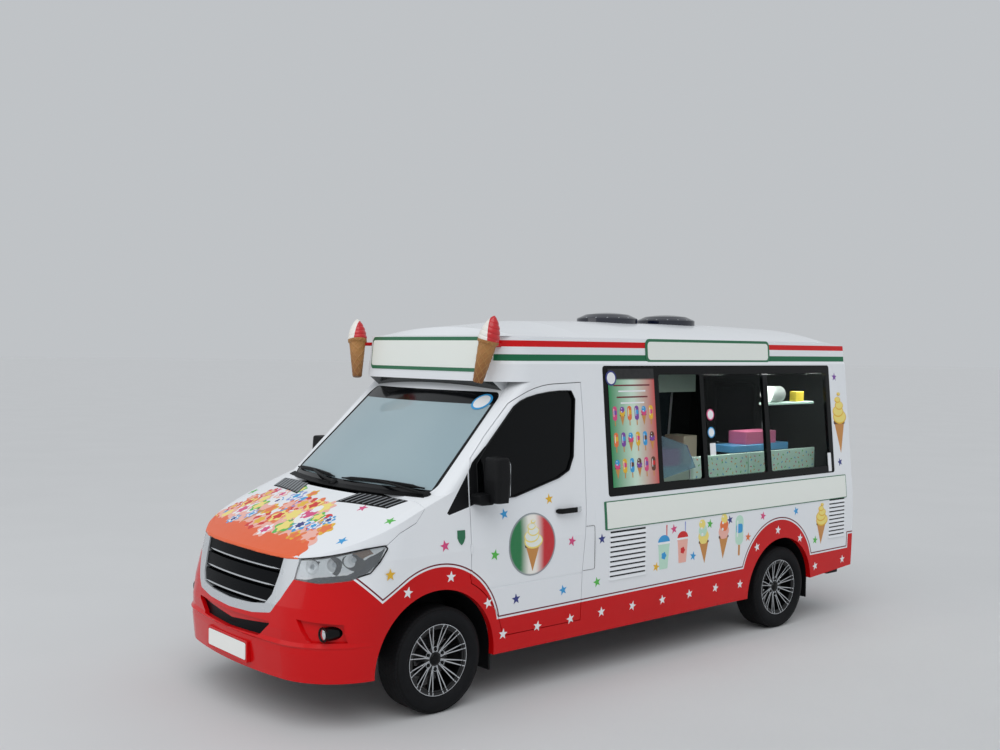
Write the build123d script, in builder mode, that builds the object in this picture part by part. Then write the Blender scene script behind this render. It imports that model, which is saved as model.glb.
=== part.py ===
"""Ice cream truck: a van cab with a serving body, in separate panels, glass, lamps, axles and wheels."""

import os
from math import cos, hypot, radians, sin

from build123d import *

os.makedirs("parts", exist_ok=True)

# The whole vehicle, in millimetres. X points to its left (the serving side), Y to the rear, Z up.
# A station is a distance behind the front axle.
LENGTH = 5740
WHEELBASE = 3665
FRONT_OVERHANG = 1010
FRONT_AXLE = FRONT_OVERHANG - LENGTH / 2
REAR_AXLE = FRONT_AXLE + WHEELBASE
TAIL = LENGTH - FRONT_OVERHANG
SHUT_GAP = 5.5
SEAT_GAP = 0.3

# The body side in cross-section: widest at the hip, leaning in above the belt.
SILL_X, SILL_Z = 985, 310
HIP_X, HIP_Z = 1005, 950
BELT_X, BELT_Z = 990, 1215
EAVE_X, EAVE_Z = 895, 2262
BAND_X, BAND_Z = 880, 2285
CANT_X, CANT_Z = 868, 2455
CAB_SKIN = 50
WALL = 45
CAB_REAR = 1395
SILL_BAND = 100

# The nose in plan, level by level: height, station at the middle, half-width of the front arc,
# station at that arc's ends, and station where the corner runs into the side.
NOSE_LEVELS = (
    (SILL_Z, -985, 600, -935, -470),
    (480, -1002, 600, -954, -470),
    (522, -1002, 600, -954, -468),
    (534, -1013, 600, -965, -474),
    (556, -996, 600, -948, -464),
    (620, -998, 600, -950, -460),
    (760, -988, 560, -942, -420),
    (1042, -915, 520, -880, -330),
    (BELT_Z, -868, 505, -833, -280),
    (1470, -800, 480, -765, -200),
)
# The bonnet's line at the middle, as three points of one arc, and its fall towards the sides.
BONNET_LINE = ((-925, 1052), (-500, 1262), (-100, 1428))
BONNET_FALL = 52
BONNET_SKIN = 26
# Where the bonnet's edge runs along the side, from the lamp to the screen.
BONNET_SHUT = ((-885, 1046), (-560, 1128), (-424, 1142), (-335, 1208), (-205, 1262), (-140, 1335))
COWL_MIDDLE, COWL_SIDE, COWL_HALF = -235, -95, 900

# The screen and the roof pillars in plan, as the nose levels, up to the head of the cab.
HEAD_Z = 2139
SCREEN_LEVELS = (
    (1370, -190, 882, -45, 50),
    (HEAD_Z, 668, 763, 755, 838),
)

# Front sign box in plan, as the nose levels but for its half-width, which follows the side.
BOX_FRONT = 572
BOX_LEVELS = (
    (HEAD_Z, BOX_FRONT - 16, 730, BOX_FRONT, 830),
    (EAVE_Z, BOX_FRONT - 8, 730, BOX_FRONT + 10, 830),
    (BAND_Z, BOX_FRONT - 6, 726, BOX_FRONT + 12, 830),
    (CANT_Z, BOX_FRONT + 10, 716, BOX_FRONT + 28, 830),
)
BOX_SKIN = 25
SOFFIT_HALF = 760
SOFFIT = ((BOX_FRONT + 30, HEAD_Z), (790, HEAD_Z), (700, HEAD_Z - 75))

# Roof dome: station, and height of its crown over the edge of the cant.
ROOF_CROWN = ((CAB_REAR, 133), (2100, 146), (3700, 146), (4420, 130))
ROOF_TAIL_CROWN, ROOF_TAIL_DROP = 52, 30
ROOF_SKIN = 30

# Wheel arches in side view: station and height of the centre, and radius.
FRONT_ARCH = (-33, 333, 478)
REAR_ARCH = (3655, 328, 448)
LINER = 5
WELL_INNER_X = 520
REAR_WELL_INNER_X = 640
# Liners: arch, inner X, depth inside the skin, and half-length and half-height of the axle's notch.
LINERS = (
    (FRONT_ARCH, WELL_INNER_X, CAB_SKIN + 8, (80, 170)),
    (REAR_ARCH, REAR_WELL_INNER_X, WALL, (80, 100)),
)

# Mud flaps: front station, inner and outer X, lowest and highest height.
FLAPS, FLAP = ((448, 700, 930, 195, 440), (4106, 690, 934, 195, 520)), 12

# Wheels: 235/60 R17.
TYRE_R, TYRE_WIDTH = 345, 236
RIM_R, RIM_WIDTH = 222, 190
TRACK_HALF = 866
AXLE_Z = 345
KINGPIN_X = 790

# Serving window on the left side: stations and heights of its black frame.
WINDOW_FRONT, WINDOW_REAR = 1540, 4458
WINDOW_LOW, WINDOW_HIGH = 1288, 2250
FRAME_DEPTH = 30
# Openings in the frame for glass: front station, rear station.
PANES = ((2150, 2640), (2690, 3470), (3530, 4395))
MENU = (1585, 2105)
PANE_LOW, PANE_HIGH = 1352, 2180
GLASS = 6

# Left cab door in side view, as (station, height) points: the front edge up to the roof arc, that
# arc's middle and end, the rear edge down to the sill, and the foot with its arc round the wheel.
DOOR_FRONT = ((236, 824), (236, 1300), (243, 1560), (270, 1634), (410, 1780), (628, 1990))
DOOR_TOP = ((810, 2076), (1039, 2119))
DOOR_REAR = ((1306, 2128), (1316, 1789), (1300, 1204), (1252, 770), (1249, 430))
DOOR_FOOT = ((518, 430), (400, 687))

# Bumper, lamp and grille edges on the nose: (station, height) in side view, (x, height) from the front.
BUMPER_EDGE = (
    (-1200, 250), (-1200, 935), (-880, 926), (-800, 914), (-655, 934), (-560, 970),
    (-420, 615), (-420, 250),
)
LAMP_EDGE = (
    (-1200, 1046), (-885, 1046), (-560, 1128), (-424, 1142), (-481, 1039), (-560, 970),
    (-655, 934), (-800, 914), (-880, 926), (-1200, 935),
)
# Headlamps: depth of the lens and of the housing's face, and bowls as (x, station, height, radius).
LENS, LAMP_FACE = 5, 16
LAMP_BOWLS = ((722, -812, 1000, 52), (810, -742, 1018, 50), (896, -640, 1052, 40))
# Fog lamps: recess seen from the front, its depth, and the lamp's centre, reach and radius.
FOG_RECESS = ((706, 697), (930, 674), (946, 562), (786, 562))
FOG_SINK, FOG_X, FOG_Z, FOG_R, FOG_FRONT, FOG_BACK = 24, 868, 618, 43, -812, -720
GRILLE_OUTER = ((0, 664), (290, 676), (482, 704), (560, 800), (637, 930), (652, 1200), (0, 1200))
GRILLE_INNER = ((0, 722), (260, 732), (420, 752), (472, 815), (500, 940), (518, 1100), (0, 1100))
GRILLE_DEPTH, GRILLE_BACK, SLAT_SINK = 60, 8, 10
SLAT_SLOTS = ((738, 756), (840, 858), (943, 961))
INTAKE = ((0, 536), (372, 545), (505, 650), (0, 640))
SCREEN_OUTLINE = ((0, 1404), (880, 1404), (778, 2064), (0, 2064))
SCREEN_SINK, SCREEN_GLASS = 4, 9

# Number plate seats, front and rear: station of the rim, height, depth behind the rim.
PLATE, PLATE_RIM, PLATE_SINK, PLATE_CORNER = (520, 111), 14, 3, 8
PLATE_SPACING, PLATE_HOLE_R = 300, 3.5
FRONT_PLATE, REAR_PLATE = (-1010, 418, 45), (TAIL + 6, 560, 6)

# Hinges: radius of a knuckle and of its pin, height of the middle knuckle and of the outer ones;
# then the axes as (x, station), each with the heights of its hinges.
HINGE_R, HINGE_PIN_R, HINGE_MIDDLE, HINGE_END, HINGE_PLAY = 7, 3.5, 34, 14, 0.6
DOOR_HINGE = (1006, 233, (880, 1050))
REAR_HINGE = (-676, TAIL + 3, (850, 1450, 2050))

DOOR_INNER_X = 830
# Black trim ahead of the door, at the pillar's foot, as (station, height) points.
QUARTER_TRIM, TRIM_DEPTH = ((42, 1298), (58, 1284), (226, 1324), (226, 1546)), 8
DOOR_CREASE_Z, CREASE = 769, (8, 3)
# Window in the left door, and the mirror on it.
DOOR_WINDOW = (
    (300, 1352), (630, 1362), (1040, 1462), (1146, 1510), (1194, 1604), (1238, 2010), (1205, 2070),
    (1095, 2071), (985, 2064), (880, 2050), (785, 2030), (715, 2005), (655, 1970), (394, 1712), (300, 1600),
)
GLASS_SINK = 10
MIRROR_X, MIRROR_S, MIRROR_Z = 1090, 372, 1503
MIRROR_WIDTH, MIRROR_DEPTH, MIRROR_HEIGHT, MIRROR_CORNER = 170, 130, 297, 38
# Mirror's arm: station, height, length and depth.
MIRROR_ARM = (300, 1375, 120, 72)

# The body wall's foot: what is cut away below, as (station, height) points.
WALL_FOOT = ((3600, 250), (3600, 338), (4140, 378), (TAIL + 50, 425), (TAIL + 50, 250))
# Vent panels on the left wall: front and rear station, lowest and highest height.
VENTS = ((1532, 1930, 675, 1035), (4344, 4600, 702, 1050))
VENT_COUNT, VENT_PROUD = 10, 8
# Window on the right side: front and rear station, lowest and highest height.
OFF_WINDOW = (2690, 4395, 1352, 2180)
REAR_WALL, REAR_FOOT = 40, 425
REAR_DOOR_X, REAR_DOOR_WIDTH, REAR_DOOR_LOW, REAR_DOOR_HIGH = -330, 680, 700, 2200
REAR_GLASS_Z, REAR_GLASS_WIDTH, REAR_GLASS_HEIGHT = 1750, 480, 620
TAIL_LAMP_X, TAIL_LAMP_Z, TAIL_LAMP_WIDTH, TAIL_LAMP_HEIGHT, TAIL_LAMP_DEPTH = 790, 900, 110, 330, 6

LIGHT_STATIONS = (2508, 3259)
LIGHT_R, LIGHT_RIM_Z, LIGHT_TOP_Z = 258, 2632, 2685
# Cone on the left front corner: tip and rim centre as (x, station, height), then radii.
CONE_TIP, CONE_RIM = (751, 475, 2134), (814, 515, 2429)
BRACKET_X, BRACKET_HALF = 784, 22
# Swirl on a cone: share of its radius, share of its height.
SWIRL = (
    (1, 0), (1, 0.16), (0.9, 0.32), (0.84, 0.34), (0.86, 0.46), (0.74, 0.62), (0.66, 0.64),
    (0.64, 0.74), (0.48, 0.88), (0.3, 0.97), (0.1, 1), (0, 1),
)
CONE_TIP_R, CONE_TOP_R, CONE_RIM_R, CONE_SWIRL_R, CONE_SWIRL = 36, 64, 74, 71, 170

FLOOR_TOP, FLOOR_THICK = 680, 40
TOE_BOARD, BULKHEAD_TOP, CAB_FLOOR_X = 100, 1000, 925
RAIL_X, RAIL_WIDTH, RAIL_HEIGHT = 390, 70, 120
RAIL_Z = FLOOR_TOP - FLOOR_THICK - RAIL_HEIGHT / 2
RAIL_FRONT, RAIL_REAR = -820, 4600
CROSS_STATIONS, CROSS_WIDTH, CROSS_HEIGHT, CROSS_DROP = (-300, 900, 2000, 3100, 4300), 90, 70, 25
BUMPER_BEAM, BEAM_HALF, BEAM_HEIGHT, BEAM_DEPTH = -890, 520, 90, 70
ENGINE_FRONT, ENGINE_REAR, ENGINE_LOW, ENGINE_HIGH, ENGINE_WIDTH = -620, 60, 440, 1080, 620

# Tanks: X of the middle, front station, width, length, lowest and highest height.
TANKS = ((650, 1000, 380, 950, 350, 639.7), (-650, 1750, 380, 700, 380, 639.7))
GEARBOX, GEARBOX_REAR, SHAFT_Z, SHAFT_R = (300, 230), 620, 470, 34
STEP_HALF, STEP_FRONT, STEP_LOW, STEP_HIGH = 850, 4560, 330, 415

# Wheels, hubs and knuckles.
FLANGE, FLANGE_R, BEAD_R, BARREL_R = 7, 233, 218, 206
BULGE_R, SHOULDER_R, TREAD_CUT = 286, 326, 34
HUB_FACE, SPOKES = 36, 12
# Gaps between and within the pairs of spokes: start, half-width there and at the rim, turn.
SPOKE_GAPS = ((84, 9, 34, 0), (100, 3, 11, 15))
STUB_R, UPRIGHT_R, UPRIGHT_HALF, PIN_R, PIN_CLEARANCE = 62, 40, 112, 14, 0.05
FORK_PLATE, FORK_GAP = 26, 0.3
SUBFRAME_LOW, SUBFRAME_HIGH, AXLE_DEPTH = 230, 330, 70
BEAM_R, DIFF_R = 45, 150
JACK_STATIONS, JACK_PAD = (620, 2700), (66, 110, 8)
HANGER_REACH, HANGER_STATION, HANGER_LENGTH, SHACKLE = 115, 585, 70, 40
SPRING_X, SPRING_WIDTH, SPRING_HALF, SPRING_THICK = 470, 70, 620, 24

# Cab furniture: outlines as (station, height) points.
DASH = ((120.3, 900), (120.3, 1330), (220, 1345), (430, 1290), (470, 1180), (400, 960), (330, 900))
DASH_HALF, DRIVER_X = 900, -440
WHEEL_S, WHEEL_Z, WHEEL_TILT, STEER_R = 560, 1180, 55, 185
SEAT = ((700, 930), (700, 1040), (1060, 1020), (1150, 1560), (1190, 1880), (1270, 1880), (1260, 1520), (1170, 930))
SEAT_WIDTH = 500
COUNTER_X, COUNTER_TOP = 520, 1275
# Cabinets on the right: front and rear station, depth, lowest and highest height.
CABINETS = (
    (1450, 2640, 480, 680, 1560),
    (2640, 4400, 480, 680, 1250),
    (2640, 4400, 260, 1960, 2261.7),
)


def station(distance):
    """Y of a point this far behind the front axle."""
    return FRONT_AXLE + distance


def side_x(z):
    """Half-width of the body side at a height."""
    if z >= EAVE_Z:
        share = (z - BAND_Z) / (CANT_Z - BAND_Z)
        return EAVE_X if z == EAVE_Z else BAND_X + (CANT_X - BAND_X) * share
    if z >= BELT_Z:
        return BELT_X + (EAVE_X - BELT_X) * (z - BELT_Z) / (EAVE_Z - BELT_Z)
    if z >= HIP_Z:
        return HIP_X - (HIP_X - BELT_X) * ((z - HIP_Z) / (BELT_Z - HIP_Z)) ** 2
    return HIP_X - (HIP_X - SILL_X) * ((HIP_Z - z) / (HIP_Z - SILL_Z)) ** 2


def arc_centre(first, second, third):
    """Centre and radius of the circle through three points."""
    (ax, ay), (bx, by), (cx, cy) = first, second, third
    turn = 2 * (ax * (by - cy) + bx * (cy - ay) + cx * (ay - by))
    sa, sb, sc = ax * ax + ay * ay, bx * bx + by * by, cx * cx + cy * cy
    ux = (sa * (by - cy) + sb * (cy - ay) + sc * (ay - by)) / turn
    uy = (sa * (cx - bx) + sb * (ax - cx) + sc * (bx - ax)) / turn
    return ux, uy, hypot(ax - ux, ay - uy)


def side_strip(outer, inner, start, end):
    """The left body side between two stations, from one depth inside the skin to another."""
    with BuildPart() as strip:
        with BuildSketch(Plane.XZ.offset(-station(start))):
            with BuildLine():
                for depth in (outer, inner):
                    hip = (HIP_X - depth, HIP_Z)
                    TangentArc(hip, (SILL_X - depth, SILL_Z), tangent=(0, -1))
                    TangentArc(hip, (BELT_X - depth, BELT_Z), tangent=(0, 1))
                    Line((BELT_X - depth, BELT_Z), (EAVE_X - depth, EAVE_Z))
                Line((SILL_X - outer, SILL_Z), (SILL_X - inner, SILL_Z))
                Line((EAVE_X - outer, EAVE_Z), (EAVE_X - inner, EAVE_Z))
            make_face()
        extrude(amount=start - end)
    return strip.part


def plan_loft(levels, inset, back, drop=0):
    """Block lofted up through plan sections whose sides follow the body side, less an inset."""
    with BuildPart() as block:
        for z, middle, half, ends, corner in levels:
            wide = side_x(z) - inset
            with BuildSketch(Plane.XY.offset(z - drop)):
                with BuildLine():
                    front = (half - inset / 2, station(ends + inset))
                    flank = (wide, station(corner))
                    ThreePointArc(
                        (-front[0], front[1]), (0, station(middle + inset)), front
                    )
                    for hand in (1, -1):
                        TangentArc(
                            (hand * flank[0], flank[1]),
                            (hand * front[0], front[1]),
                            tangent=(0, -1),
                        )
                        Line((hand * wide, flank[1]), (hand * wide, station(back)))
                    Line((wide, station(back)), (-wide, station(back)))
                make_face()
        loft(ruled=True)
    return block.part


def side_prism(points, reach=1300):
    """Bar across the whole vehicle whose side view is a polygon of (station, height) points."""
    with BuildPart() as prism:
        with BuildSketch(Plane.YZ):
            with BuildLine():
                Polyline(*[(station(s), z) for s, z in points], close=True)
            make_face()
        extrude(amount=reach, both=True)
    return prism.part


def mirrored(solid):
    """The same solid on the other side of the vehicle."""
    return mirror(solid, about=Plane.YZ)


def save(solid, name):
    """Label one sub-part and write it."""
    solid.label = name
    export_step(solid, f"parts/{name}.step")


# The cab's outer skin: nose under the bonnet surface, and the screen and pillars above.
bonnet_y, bonnet_z, bonnet_r = arc_centre(*BONNET_LINE)


def above_bonnet(sink):
    """Everything above the crowned bonnet surface, lowered by an amount."""
    top = bonnet_z + bonnet_r - sink
    with BuildPart() as cutter:
        with BuildSketch(Plane.XZ.offset(-station(bonnet_y))):
            with BuildLine():
                arc = ThreePointArc(
                    (-COWL_HALF, top - BONNET_FALL), (0, top), (COWL_HALF, top - BONNET_FALL)
                )
                Polyline(
                    arc @ 1, (1200, top - 2 * BONNET_FALL), (1200, top + 700),
                    (-1200, top + 700), (-1200, top - 2 * BONNET_FALL), arc @ 0,
                )
            make_face()
        revolve(
            axis=Axis((0, station(bonnet_y), bonnet_z), (1, 0, 0)), revolution_arc=360
        )
    return cutter.part


def cab_block(inset, sink):
    """The cab as a solid, its walls drawn in by an inset and its bonnet lowered by a sink."""
    with BuildPart() as block:
        add(plan_loft(NOSE_LEVELS, inset, CAB_REAR))
        add(above_bonnet(sink), mode=Mode.SUBTRACT)
        add(plan_loft(SCREEN_LEVELS, inset, CAB_REAR))
    return block.part


outer = cab_block(0, 0)
inner = cab_block(CAB_SKIN, BONNET_SKIN)


def door_face(grow):
    """Side view of the left cab door, grown all round by a gap."""
    with BuildSketch(Plane.YZ) as face:
        with BuildLine():
            front = Polyline(
                *[(station(s), z) for s, z in DOOR_FRONT]
            )
            top = ThreePointArc(
                front @ 1, (station(DOOR_TOP[0][0]), DOOR_TOP[0][1]), (station(DOOR_TOP[1][0]), DOOR_TOP[1][1])
            )
            rear = Polyline(top @ 1, *[(station(s), z) for s, z in DOOR_REAR])
            foot = Line(rear @ 1, (station(DOOR_FOOT[0][0]), DOOR_FOOT[0][1]))
            ThreePointArc(
                foot @ 1, (station(DOOR_FOOT[1][0]), DOOR_FOOT[1][1]), front @ 0
            )
        make_face()
        if grow:
            offset(amount=grow, kind=Kind.INTERSECTION)
    return face.sketch_local


def across(face, near, far):
    """Bar with a side-view face, from one X to another."""
    with BuildPart() as bar:
        with BuildSketch(Plane.YZ.offset(near)):
            add(face)
        extrude(amount=far - near)
    return bar.part


def side_polygon(points, rounding=0):
    """Side-view face of a polygon of (station, height) points with rounded corners."""
    with BuildSketch(Plane.YZ) as face:
        with BuildLine():
            Polyline(*[(station(s), z) for s, z in points], close=True)
        make_face()
        if rounding:
            fillet(face.vertices(), rounding)
    return face.sketch_local


def front_polygon(points, rounding=0):
    """Front-view face of a polygon of (x, height) points given for the left half."""
    full = list(points) + [(-x, z) for x, z in reversed(points) if x]
    with BuildSketch(Plane.XZ) as face:
        with BuildLine():
            Polyline(*full, close=True)
        make_face()
        if rounding:
            fillet(face.vertices(), rounding)
    return face.sketch_local


def lengthwise(face, start, end):
    """Bar with a front-view face, from one station to another."""
    with BuildPart() as bar:
        with BuildSketch(Plane.XZ.offset(-station(start))):
            add(face)
        extrude(amount=start - end)
    return bar.part


def arch_bar(arch, near, far, grow=0):
    """Cylinder across the vehicle that opens a wheel arch, between two X."""
    s, z, radius = arch
    with BuildPart() as bar:
        with BuildSketch(Plane.YZ.offset(near)):
            with Locations((station(s), z)):
                Circle(radius + grow)
        extrude(amount=far - near)
    return bar.part


def plate_seat(seat, hand, hole):
    """Raised seat for a number plate, or its recess and bolt holes; hand is -1 at the front."""
    s, z, depth = seat
    grow = 0 if hole else PLATE_RIM
    near = s - hand * (PLATE_SINK if hole else depth)
    with BuildPart() as block:
        with BuildSketch(Plane.XZ.offset(-station(near))):
            with Locations((0, z)):
                RectangleRounded(PLATE[0] + 1 + 2 * grow, PLATE[1] + 1 + 2 * grow, PLATE_CORNER)
        extrude(amount=-hand * (20 if hole else depth))
        if hole:
            with BuildSketch(Plane.XZ.offset(-station(s + hand * 20))):
                with Locations((PLATE_SPACING / 2, z), (-PLATE_SPACING / 2, z)):
                    Circle(PLATE_HOLE_R)
            extrude(amount=hand * 100)
    return block.part


def hinge_parts(hinge, radius, moving):
    """Cylinders on a hinge's axis: the middle knuckles if moving, else the outer ones."""
    x, s, levels = hinge
    spans = []
    for z in levels:
        if moving:
            spans.append((z - HINGE_MIDDLE / 2, z + HINGE_MIDDLE / 2))
        else:
            for hand in (1, -1):
                near = z + hand * (HINGE_MIDDLE / 2 + HINGE_PLAY)
                spans.append(tuple(sorted((near, near + hand * HINGE_END))))
    with BuildPart() as parts:
        for low, high in spans:
            with BuildSketch(Plane.XY.offset(low)):
                with Locations((x, station(s))):
                    Circle(radius)
            extrude(amount=high - low)
    return parts.part


def hinge_pins(hinge, radius):
    """The pins on a hinge's axis, through all three knuckles."""
    x, s, levels = hinge
    reach = HINGE_MIDDLE / 2 + HINGE_PLAY + HINGE_END
    with BuildPart() as pins:
        for z in levels:
            with BuildSketch(Plane.XY.offset(z - reach)):
                with Locations((x, station(s))):
                    Circle(radius)
            extrude(amount=2 * reach)
    return pins.part


def fixed_hinge(hinge):
    """What the fixed side of a hinge loses and gains."""
    return (
        hinge_parts(hinge, HINGE_R + HINGE_PLAY, True),
        hinge_parts(hinge, HINGE_R, False) + hinge_pins(hinge, HINGE_PIN_R),
    )


def moving_hinge(hinge):
    """What the moving side of a hinge loses and gains, and the bore it loses last."""
    return (
        hinge_parts(hinge, HINGE_R + HINGE_PLAY, False),
        hinge_parts(hinge, HINGE_R, True),
        hinge_pins(hinge, HINGE_PIN_R + PIN_CLEARANCE),
    )


# Bonnet, bumper, lamps and grille are cut from the nose's skin by these bars.
bonnet_edge = list(BONNET_SHUT) + [(COWL_SIDE, 1425), (COWL_SIDE, 1800), (-1200, 1800), (-1200, 1046)]
bonnet_bar = side_prism(bonnet_edge)
bumper_bar = side_prism(BUMPER_EDGE)
lamp_bar = side_prism(LAMP_EDGE)
grille_bar = lengthwise(front_polygon(GRILLE_OUTER, 40), -1200, -500)
grille_hole = lengthwise(front_polygon(GRILLE_INNER, 40), -1200, -500)

with BuildPart() as cowl_bar:
    with BuildSketch(Plane.XY.offset(1200)):
        with BuildLine():
            cowl_line = ThreePointArc(
                (-COWL_HALF, station(COWL_SIDE)), (0, station(COWL_MIDDLE)), (COWL_HALF, station(COWL_SIDE))
            )
            Polyline(
                cowl_line @ 1, (1200, station(COWL_SIDE)), (1200, station(800)),
                (-1200, station(800)), (-1200, station(COWL_SIDE)), cowl_line @ 0,
            )
        make_face()
    extrude(amount=600)

with BuildPart() as skin:
    add(outer)
    add(inner, mode=Mode.SUBTRACT)

with BuildPart() as bonnet:
    add(skin.part)
    add(bonnet_bar, mode=Mode.INTERSECT)
    add(cowl_bar.part, mode=Mode.SUBTRACT)
bonnet_opening = side_prism(
    [(s, z - SHUT_GAP) for s, z in BONNET_SHUT]
    + [(COWL_SIDE + SHUT_GAP, 1415), (COWL_SIDE + SHUT_GAP, 1800), (-1200, 1800), (-1200, 1046 - SHUT_GAP)]
)

with BuildPart() as fog_recess:
    add(plan_loft(NOSE_LEVELS, 0, 0))
    add(plan_loft(NOSE_LEVELS, FOG_SINK, 0), mode=Mode.SUBTRACT)
    with BuildSketch(Plane.XZ.offset(-station(-1200))):
        for hand in (1, -1):
            Polygon(*[(hand * x, z) for x, z in FOG_RECESS], align=None)
    extrude(amount=-600, mode=Mode.INTERSECT)

with BuildPart() as fog_lamps:
    with BuildSketch(Plane.XZ.offset(-station(FOG_FRONT))):
        with Locations((FOG_X, FOG_Z), (-FOG_X, FOG_Z)):
            Circle(FOG_R)
    extrude(amount=FOG_FRONT - FOG_BACK)
    chamfer(fog_lamps.faces().group_by(Axis.Y)[0].edges(), 8)

with BuildPart() as front_bumper:
    add(skin.part)
    add(bumper_bar, mode=Mode.INTERSECT)
    add(grille_bar, mode=Mode.SUBTRACT)
    add(arch_bar(FRONT_ARCH, -1200, 1200), mode=Mode.SUBTRACT)
    with BuildSketch(Plane.XZ.offset(-station(-1200))):
        add(front_polygon(INTAKE, 12))
    extrude(amount=-500, mode=Mode.SUBTRACT)
    add(fog_recess.part, mode=Mode.SUBTRACT)
    with BuildSketch(Plane.XZ.offset(-station(-1200))):
        with Locations((FOG_X, FOG_Z), (-FOG_X, FOG_Z)):
            Circle(FOG_R + SEAT_GAP)
    extrude(amount=-600, mode=Mode.SUBTRACT)
    add(plate_seat(FRONT_PLATE, -1, False))
    add(plate_seat(FRONT_PLATE, -1, True), mode=Mode.SUBTRACT)

with BuildPart() as lamp_front:
    add(plan_loft(NOSE_LEVELS, -5, 0))
    add(plan_loft(NOSE_LEVELS, LAMP_FACE, 0), mode=Mode.SUBTRACT)

with BuildPart() as headlamps:
    add(skin.part)
    add(lamp_bar, mode=Mode.INTERSECT)
    add(grille_bar, mode=Mode.SUBTRACT)
    add(lamp_front.part, mode=Mode.SUBTRACT)
    for x, s, z, radius in LAMP_BOWLS:
        with Locations((x, station(s), z), (-x, station(s), z)):
            Sphere(radius, mode=Mode.SUBTRACT)

with BuildPart() as lamp_lenses:
    add(outer)
    add(cab_block(LENS, LENS), mode=Mode.SUBTRACT)
    add(lamp_bar, mode=Mode.INTERSECT)
    add(grille_bar, mode=Mode.SUBTRACT)

with BuildPart() as grille_surround:
    add(skin.part)
    add(grille_bar, mode=Mode.INTERSECT)
    add(grille_hole, mode=Mode.SUBTRACT)
    add(bonnet_opening, mode=Mode.SUBTRACT)

grille_back = plan_loft(NOSE_LEVELS, GRILLE_DEPTH, 0)
with BuildPart() as grille_slats:
    add(plan_loft(NOSE_LEVELS, SLAT_SINK, 0))
    add(grille_back, mode=Mode.SUBTRACT)
    for low, high in SLAT_SLOTS:
        with BuildPart(mode=Mode.PRIVATE) as slot:
            add(plan_loft(NOSE_LEVELS, GRILLE_DEPTH - GRILLE_BACK, 0))
            with Locations((0, 0, -5000 + low)):
                Box(9000, 9000, 10000, mode=Mode.SUBTRACT)
            with Locations((0, 0, 5000 + high)):
                Box(9000, 9000, 10000, mode=Mode.SUBTRACT)
        with BuildPart(mode=Mode.PRIVATE) as band:
            with Locations((0, station(-700), (low + high) / 2)):
                Box(2000, 1000, high - low)
            add(slot.part, mode=Mode.SUBTRACT)
        add(band.part, mode=Mode.SUBTRACT)
    add(grille_hole, mode=Mode.INTERSECT)
    add(bonnet_opening, mode=Mode.SUBTRACT)

screen_bar = lengthwise(front_polygon(SCREEN_OUTLINE, 70), -600, 900)
with BuildPart() as windscreen:
    add(plan_loft(SCREEN_LEVELS, SCREEN_SINK, 1300))
    add(plan_loft(SCREEN_LEVELS, SCREEN_SINK + SCREEN_GLASS, 1300), mode=Mode.SUBTRACT)
    add(screen_bar, mode=Mode.INTERSECT)

with BuildPart() as quarter_trims:
    add(outer)
    add(cab_block(TRIM_DEPTH, TRIM_DEPTH), mode=Mode.SUBTRACT)
    add(side_prism(QUARTER_TRIM), mode=Mode.INTERSECT)
    with Locations((0, 0, 0)):
        Box(2 * DOOR_INNER_X, 9000, 9000, mode=Mode.SUBTRACT)

with BuildPart() as cab_shell:
    add(skin.part)
    add(quarter_trims.part, mode=Mode.SUBTRACT)
    add(bonnet_opening, mode=Mode.SUBTRACT)
    add(bumper_bar, mode=Mode.SUBTRACT)
    add(lamp_bar, mode=Mode.SUBTRACT)
    add(grille_bar, mode=Mode.SUBTRACT)
    add(screen_bar, mode=Mode.SUBTRACT)
    add(arch_bar(FRONT_ARCH, -1200, 1200), mode=Mode.SUBTRACT)
    for hand in (1, -1):
        add(across(door_face(SHUT_GAP), hand * (DOOR_INNER_X - SHUT_GAP), hand * 1300), mode=Mode.SUBTRACT)
    for turn in (lambda solid: solid, mirrored):
        lost, gained = fixed_hinge(DOOR_HINGE)
        add(turn(lost), mode=Mode.SUBTRACT)
        add(turn(gained))

# Cab doors: skin, window, glass and mirror, made on the left and mirrored.
with BuildPart() as door:
    add(skin.part)
    add(across(door_face(0), DOOR_INNER_X, 1300), mode=Mode.INTERSECT)
    add(across(side_polygon(DOOR_WINDOW, 30), 400, 1300), mode=Mode.SUBTRACT)
    with BuildPart(mode=Mode.PRIVATE) as crease:
        add(side_strip(0, CREASE[1], DOOR_FRONT[0][0], CAB_REAR))
        with Locations((0, 0, DOOR_CREASE_Z)):
            Box(3000, 9000, CREASE[0], mode=Mode.INTERSECT)
    add(crease.part, mode=Mode.SUBTRACT)
    lost, gained, bore = moving_hinge(DOOR_HINGE)
    add(lost, mode=Mode.SUBTRACT)
    add(gained)
    add(bore, mode=Mode.SUBTRACT)

with BuildPart() as door_glass:
    add(side_strip(GLASS_SINK, GLASS_SINK + GLASS, 0, CAB_REAR))
    with BuildSketch(Plane.YZ) as glass_face:
        add(side_polygon(DOOR_WINDOW, 30))
        offset(amount=-SEAT_GAP)
    add(across(glass_face.sketch_local, 400, 1300), mode=Mode.INTERSECT)

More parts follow.
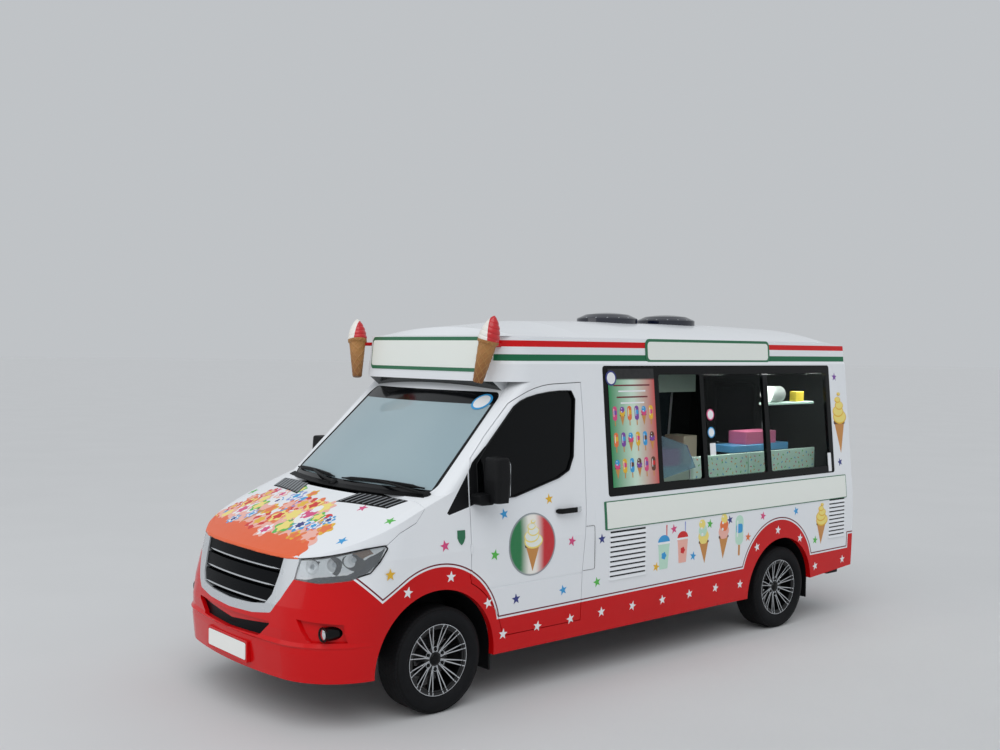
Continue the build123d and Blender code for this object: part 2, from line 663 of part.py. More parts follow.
with BuildPart() as mirror_head:
    with BuildSketch(Plane.XY.offset(MIRROR_Z)):
        with Locations((MIRROR_X, station(MIRROR_S))):
            RectangleRounded(MIRROR_WIDTH, MIRROR_DEPTH, MIRROR_CORNER)
    extrude(amount=MIRROR_HEIGHT / 2, both=True, taper=4)
    fillet(mirror_head.faces().sort_by(Axis.Z)[-1].edges(), 18)
    arm_s, arm_z, arm_length, arm_depth = MIRROR_ARM
    with BuildSketch(Plane.YZ.offset(side_x(arm_z) - 10)):
        with Locations((station(arm_s), arm_z)):
            RectangleRounded(arm_length, arm_depth, 20)
    extrude(amount=MIRROR_X - side_x(arm_z))
    add(side_strip(0, 400, 0, CAB_REAR), mode=Mode.SUBTRACT)

# Serving body: the two side walls, with the window, the wheel arches and the vent panels.
with BuildPart() as plain_wall:
    add(side_strip(0, WALL, CAB_REAR, TAIL))
    add(side_prism(WALL_FOOT), mode=Mode.SUBTRACT)
    add(arch_bar(REAR_ARCH, 0, 1300), mode=Mode.SUBTRACT)

with BuildPart() as vent_slats:
    for front, rear, low, high in VENTS:
        step = (high - low) / VENT_COUNT
        for row in range(VENT_COUNT):
            z = low + step * row
            with BuildSketch(Plane.XZ.offset(-station(front))):
                with BuildLine():
                    Polyline(
                        (side_x(z) - WALL / 2, z), (side_x(z) + VENT_PROUD, z),
                        (side_x(z + step) - 2, z + step * 0.8), (side_x(z) - WALL / 2, z + step * 0.8),
                        close=True,
                    )
                make_face()
            extrude(amount=front - rear)

with BuildPart() as side_wall_left:
    add(plain_wall.part)
    with BuildSketch(Plane.YZ.offset(500)):
        with Locations((station((WINDOW_FRONT + WINDOW_REAR) / 2), (WINDOW_LOW + WINDOW_HIGH) / 2)):
            RectangleRounded(WINDOW_REAR - WINDOW_FRONT, WINDOW_HIGH - WINDOW_LOW, 25)
    extrude(amount=800, mode=Mode.SUBTRACT)
    add(vent_slats.part)

with BuildPart() as side_wall_right:
    add(mirrored(plain_wall.part))
    with BuildSketch(Plane.YZ.offset(-500)):
        with Locations((station((OFF_WINDOW[0] + OFF_WINDOW[1]) / 2), (OFF_WINDOW[2] + OFF_WINDOW[3]) / 2)):
            RectangleRounded(OFF_WINDOW[1] - OFF_WINDOW[0], OFF_WINDOW[3] - OFF_WINDOW[2], 60)
    extrude(amount=-800, mode=Mode.SUBTRACT)

with BuildPart() as window_frame:
    add(side_strip(-2, FRAME_DEPTH, WINDOW_FRONT, WINDOW_REAR))
    with BuildSketch(Plane.YZ.offset(500)):
        with Locations((station((WINDOW_FRONT + WINDOW_REAR) / 2), (WINDOW_LOW + WINDOW_HIGH) / 2)):
            RectangleRounded(WINDOW_REAR - WINDOW_FRONT - 2 * SEAT_GAP, WINDOW_HIGH - WINDOW_LOW - 2 * SEAT_GAP, 25)
    extrude(amount=800, mode=Mode.INTERSECT)
    with BuildSketch(Plane.YZ.offset(500)):
        for front, rear in PANES:
            with Locations((station((front + rear) / 2), (PANE_LOW + PANE_HIGH) / 2)):
                RectangleRounded(rear - front, PANE_HIGH - PANE_LOW, 20)
    extrude(amount=800, mode=Mode.SUBTRACT)

with BuildPart() as saloon_glass:
    add(side_strip(10, 10 + GLASS, WINDOW_FRONT, WINDOW_REAR))
    with BuildSketch(Plane.YZ.offset(500)):
        for front, rear in PANES[1:]:
            with Locations((station((front + rear) / 2), (PANE_LOW + PANE_HIGH) / 2)):
                RectangleRounded(rear - front - 2 * SEAT_GAP, PANE_HIGH - PANE_LOW - 2 * SEAT_GAP, 20)
    extrude(amount=800, mode=Mode.INTERSECT)
    with BuildPart(mode=Mode.PRIVATE) as off_pane:
        add(mirrored(side_strip(10, 10 + GLASS, OFF_WINDOW[0], OFF_WINDOW[1])))
        with BuildSketch(Plane.YZ.offset(-500)):
            with Locations((station((OFF_WINDOW[0] + OFF_WINDOW[1]) / 2), (OFF_WINDOW[2] + OFF_WINDOW[3]) / 2)):
                RectangleRounded(
                    OFF_WINDOW[1] - OFF_WINDOW[0] - 2 * SEAT_GAP, OFF_WINDOW[3] - OFF_WINDOW[2] - 2 * SEAT_GAP, 60
                )
        extrude(amount=-800, mode=Mode.INTERSECT)
    add(off_pane.part)

# Rear wall between the side walls, with its door.
def body_section(inset, low, high):
    """Front view of the whole body between two heights, drawn in by an inset."""
    with BuildSketch(Plane.XZ) as face:
        with BuildLine():
            for hand in (1, -1):
                hip = (hand * (HIP_X - inset), HIP_Z)
                TangentArc(hip, (hand * (SILL_X - inset), SILL_Z), tangent=(0, -1))
                TangentArc(hip, (hand * (BELT_X - inset), BELT_Z), tangent=(0, 1))
                Line((hand * (BELT_X - inset), BELT_Z), (hand * (EAVE_X - inset), EAVE_Z))
            Line((SILL_X - inset, SILL_Z), (inset - SILL_X, SILL_Z))
            Line((EAVE_X - inset, EAVE_Z), (inset - EAVE_X, EAVE_Z))
        make_face()
        with Locations((0, (low + high) / 2)):
            Rectangle(3000, high - low, mode=Mode.INTERSECT)
    return face.sketch_local


with BuildPart() as rear_wall:
    add(lengthwise(body_section(WALL, REAR_FOOT, EAVE_Z), TAIL - REAR_WALL, TAIL))
    with BuildSketch(Plane.XZ.offset(-station(TAIL))):
        with Locations((REAR_DOOR_X, (REAR_DOOR_LOW + REAR_DOOR_HIGH) / 2)):
            RectangleRounded(REAR_DOOR_WIDTH + 2 * SHUT_GAP, REAR_DOOR_HIGH - REAR_DOOR_LOW + 2 * SHUT_GAP, 40)
    extrude(amount=REAR_WALL * 2, both=True, mode=Mode.SUBTRACT)
    add(plate_seat(REAR_PLATE, 1, False))
    add(plate_seat(REAR_PLATE, 1, True), mode=Mode.SUBTRACT)
    lost, gained = fixed_hinge(REAR_HINGE)
    add(lost, mode=Mode.SUBTRACT)
    add(gained)

with BuildPart() as rear_door:
    with BuildSketch(Plane.XZ.offset(-station(TAIL))):
        with Locations((REAR_DOOR_X, (REAR_DOOR_LOW + REAR_DOOR_HIGH) / 2)):
            RectangleRounded(REAR_DOOR_WIDTH, REAR_DOOR_HIGH - REAR_DOOR_LOW, 36)
        with Locations((REAR_DOOR_X, REAR_GLASS_Z)):
            RectangleRounded(REAR_GLASS_WIDTH, REAR_GLASS_HEIGHT, 50, mode=Mode.SUBTRACT)
    extrude(amount=REAR_WALL)
    lost, gained, bore = moving_hinge(REAR_HINGE)
    add(lost, mode=Mode.SUBTRACT)
    add(gained)
    add(bore, mode=Mode.SUBTRACT)

with BuildPart() as rear_door_glass:
    with BuildSketch(Plane.XZ.offset(-station(TAIL - 10))):
        with Locations((REAR_DOOR_X, REAR_GLASS_Z)):
            RectangleRounded(REAR_GLASS_WIDTH - 2 * SEAT_GAP, REAR_GLASS_HEIGHT - 2 * SEAT_GAP, 50)
    extrude(amount=GLASS)

with BuildPart() as tail_lamps:
    for hand in (1, -1):
        with BuildSketch(Plane.XZ.offset(-station(TAIL))):
            with Locations((hand * TAIL_LAMP_X, TAIL_LAMP_Z)):
                RectangleRounded(TAIL_LAMP_WIDTH, TAIL_LAMP_HEIGHT, 30)
        extrude(amount=-TAIL_LAMP_DEPTH)


# Roof moulding with its upright band, and the front sign box.
def roof_loft(inset, stations):
    """Block lofted along the body through sections of band and crown, drawn in by an inset."""
    with BuildPart() as block:
        for s, crown, drop in stations:
            with BuildSketch(Plane.XZ.offset(-station(s))):
                with BuildLine():
                    ThreePointArc(
                        (inset - CANT_X, CANT_Z - drop), (0, CANT_Z - drop + crown - inset), (CANT_X - inset, CANT_Z - drop)
                    )
                    Polyline(
                        (CANT_X - inset, CANT_Z - drop), (BAND_X - inset, BAND_Z), (EAVE_X - inset, EAVE_Z),
                        (inset - EAVE_X, EAVE_Z), (inset - BAND_X, BAND_Z), (inset - CANT_X, CANT_Z - drop),
                    )
                make_face()
        loft(ruled=True)
    return block.part


ROOF_STATIONS = [(s, crown, 0) for s, crown in ROOF_CROWN] + [(TAIL, ROOF_TAIL_CROWN, ROOF_TAIL_DROP)]
with BuildPart() as roof:
    add(roof_loft(0, ROOF_STATIONS))
    add(roof_loft(ROOF_SKIN, ROOF_STATIONS[:-1] + [(TAIL - ROOF_SKIN, ROOF_TAIL_CROWN + 12, ROOF_TAIL_DROP - 6)]), mode=Mode.SUBTRACT)

BOX_DOME = ((BOX_FRONT + 60, 4, 0), (BOX_FRONT + 190, 72, 0), (CAB_REAR, ROOF_CROWN[0][1], 0))


def box_dome(inset):
    """The dome behind the sign, over the cab."""
    with BuildPart() as dome:
        for s, crown, drop in BOX_DOME:
            share = (s - BOX_FRONT) / (830 - BOX_FRONT)
            wide = side_x(CANT_Z) - inset - max(0, 1 - share) * 70
            with BuildSketch(Plane.XZ.offset(-station(s + inset * (s < CAB_REAR)))):
                with BuildLine():
                    ThreePointArc((-wide, CANT_Z - inset), (0, CANT_Z + crown - inset), (wide, CANT_Z - inset))
                    Line((wide, CANT_Z - inset), (-wide, CANT_Z - inset))
                make_face()
        loft(ruled=True)
    return dome.part


with BuildPart() as soffit:
    with BuildSketch(Plane.YZ):
        with BuildLine():
            Polyline(*[(station(s), z) for s, z in SOFFIT], close=True)
        make_face()
    extrude(amount=SOFFIT_HALF, both=True)
    add(plan_loft(SCREEN_LEVELS, 0, CAB_REAR), mode=Mode.SUBTRACT)

with BuildPart() as sign_box:
    add(plan_loft(BOX_LEVELS, 0, CAB_REAR))
    add(box_dome(0))
    add(plan_loft(BOX_LEVELS, BOX_SKIN, CAB_REAR), mode=Mode.SUBTRACT)
    add(box_dome(BOX_SKIN), mode=Mode.SUBTRACT)
    add(soffit.part)
    with BuildSketch(Plane.XY.offset(HEAD_Z)):
        with Locations((0, station(745))):
            Rectangle(1400, 260)
    extrude(amount=BOX_SKIN)

# Two round roof lights on the dome.
with BuildPart() as roof_lights:
    for s in LIGHT_STATIONS:
        with BuildSketch(Plane.XZ.offset(-station(s))):
            with BuildLine():
                Polyline((0, CANT_Z), (LIGHT_R, CANT_Z), (LIGHT_R, LIGHT_RIM_Z), (LIGHT_R - 20, LIGHT_RIM_Z + 12))
                Polyline(
                    (LIGHT_R - 20, LIGHT_RIM_Z + 12), (LIGHT_R * 0.72, LIGHT_TOP_Z - 17),
                    (LIGHT_R * 0.4, LIGHT_TOP_Z - 5), (LIGHT_R * 0.12, LIGHT_TOP_Z), (0, LIGHT_TOP_Z), (0, CANT_Z),
                )
            make_face()
        revolve(axis=Axis((0, station(s), 0), (0, 0, 1)))
    with BuildSketch(Plane.XZ.offset(-station(LIGHT_STATIONS[0] - 2 * LIGHT_R))):
        with BuildLine():
            crown = ThreePointArc((-CANT_X, CANT_Z), (0, CANT_Z + ROOF_CROWN[1][1]), (CANT_X, CANT_Z))
            Polyline(crown @ 1, (CANT_X, CANT_Z - 100), (-CANT_X, CANT_Z - 100), crown @ 0)
        make_face()
    extrude(amount=-(LIGHT_STATIONS[1] - LIGHT_STATIONS[0] + 4 * LIGHT_R), mode=Mode.SUBTRACT)

def box_corner(x, z):
    """Station of the sign box's front corner surface at an X and a height in its band."""
    share = (z - BAND_Z) / (CANT_Z - BAND_Z)
    half, ends, corner = [
        low + (high - low) * share for low, high in zip(BOX_LEVELS[2][2:], BOX_LEVELS[3][2:])
    ]
    wide, run = side_x(z) - half, corner - ends
    radius = (wide ** 2 + run ** 2) / (2 * wide)
    return corner - (radius ** 2 - (x - side_x(z) + radius) ** 2) ** 0.5


# A big cone on each front corner of the sign box, leaning outwards.
cone_axis = Vector(*[rim - tip for tip, rim in zip(CONE_TIP, CONE_RIM)])
cone_length = cone_axis.length
cone_plane = Plane(
    origin=(CONE_TIP[0], station(CONE_TIP[1]), CONE_TIP[2]),
    x_dir=(1, 0, -cone_axis.X / cone_axis.Z), z_dir=tuple(cone_axis),
)
with BuildPart() as cone:
    with BuildSketch(Plane(origin=cone_plane.origin, x_dir=cone_plane.x_dir, z_dir=-cone_plane.y_dir)):
        with BuildLine():
            Polyline(
                (0, 0), (CONE_TIP_R - 8, 0), (CONE_TIP_R, 8), (CONE_TOP_R, cone_length - 30),
                (CONE_RIM_R, cone_length - 22), (CONE_RIM_R, cone_length), (CONE_SWIRL_R, cone_length),
            )
            Polyline(
                *[(CONE_SWIRL_R * r, cone_length + CONE_SWIRL * h) for r, h in SWIRL], (0, 0)
            )
        make_face()
    revolve(axis=Axis(cone_plane.origin, tuple(cone_axis)))
    with BuildSketch(Plane.XZ.offset(-station(CONE_RIM[1]))):
        with Locations((BRACKET_X, CONE_RIM[2] - 36)):
            Rectangle(2 * BRACKET_HALF, 30)
    extrude(amount=CONE_RIM[1] + SEAT_GAP - box_corner(BRACKET_X - BRACKET_HALF, CONE_RIM[2] - 51))
with BuildPart() as roof_cones:
    add(cone.part)
    add(mirrored(cone.part))

# Floor, toe board, chassis rails and the engine's block.
with BuildPart() as floor:
    add(lengthwise(body_section(WALL + SEAT_GAP, FLOOR_TOP - FLOOR_THICK, FLOOR_TOP), CAB_REAR, TAIL - REAR_WALL))
    with BuildSketch(Plane.XY.offset(FLOOR_TOP)):
        with Locations((0, station((TOE_BOARD + CAB_REAR) / 2))):
            Rectangle(2 * CAB_FLOOR_X, CAB_REAR - TOE_BOARD)
    extrude(amount=-FLOOR_THICK)
    with BuildSketch(Plane.XY.offset(FLOOR_TOP - FLOOR_THICK)):
        with Locations((0, station(TOE_BOARD))):
            Rectangle(2 * CAB_FLOOR_X, FLOOR_THICK)
    extrude(amount=BULKHEAD_TOP - FLOOR_TOP + FLOOR_THICK)
    for hand in (1, -1):
        s, z, radius = REAR_ARCH
        with BuildSketch(Plane.XY.offset(FLOOR_TOP - FLOOR_THICK)):
            with Locations((hand * (REAR_WELL_INNER_X + 200 - SEAT_GAP), station(s))):
                Rectangle(400, 2 * (radius + SEAT_GAP))
        extrude(amount=2 * FLOOR_THICK, mode=Mode.SUBTRACT)
        s, z, radius = FRONT_ARCH
        with BuildSketch(Plane.YZ.offset(hand * (WELL_INNER_X - SEAT_GAP))):
            with Locations((station(s), z)):
                Circle(radius + LINER + SEAT_GAP)
        extrude(amount=hand * 500, mode=Mode.SUBTRACT)

with BuildPart() as chassis:
    for hand in (1, -1):
        with BuildSketch(Plane.XY.offset(FLOOR_TOP - FLOOR_THICK)):
            with Locations((hand * RAIL_X, station((RAIL_FRONT + RAIL_REAR) / 2))):
                Rectangle(RAIL_WIDTH, RAIL_REAR - RAIL_FRONT)
        extrude(amount=-RAIL_HEIGHT)
    for s in CROSS_STATIONS:
        with BuildSketch(Plane.XY.offset(FLOOR_TOP - FLOOR_THICK - CROSS_DROP)):
            with Locations((0, station(s))):
                Rectangle(2 * RAIL_X, CROSS_WIDTH)
        extrude(amount=-CROSS_HEIGHT)
    for s in JACK_STATIONS:
        with BuildSketch(Plane.XY.offset(FLOOR_TOP - FLOOR_THICK - RAIL_HEIGHT)):
            with Locations((RAIL_X, station(s)), (-RAIL_X, station(s))):
                RectangleRounded(*JACK_PAD[:2], 8)
        extrude(amount=-JACK_PAD[2])
    with BuildSketch(Plane.XZ.offset(-station(BUMPER_BEAM))):
        with Locations((0, RAIL_Z)):
            Rectangle(2 * BEAM_HALF, BEAM_HEIGHT)
    extrude(amount=-BEAM_DEPTH)

    for hand in (1, -1):
        for end in (1, -1):
            with BuildSketch(Plane.XY.offset(FLOOR_TOP - FLOOR_THICK)):
                with Locations((hand * (RAIL_X + HANGER_REACH / 2), REAR_AXLE + end * HANGER_STATION)):
                    Rectangle(HANGER_REACH, HANGER_LENGTH)
            extrude(amount=-RAIL_HEIGHT)

with BuildPart() as under_fittings:
    for x, s, wide, length, low, high in TANKS:
        with BuildSketch(Plane.XZ.offset(-station(s))):
            with Locations((x, (low + high) / 2)):
                RectangleRounded(wide, high - low, 45)
        extrude(amount=-length)
    shaft_start = Vector(0, station(GEARBOX_REAR - 20), SHAFT_Z)
    shaft = Vector(0, REAR_AXLE - DIFF_R - SEAT_GAP, AXLE_Z) - shaft_start
    with BuildSketch(Plane(origin=shaft_start, z_dir=shaft)):
        Circle(SHAFT_R)
    extrude(amount=shaft.length + 20)
    with Locations((0, REAR_AXLE, AXLE_Z)):
        Box(2 * DIFF_R, 2 * (DIFF_R + SEAT_GAP), 2 * DIFF_R, mode=Mode.SUBTRACT)
    with BuildSketch(Plane.XZ.offset(-station(ENGINE_REAR + SEAT_GAP))):
        with Locations((0, SHAFT_Z)):
            RectangleRounded(*GEARBOX, 60)
    extrude(amount=-(GEARBOX_REAR - ENGINE_REAR), taper=6)

with BuildPart() as rear_bumper:
    with BuildSketch(Plane.YZ.offset(-STEP_HALF)):
        with Locations((station((STEP_FRONT + TAIL + 4) / 2), (STEP_LOW + STEP_HIGH) / 2)):
            RectangleRounded(TAIL + 4 - STEP_FRONT, STEP_HIGH - STEP_LOW, 12)
    extrude(amount=2 * STEP_HALF)
    for hand in (1, -1):
        with BuildSketch(Plane.XY.offset(STEP_LOW + 20)):
            with Locations((hand * RAIL_X, station(RAIL_REAR + SEAT_GAP + 30))):
                Rectangle(RAIL_WIDTH, 60)
        extrude(amount=FLOOR_TOP - FLOOR_THICK - 10 - STEP_LOW - 20)

with BuildPart() as engine:
    with BuildSketch(Plane.XY.offset(ENGINE_LOW)):
        with Locations((0, station((ENGINE_FRONT + ENGINE_REAR) / 2))):
            Rectangle(ENGINE_WIDTH, ENGINE_REAR - ENGINE_FRONT)
    extrude(amount=ENGINE_HIGH - ENGINE_LOW)
    add(chassis.part, mode=Mode.SUBTRACT)


# Wheel arch liners with the mud flaps behind the wheels.
def arch_liner(arch, inner_x, depth_in, notch):
    """Half-round liner of the left arch, closed at its inner side but for a notch round the axle."""
    s, z, radius = arch
    with BuildPart() as liner:
        with BuildSketch(Plane.YZ.offset(inner_x)):
            with Locations((station(s), z)):
                Circle(radius + LINER)
                Rectangle(3 * radius, 2 * radius, align=(Align.CENTER, Align.MAX), mode=Mode.SUBTRACT)
        extrude(amount=1100 - inner_x)
        with BuildSketch(Plane.YZ.offset(inner_x + LINER)):
            with Locations((station(s), z)):
                Circle(radius)
        extrude(amount=1100 - inner_x, mode=Mode.SUBTRACT)
        with BuildSketch(Plane.YZ.offset(inner_x)):
            with Locations((station(0) if s < 1000 else REAR_AXLE, AXLE_Z)):
                Rectangle(2 * notch[0], 2 * notch[1])
        extrude(amount=LINER, mode=Mode.SUBTRACT)
        add(side_strip(-300, depth_in + SEAT_GAP, -700, TAIL), mode=Mode.SUBTRACT)
    return liner.part


with BuildPart() as arch_liners:
    for arch, inner_x, depth, notch in LINERS:
        liner = arch_liner(arch, inner_x, depth, notch)
        add(liner)
        add(mirrored(liner))
    for s, near, far, low, high in FLAPS:
        for hand in (1, -1):
            with BuildSketch(Plane.XY.offset(low)):
                with Locations((hand * (near + far) / 2, station(s + FLAP / 2))):
                    Rectangle(far - near, FLAP)
            extrude(amount=high - low)


def wheel_plane(hand, axle):
    """XZ plane through a wheel's centre, its first axis pointing outwards."""
    return Plane(origin=(hand * TRACK_HALF, axle, AXLE_Z), x_dir=(hand, 0, 0), z_dir=(0, -hand, 0))


def make_tyre(hand, axle):
    """One tyre, turned about its axle."""
    half = TYRE_WIDTH / 2
    bead = RIM_WIDTH / 2 - FLANGE - SEAT_GAP
    with BuildPart() as tyre:
        with BuildSketch(wheel_plane(hand, axle)):
            with BuildLine():
                Line((-bead, BEAD_R), (bead, BEAD_R))
                Line((half - TREAD_CUT, TYRE_R), (TREAD_CUT - half, TYRE_R))
                for side in (1, -1):
                    Line((side * bead, BEAD_R), (side * bead, FLANGE_R + SEAT_GAP))
                    ThreePointArc(
                        (side * bead, FLANGE_R + SEAT_GAP), (side * half, BULGE_R), (side * (half - 12), SHOULDER_R)
                    )
                    ThreePointArc(
                        (side * (half - 12), SHOULDER_R), (side * (half - 20), TYRE_R - 5), (side * (half - TREAD_CUT), TYRE_R)
                    )
            make_face()
        revolve(axis=Axis((0, axle, AXLE_Z), (1, 0, 0)))
    return tyre.part


def make_rim(hand, axle):
    """One rim with its disc of spokes and hub."""
    half = RIM_WIDTH / 2
    with BuildPart() as rim:
        with BuildSketch(wheel_plane(hand, axle)) as barrel:
            with BuildLine():
                Polyline(
                    (-half, FLANGE_R), (FLANGE - half, FLANGE_R), (FLANGE - half, BEAD_R - SEAT_GAP),
                    (half - FLANGE, BEAD_R - SEAT_GAP), (half - FLANGE, FLANGE_R), (half, FLANGE_R),
                    (half, FLANGE_R - 8), (half - 4, BARREL_R + 6), (half - 22, BARREL_R), (22 - half, BARREL_R),
                    (4 - half, BARREL_R + 6), (-half, FLANGE_R - 8), close=True,
                )
            make_face()
        revolve(axis=Axis((0, axle, AXLE_Z), (1, 0, 0)))
        with BuildSketch(wheel_plane(hand, axle)):
            with BuildLine():
                Polyline(
                    (HUB_FACE, 0), (HUB_FACE + 30, 0), (HUB_FACE + 30, 34), (HUB_FACE + 22, 38), (HUB_FACE + 22, 82),
                    (half - 8, BARREL_R + 3), (half - 30, BARREL_R + 3), (HUB_FACE, 86), close=True,
                )
            make_face()
        revolve(axis=Axis((0, axle, AXLE_Z), (1, 0, 0)))
        with BuildSketch(Plane(origin=(hand * TRACK_HALF, axle, AXLE_Z), x_dir=(0, 1, 0), z_dir=(1, 0, 0))):
            for near, half_near, half_far, turn in SPOKE_GAPS:
                with PolarLocations(0, SPOKES, start_angle=turn):
                    Polygon(
                        (near, -half_near), (BARREL_R - 6, -half_far), (BARREL_R - 6, half_far), (near, half_near),
                        align=None,
                    )
        extrude(amount=hand * half, mode=Mode.SUBTRACT)
    return rim.part


def make_knuckle(hand):
    """Front knuckle: hub stub, upright and the kingpins above and below it."""
    x = hand * KINGPIN_X
    with BuildPart() as knuckle:
        with BuildSketch(Plane.YZ.offset(hand * (KINGPIN_X - 25))):
            with Locations((FRONT_AXLE, AXLE_Z)):
                Circle(STUB_R)
        extrude(amount=hand * (TRACK_HALF + HUB_FACE - SEAT_GAP - KINGPIN_X + 25))
        with BuildSketch(Plane.XY.offset(AXLE_Z)):
            with Locations((x, FRONT_AXLE)):
                Circle(UPRIGHT_R)
        extrude(amount=UPRIGHT_HALF, both=True)
        with BuildSketch(Plane.XY.offset(AXLE_Z)):
            with Locations((x, FRONT_AXLE)):
                Circle(PIN_R)
        extrude(amount=UPRIGHT_HALF + FORK_PLATE, both=True)
    return knuckle.part


with BuildPart() as front_axle:
    with BuildSketch(Plane.XZ.offset(-FRONT_AXLE)):
        with BuildLine():
            for hand in (1, -1):
                Polyline(
                    (0, SUBFRAME_LOW), (hand * 330, SUBFRAME_LOW), (hand * 560, AXLE_Z - UPRIGHT_HALF - FORK_PLATE),
                    (hand * (KINGPIN_X + 28), AXLE_Z - UPRIGHT_HALF - FORK_PLATE),
                    (hand * (KINGPIN_X + 28), AXLE_Z - UPRIGHT_HALF - FORK_GAP),
                    (hand * 640, AXLE_Z - UPRIGHT_HALF - FORK_GAP), (hand * 640, AXLE_Z + UPRIGHT_HALF + FORK_GAP),
                    (hand * (KINGPIN_X + 28), AXLE_Z + UPRIGHT_HALF + FORK_GAP),
                    (hand * (KINGPIN_X + 28), AXLE_Z + UPRIGHT_HALF + FORK_PLATE),
                    (hand * 560, AXLE_Z + UPRIGHT_HALF + FORK_PLATE), (hand * 330, SUBFRAME_HIGH), (0, SUBFRAME_HIGH),
                )
        make_face()
    extrude(amount=AXLE_DEPTH / 2, both=True)
    with BuildSketch(Plane.XY.offset(AXLE_Z)):
        with Locations((KINGPIN_X, FRONT_AXLE), (-KINGPIN_X, FRONT_AXLE)):
            Circle(PIN_R + PIN_CLEARANCE)
    extrude(amount=300, both=True, mode=Mode.SUBTRACT)
    for hand in (1, -1):
        with BuildSketch(Plane.XY.offset(SUBFRAME_HIGH - 20)):
            with Locations((hand * RAIL_X, FRONT_AXLE)):
                Rectangle(RAIL_WIDTH, AXLE_DEPTH)
        extrude(amount=FLOOR_TOP - FLOOR_THICK - RAIL_HEIGHT - SUBFRAME_HIGH + 20)

with BuildPart() as rear_axle:
    with BuildSketch(Plane.YZ.offset(-(TRACK_HALF + HUB_FACE - SEAT_GAP))):
        with Locations((REAR_AXLE, AXLE_Z)):
            Circle(BEAM_R)
    extrude(amount=2 * (TRACK_HALF + HUB_FACE - SEAT_GAP))
    with BuildSketch(Plane.XZ.offset(-REAR_AXLE)):
        with Locations((0, AXLE_Z)):
            Circle(DIFF_R)
    extrude(amount=DIFF_R, both=True, taper=20)
    for hand in (1, -1):
        with BuildSketch(Plane.YZ.offset(hand * (SPRING_X - SPRING_WIDTH / 2))):
            with BuildLine():
                leaf = ThreePointArc(
                    (REAR_AXLE - SPRING_HALF, FLOOR_TOP - FLOOR_THICK - RAIL_HEIGHT - 30), (REAR_AXLE, AXLE_Z + BEAM_R - 10),
                    (REAR_AXLE + SPRING_HALF, FLOOR_TOP - FLOOR_THICK - RAIL_HEIGHT - 30),
                )
                offset(leaf, amount=SPRING_THICK, side=Side.LEFT)
            make_face()
        extrude(amount=hand * SPRING_WIDTH)
        for end in (1, -1):
            with BuildSketch(Plane.XY.offset(FLOOR_TOP - FLOOR_THICK - RAIL_HEIGHT - SEAT_GAP)):
                with Locations((hand * SPRING_X, REAR_AXLE + end * HANGER_STATION)):
                    Rectangle(SPRING_WIDTH, HANGER_LENGTH)
            extrude(amount=-SHACKLE)

# Cab furniture: dashboard with the wheel on the right-hand side, and two seats.
with BuildPart() as dashboard:
    with BuildSketch(Plane.YZ):
        with BuildLine():
            Polyline(*[(station(s), z) for s, z in DASH], close=True)
        make_face()
    extrude(amount=DASH_HALF, both=True)
    wheel_axis = Plane(origin=(DRIVER_X, station(WHEEL_S), WHEEL_Z), z_dir=(0, cos(radians(WHEEL_TILT)), sin(radians(WHEEL_TILT))))
    with BuildSketch(wheel_axis):
        Circle(30)
    extrude(amount=-260)
    with BuildSketch(wheel_axis.offset(-12)):
        Circle(62)
        Rectangle(2 * STEER_R - 10, 40)
        with Locations((0, -80)):
            Rectangle(40, 160)
    extrude(amount=20)
    with BuildSketch(Plane(origin=wheel_axis.origin, x_dir=wheel_axis.x_dir, z_dir=wheel_axis.y_dir)):
        with Locations((STEER_R, 0)):
            Circle(15)
    revolve(axis=Axis(wheel_axis.origin, wheel_axis.z_dir))

with BuildPart() as seats:
    for x in (DRIVER_X, -DRIVER_X):
        with BuildSketch(Plane.YZ.offset(x)):
            with BuildLine():
                Polyline(*[(station(s), z) for s, z in SEAT], close=True)
            make_face()
        extrude(amount=SEAT_WIDTH / 2, both=True)
        with BuildSketch(Plane.XY.offset(FLOOR_TOP)):
            with Locations((x, station(920))):
                Rectangle(360, 380)
        extrude(amount=SEAT[0][1] - FLOOR_TOP)

# Serving counter under the window, and the cabinets and machine behind it.
with BuildPart() as counter:
    add(lengthwise(body_section(WALL + SEAT_GAP, FLOOR_TOP, COUNTER_TOP), WINDOW_FRONT + 40, WINDOW_REAR))
    with BuildSketch(Plane.XY.offset(FLOOR_TOP)):
        with Locations((COUNTER_X - 1500, 0)):
            Rectangle(3000, 9000)
    extrude(amount=1500, mode=Mode.SUBTRACT)
    s, z, radius = REAR_ARCH
    with BuildSketch(Plane.YZ):
        with Locations((station(s), z)):
            Circle(radius + LINER + SEAT_GAP)
    extrude(amount=1200, mode=Mode.SUBTRACT)

with BuildPart() as cabinets:
    for front, rear, depth, low, high in CABINETS:
        with BuildSketch(Plane.XY.offset(low)):
            with Locations((-(EAVE_X - WALL - SEAT_GAP - depth / 2), station((front + rear) / 2))):
                Rectangle(depth, rear - front)
        extrude(amount=high - low)
    s, z, radius = REAR_ARCH
    with BuildSketch(Plane.YZ.offset(-1200)):
        with Locations((station(s), z)):
            Circle(radius + LINER + SEAT_GAP)
    extrude(amount=1200, mode=Mode.SUBTRACT)

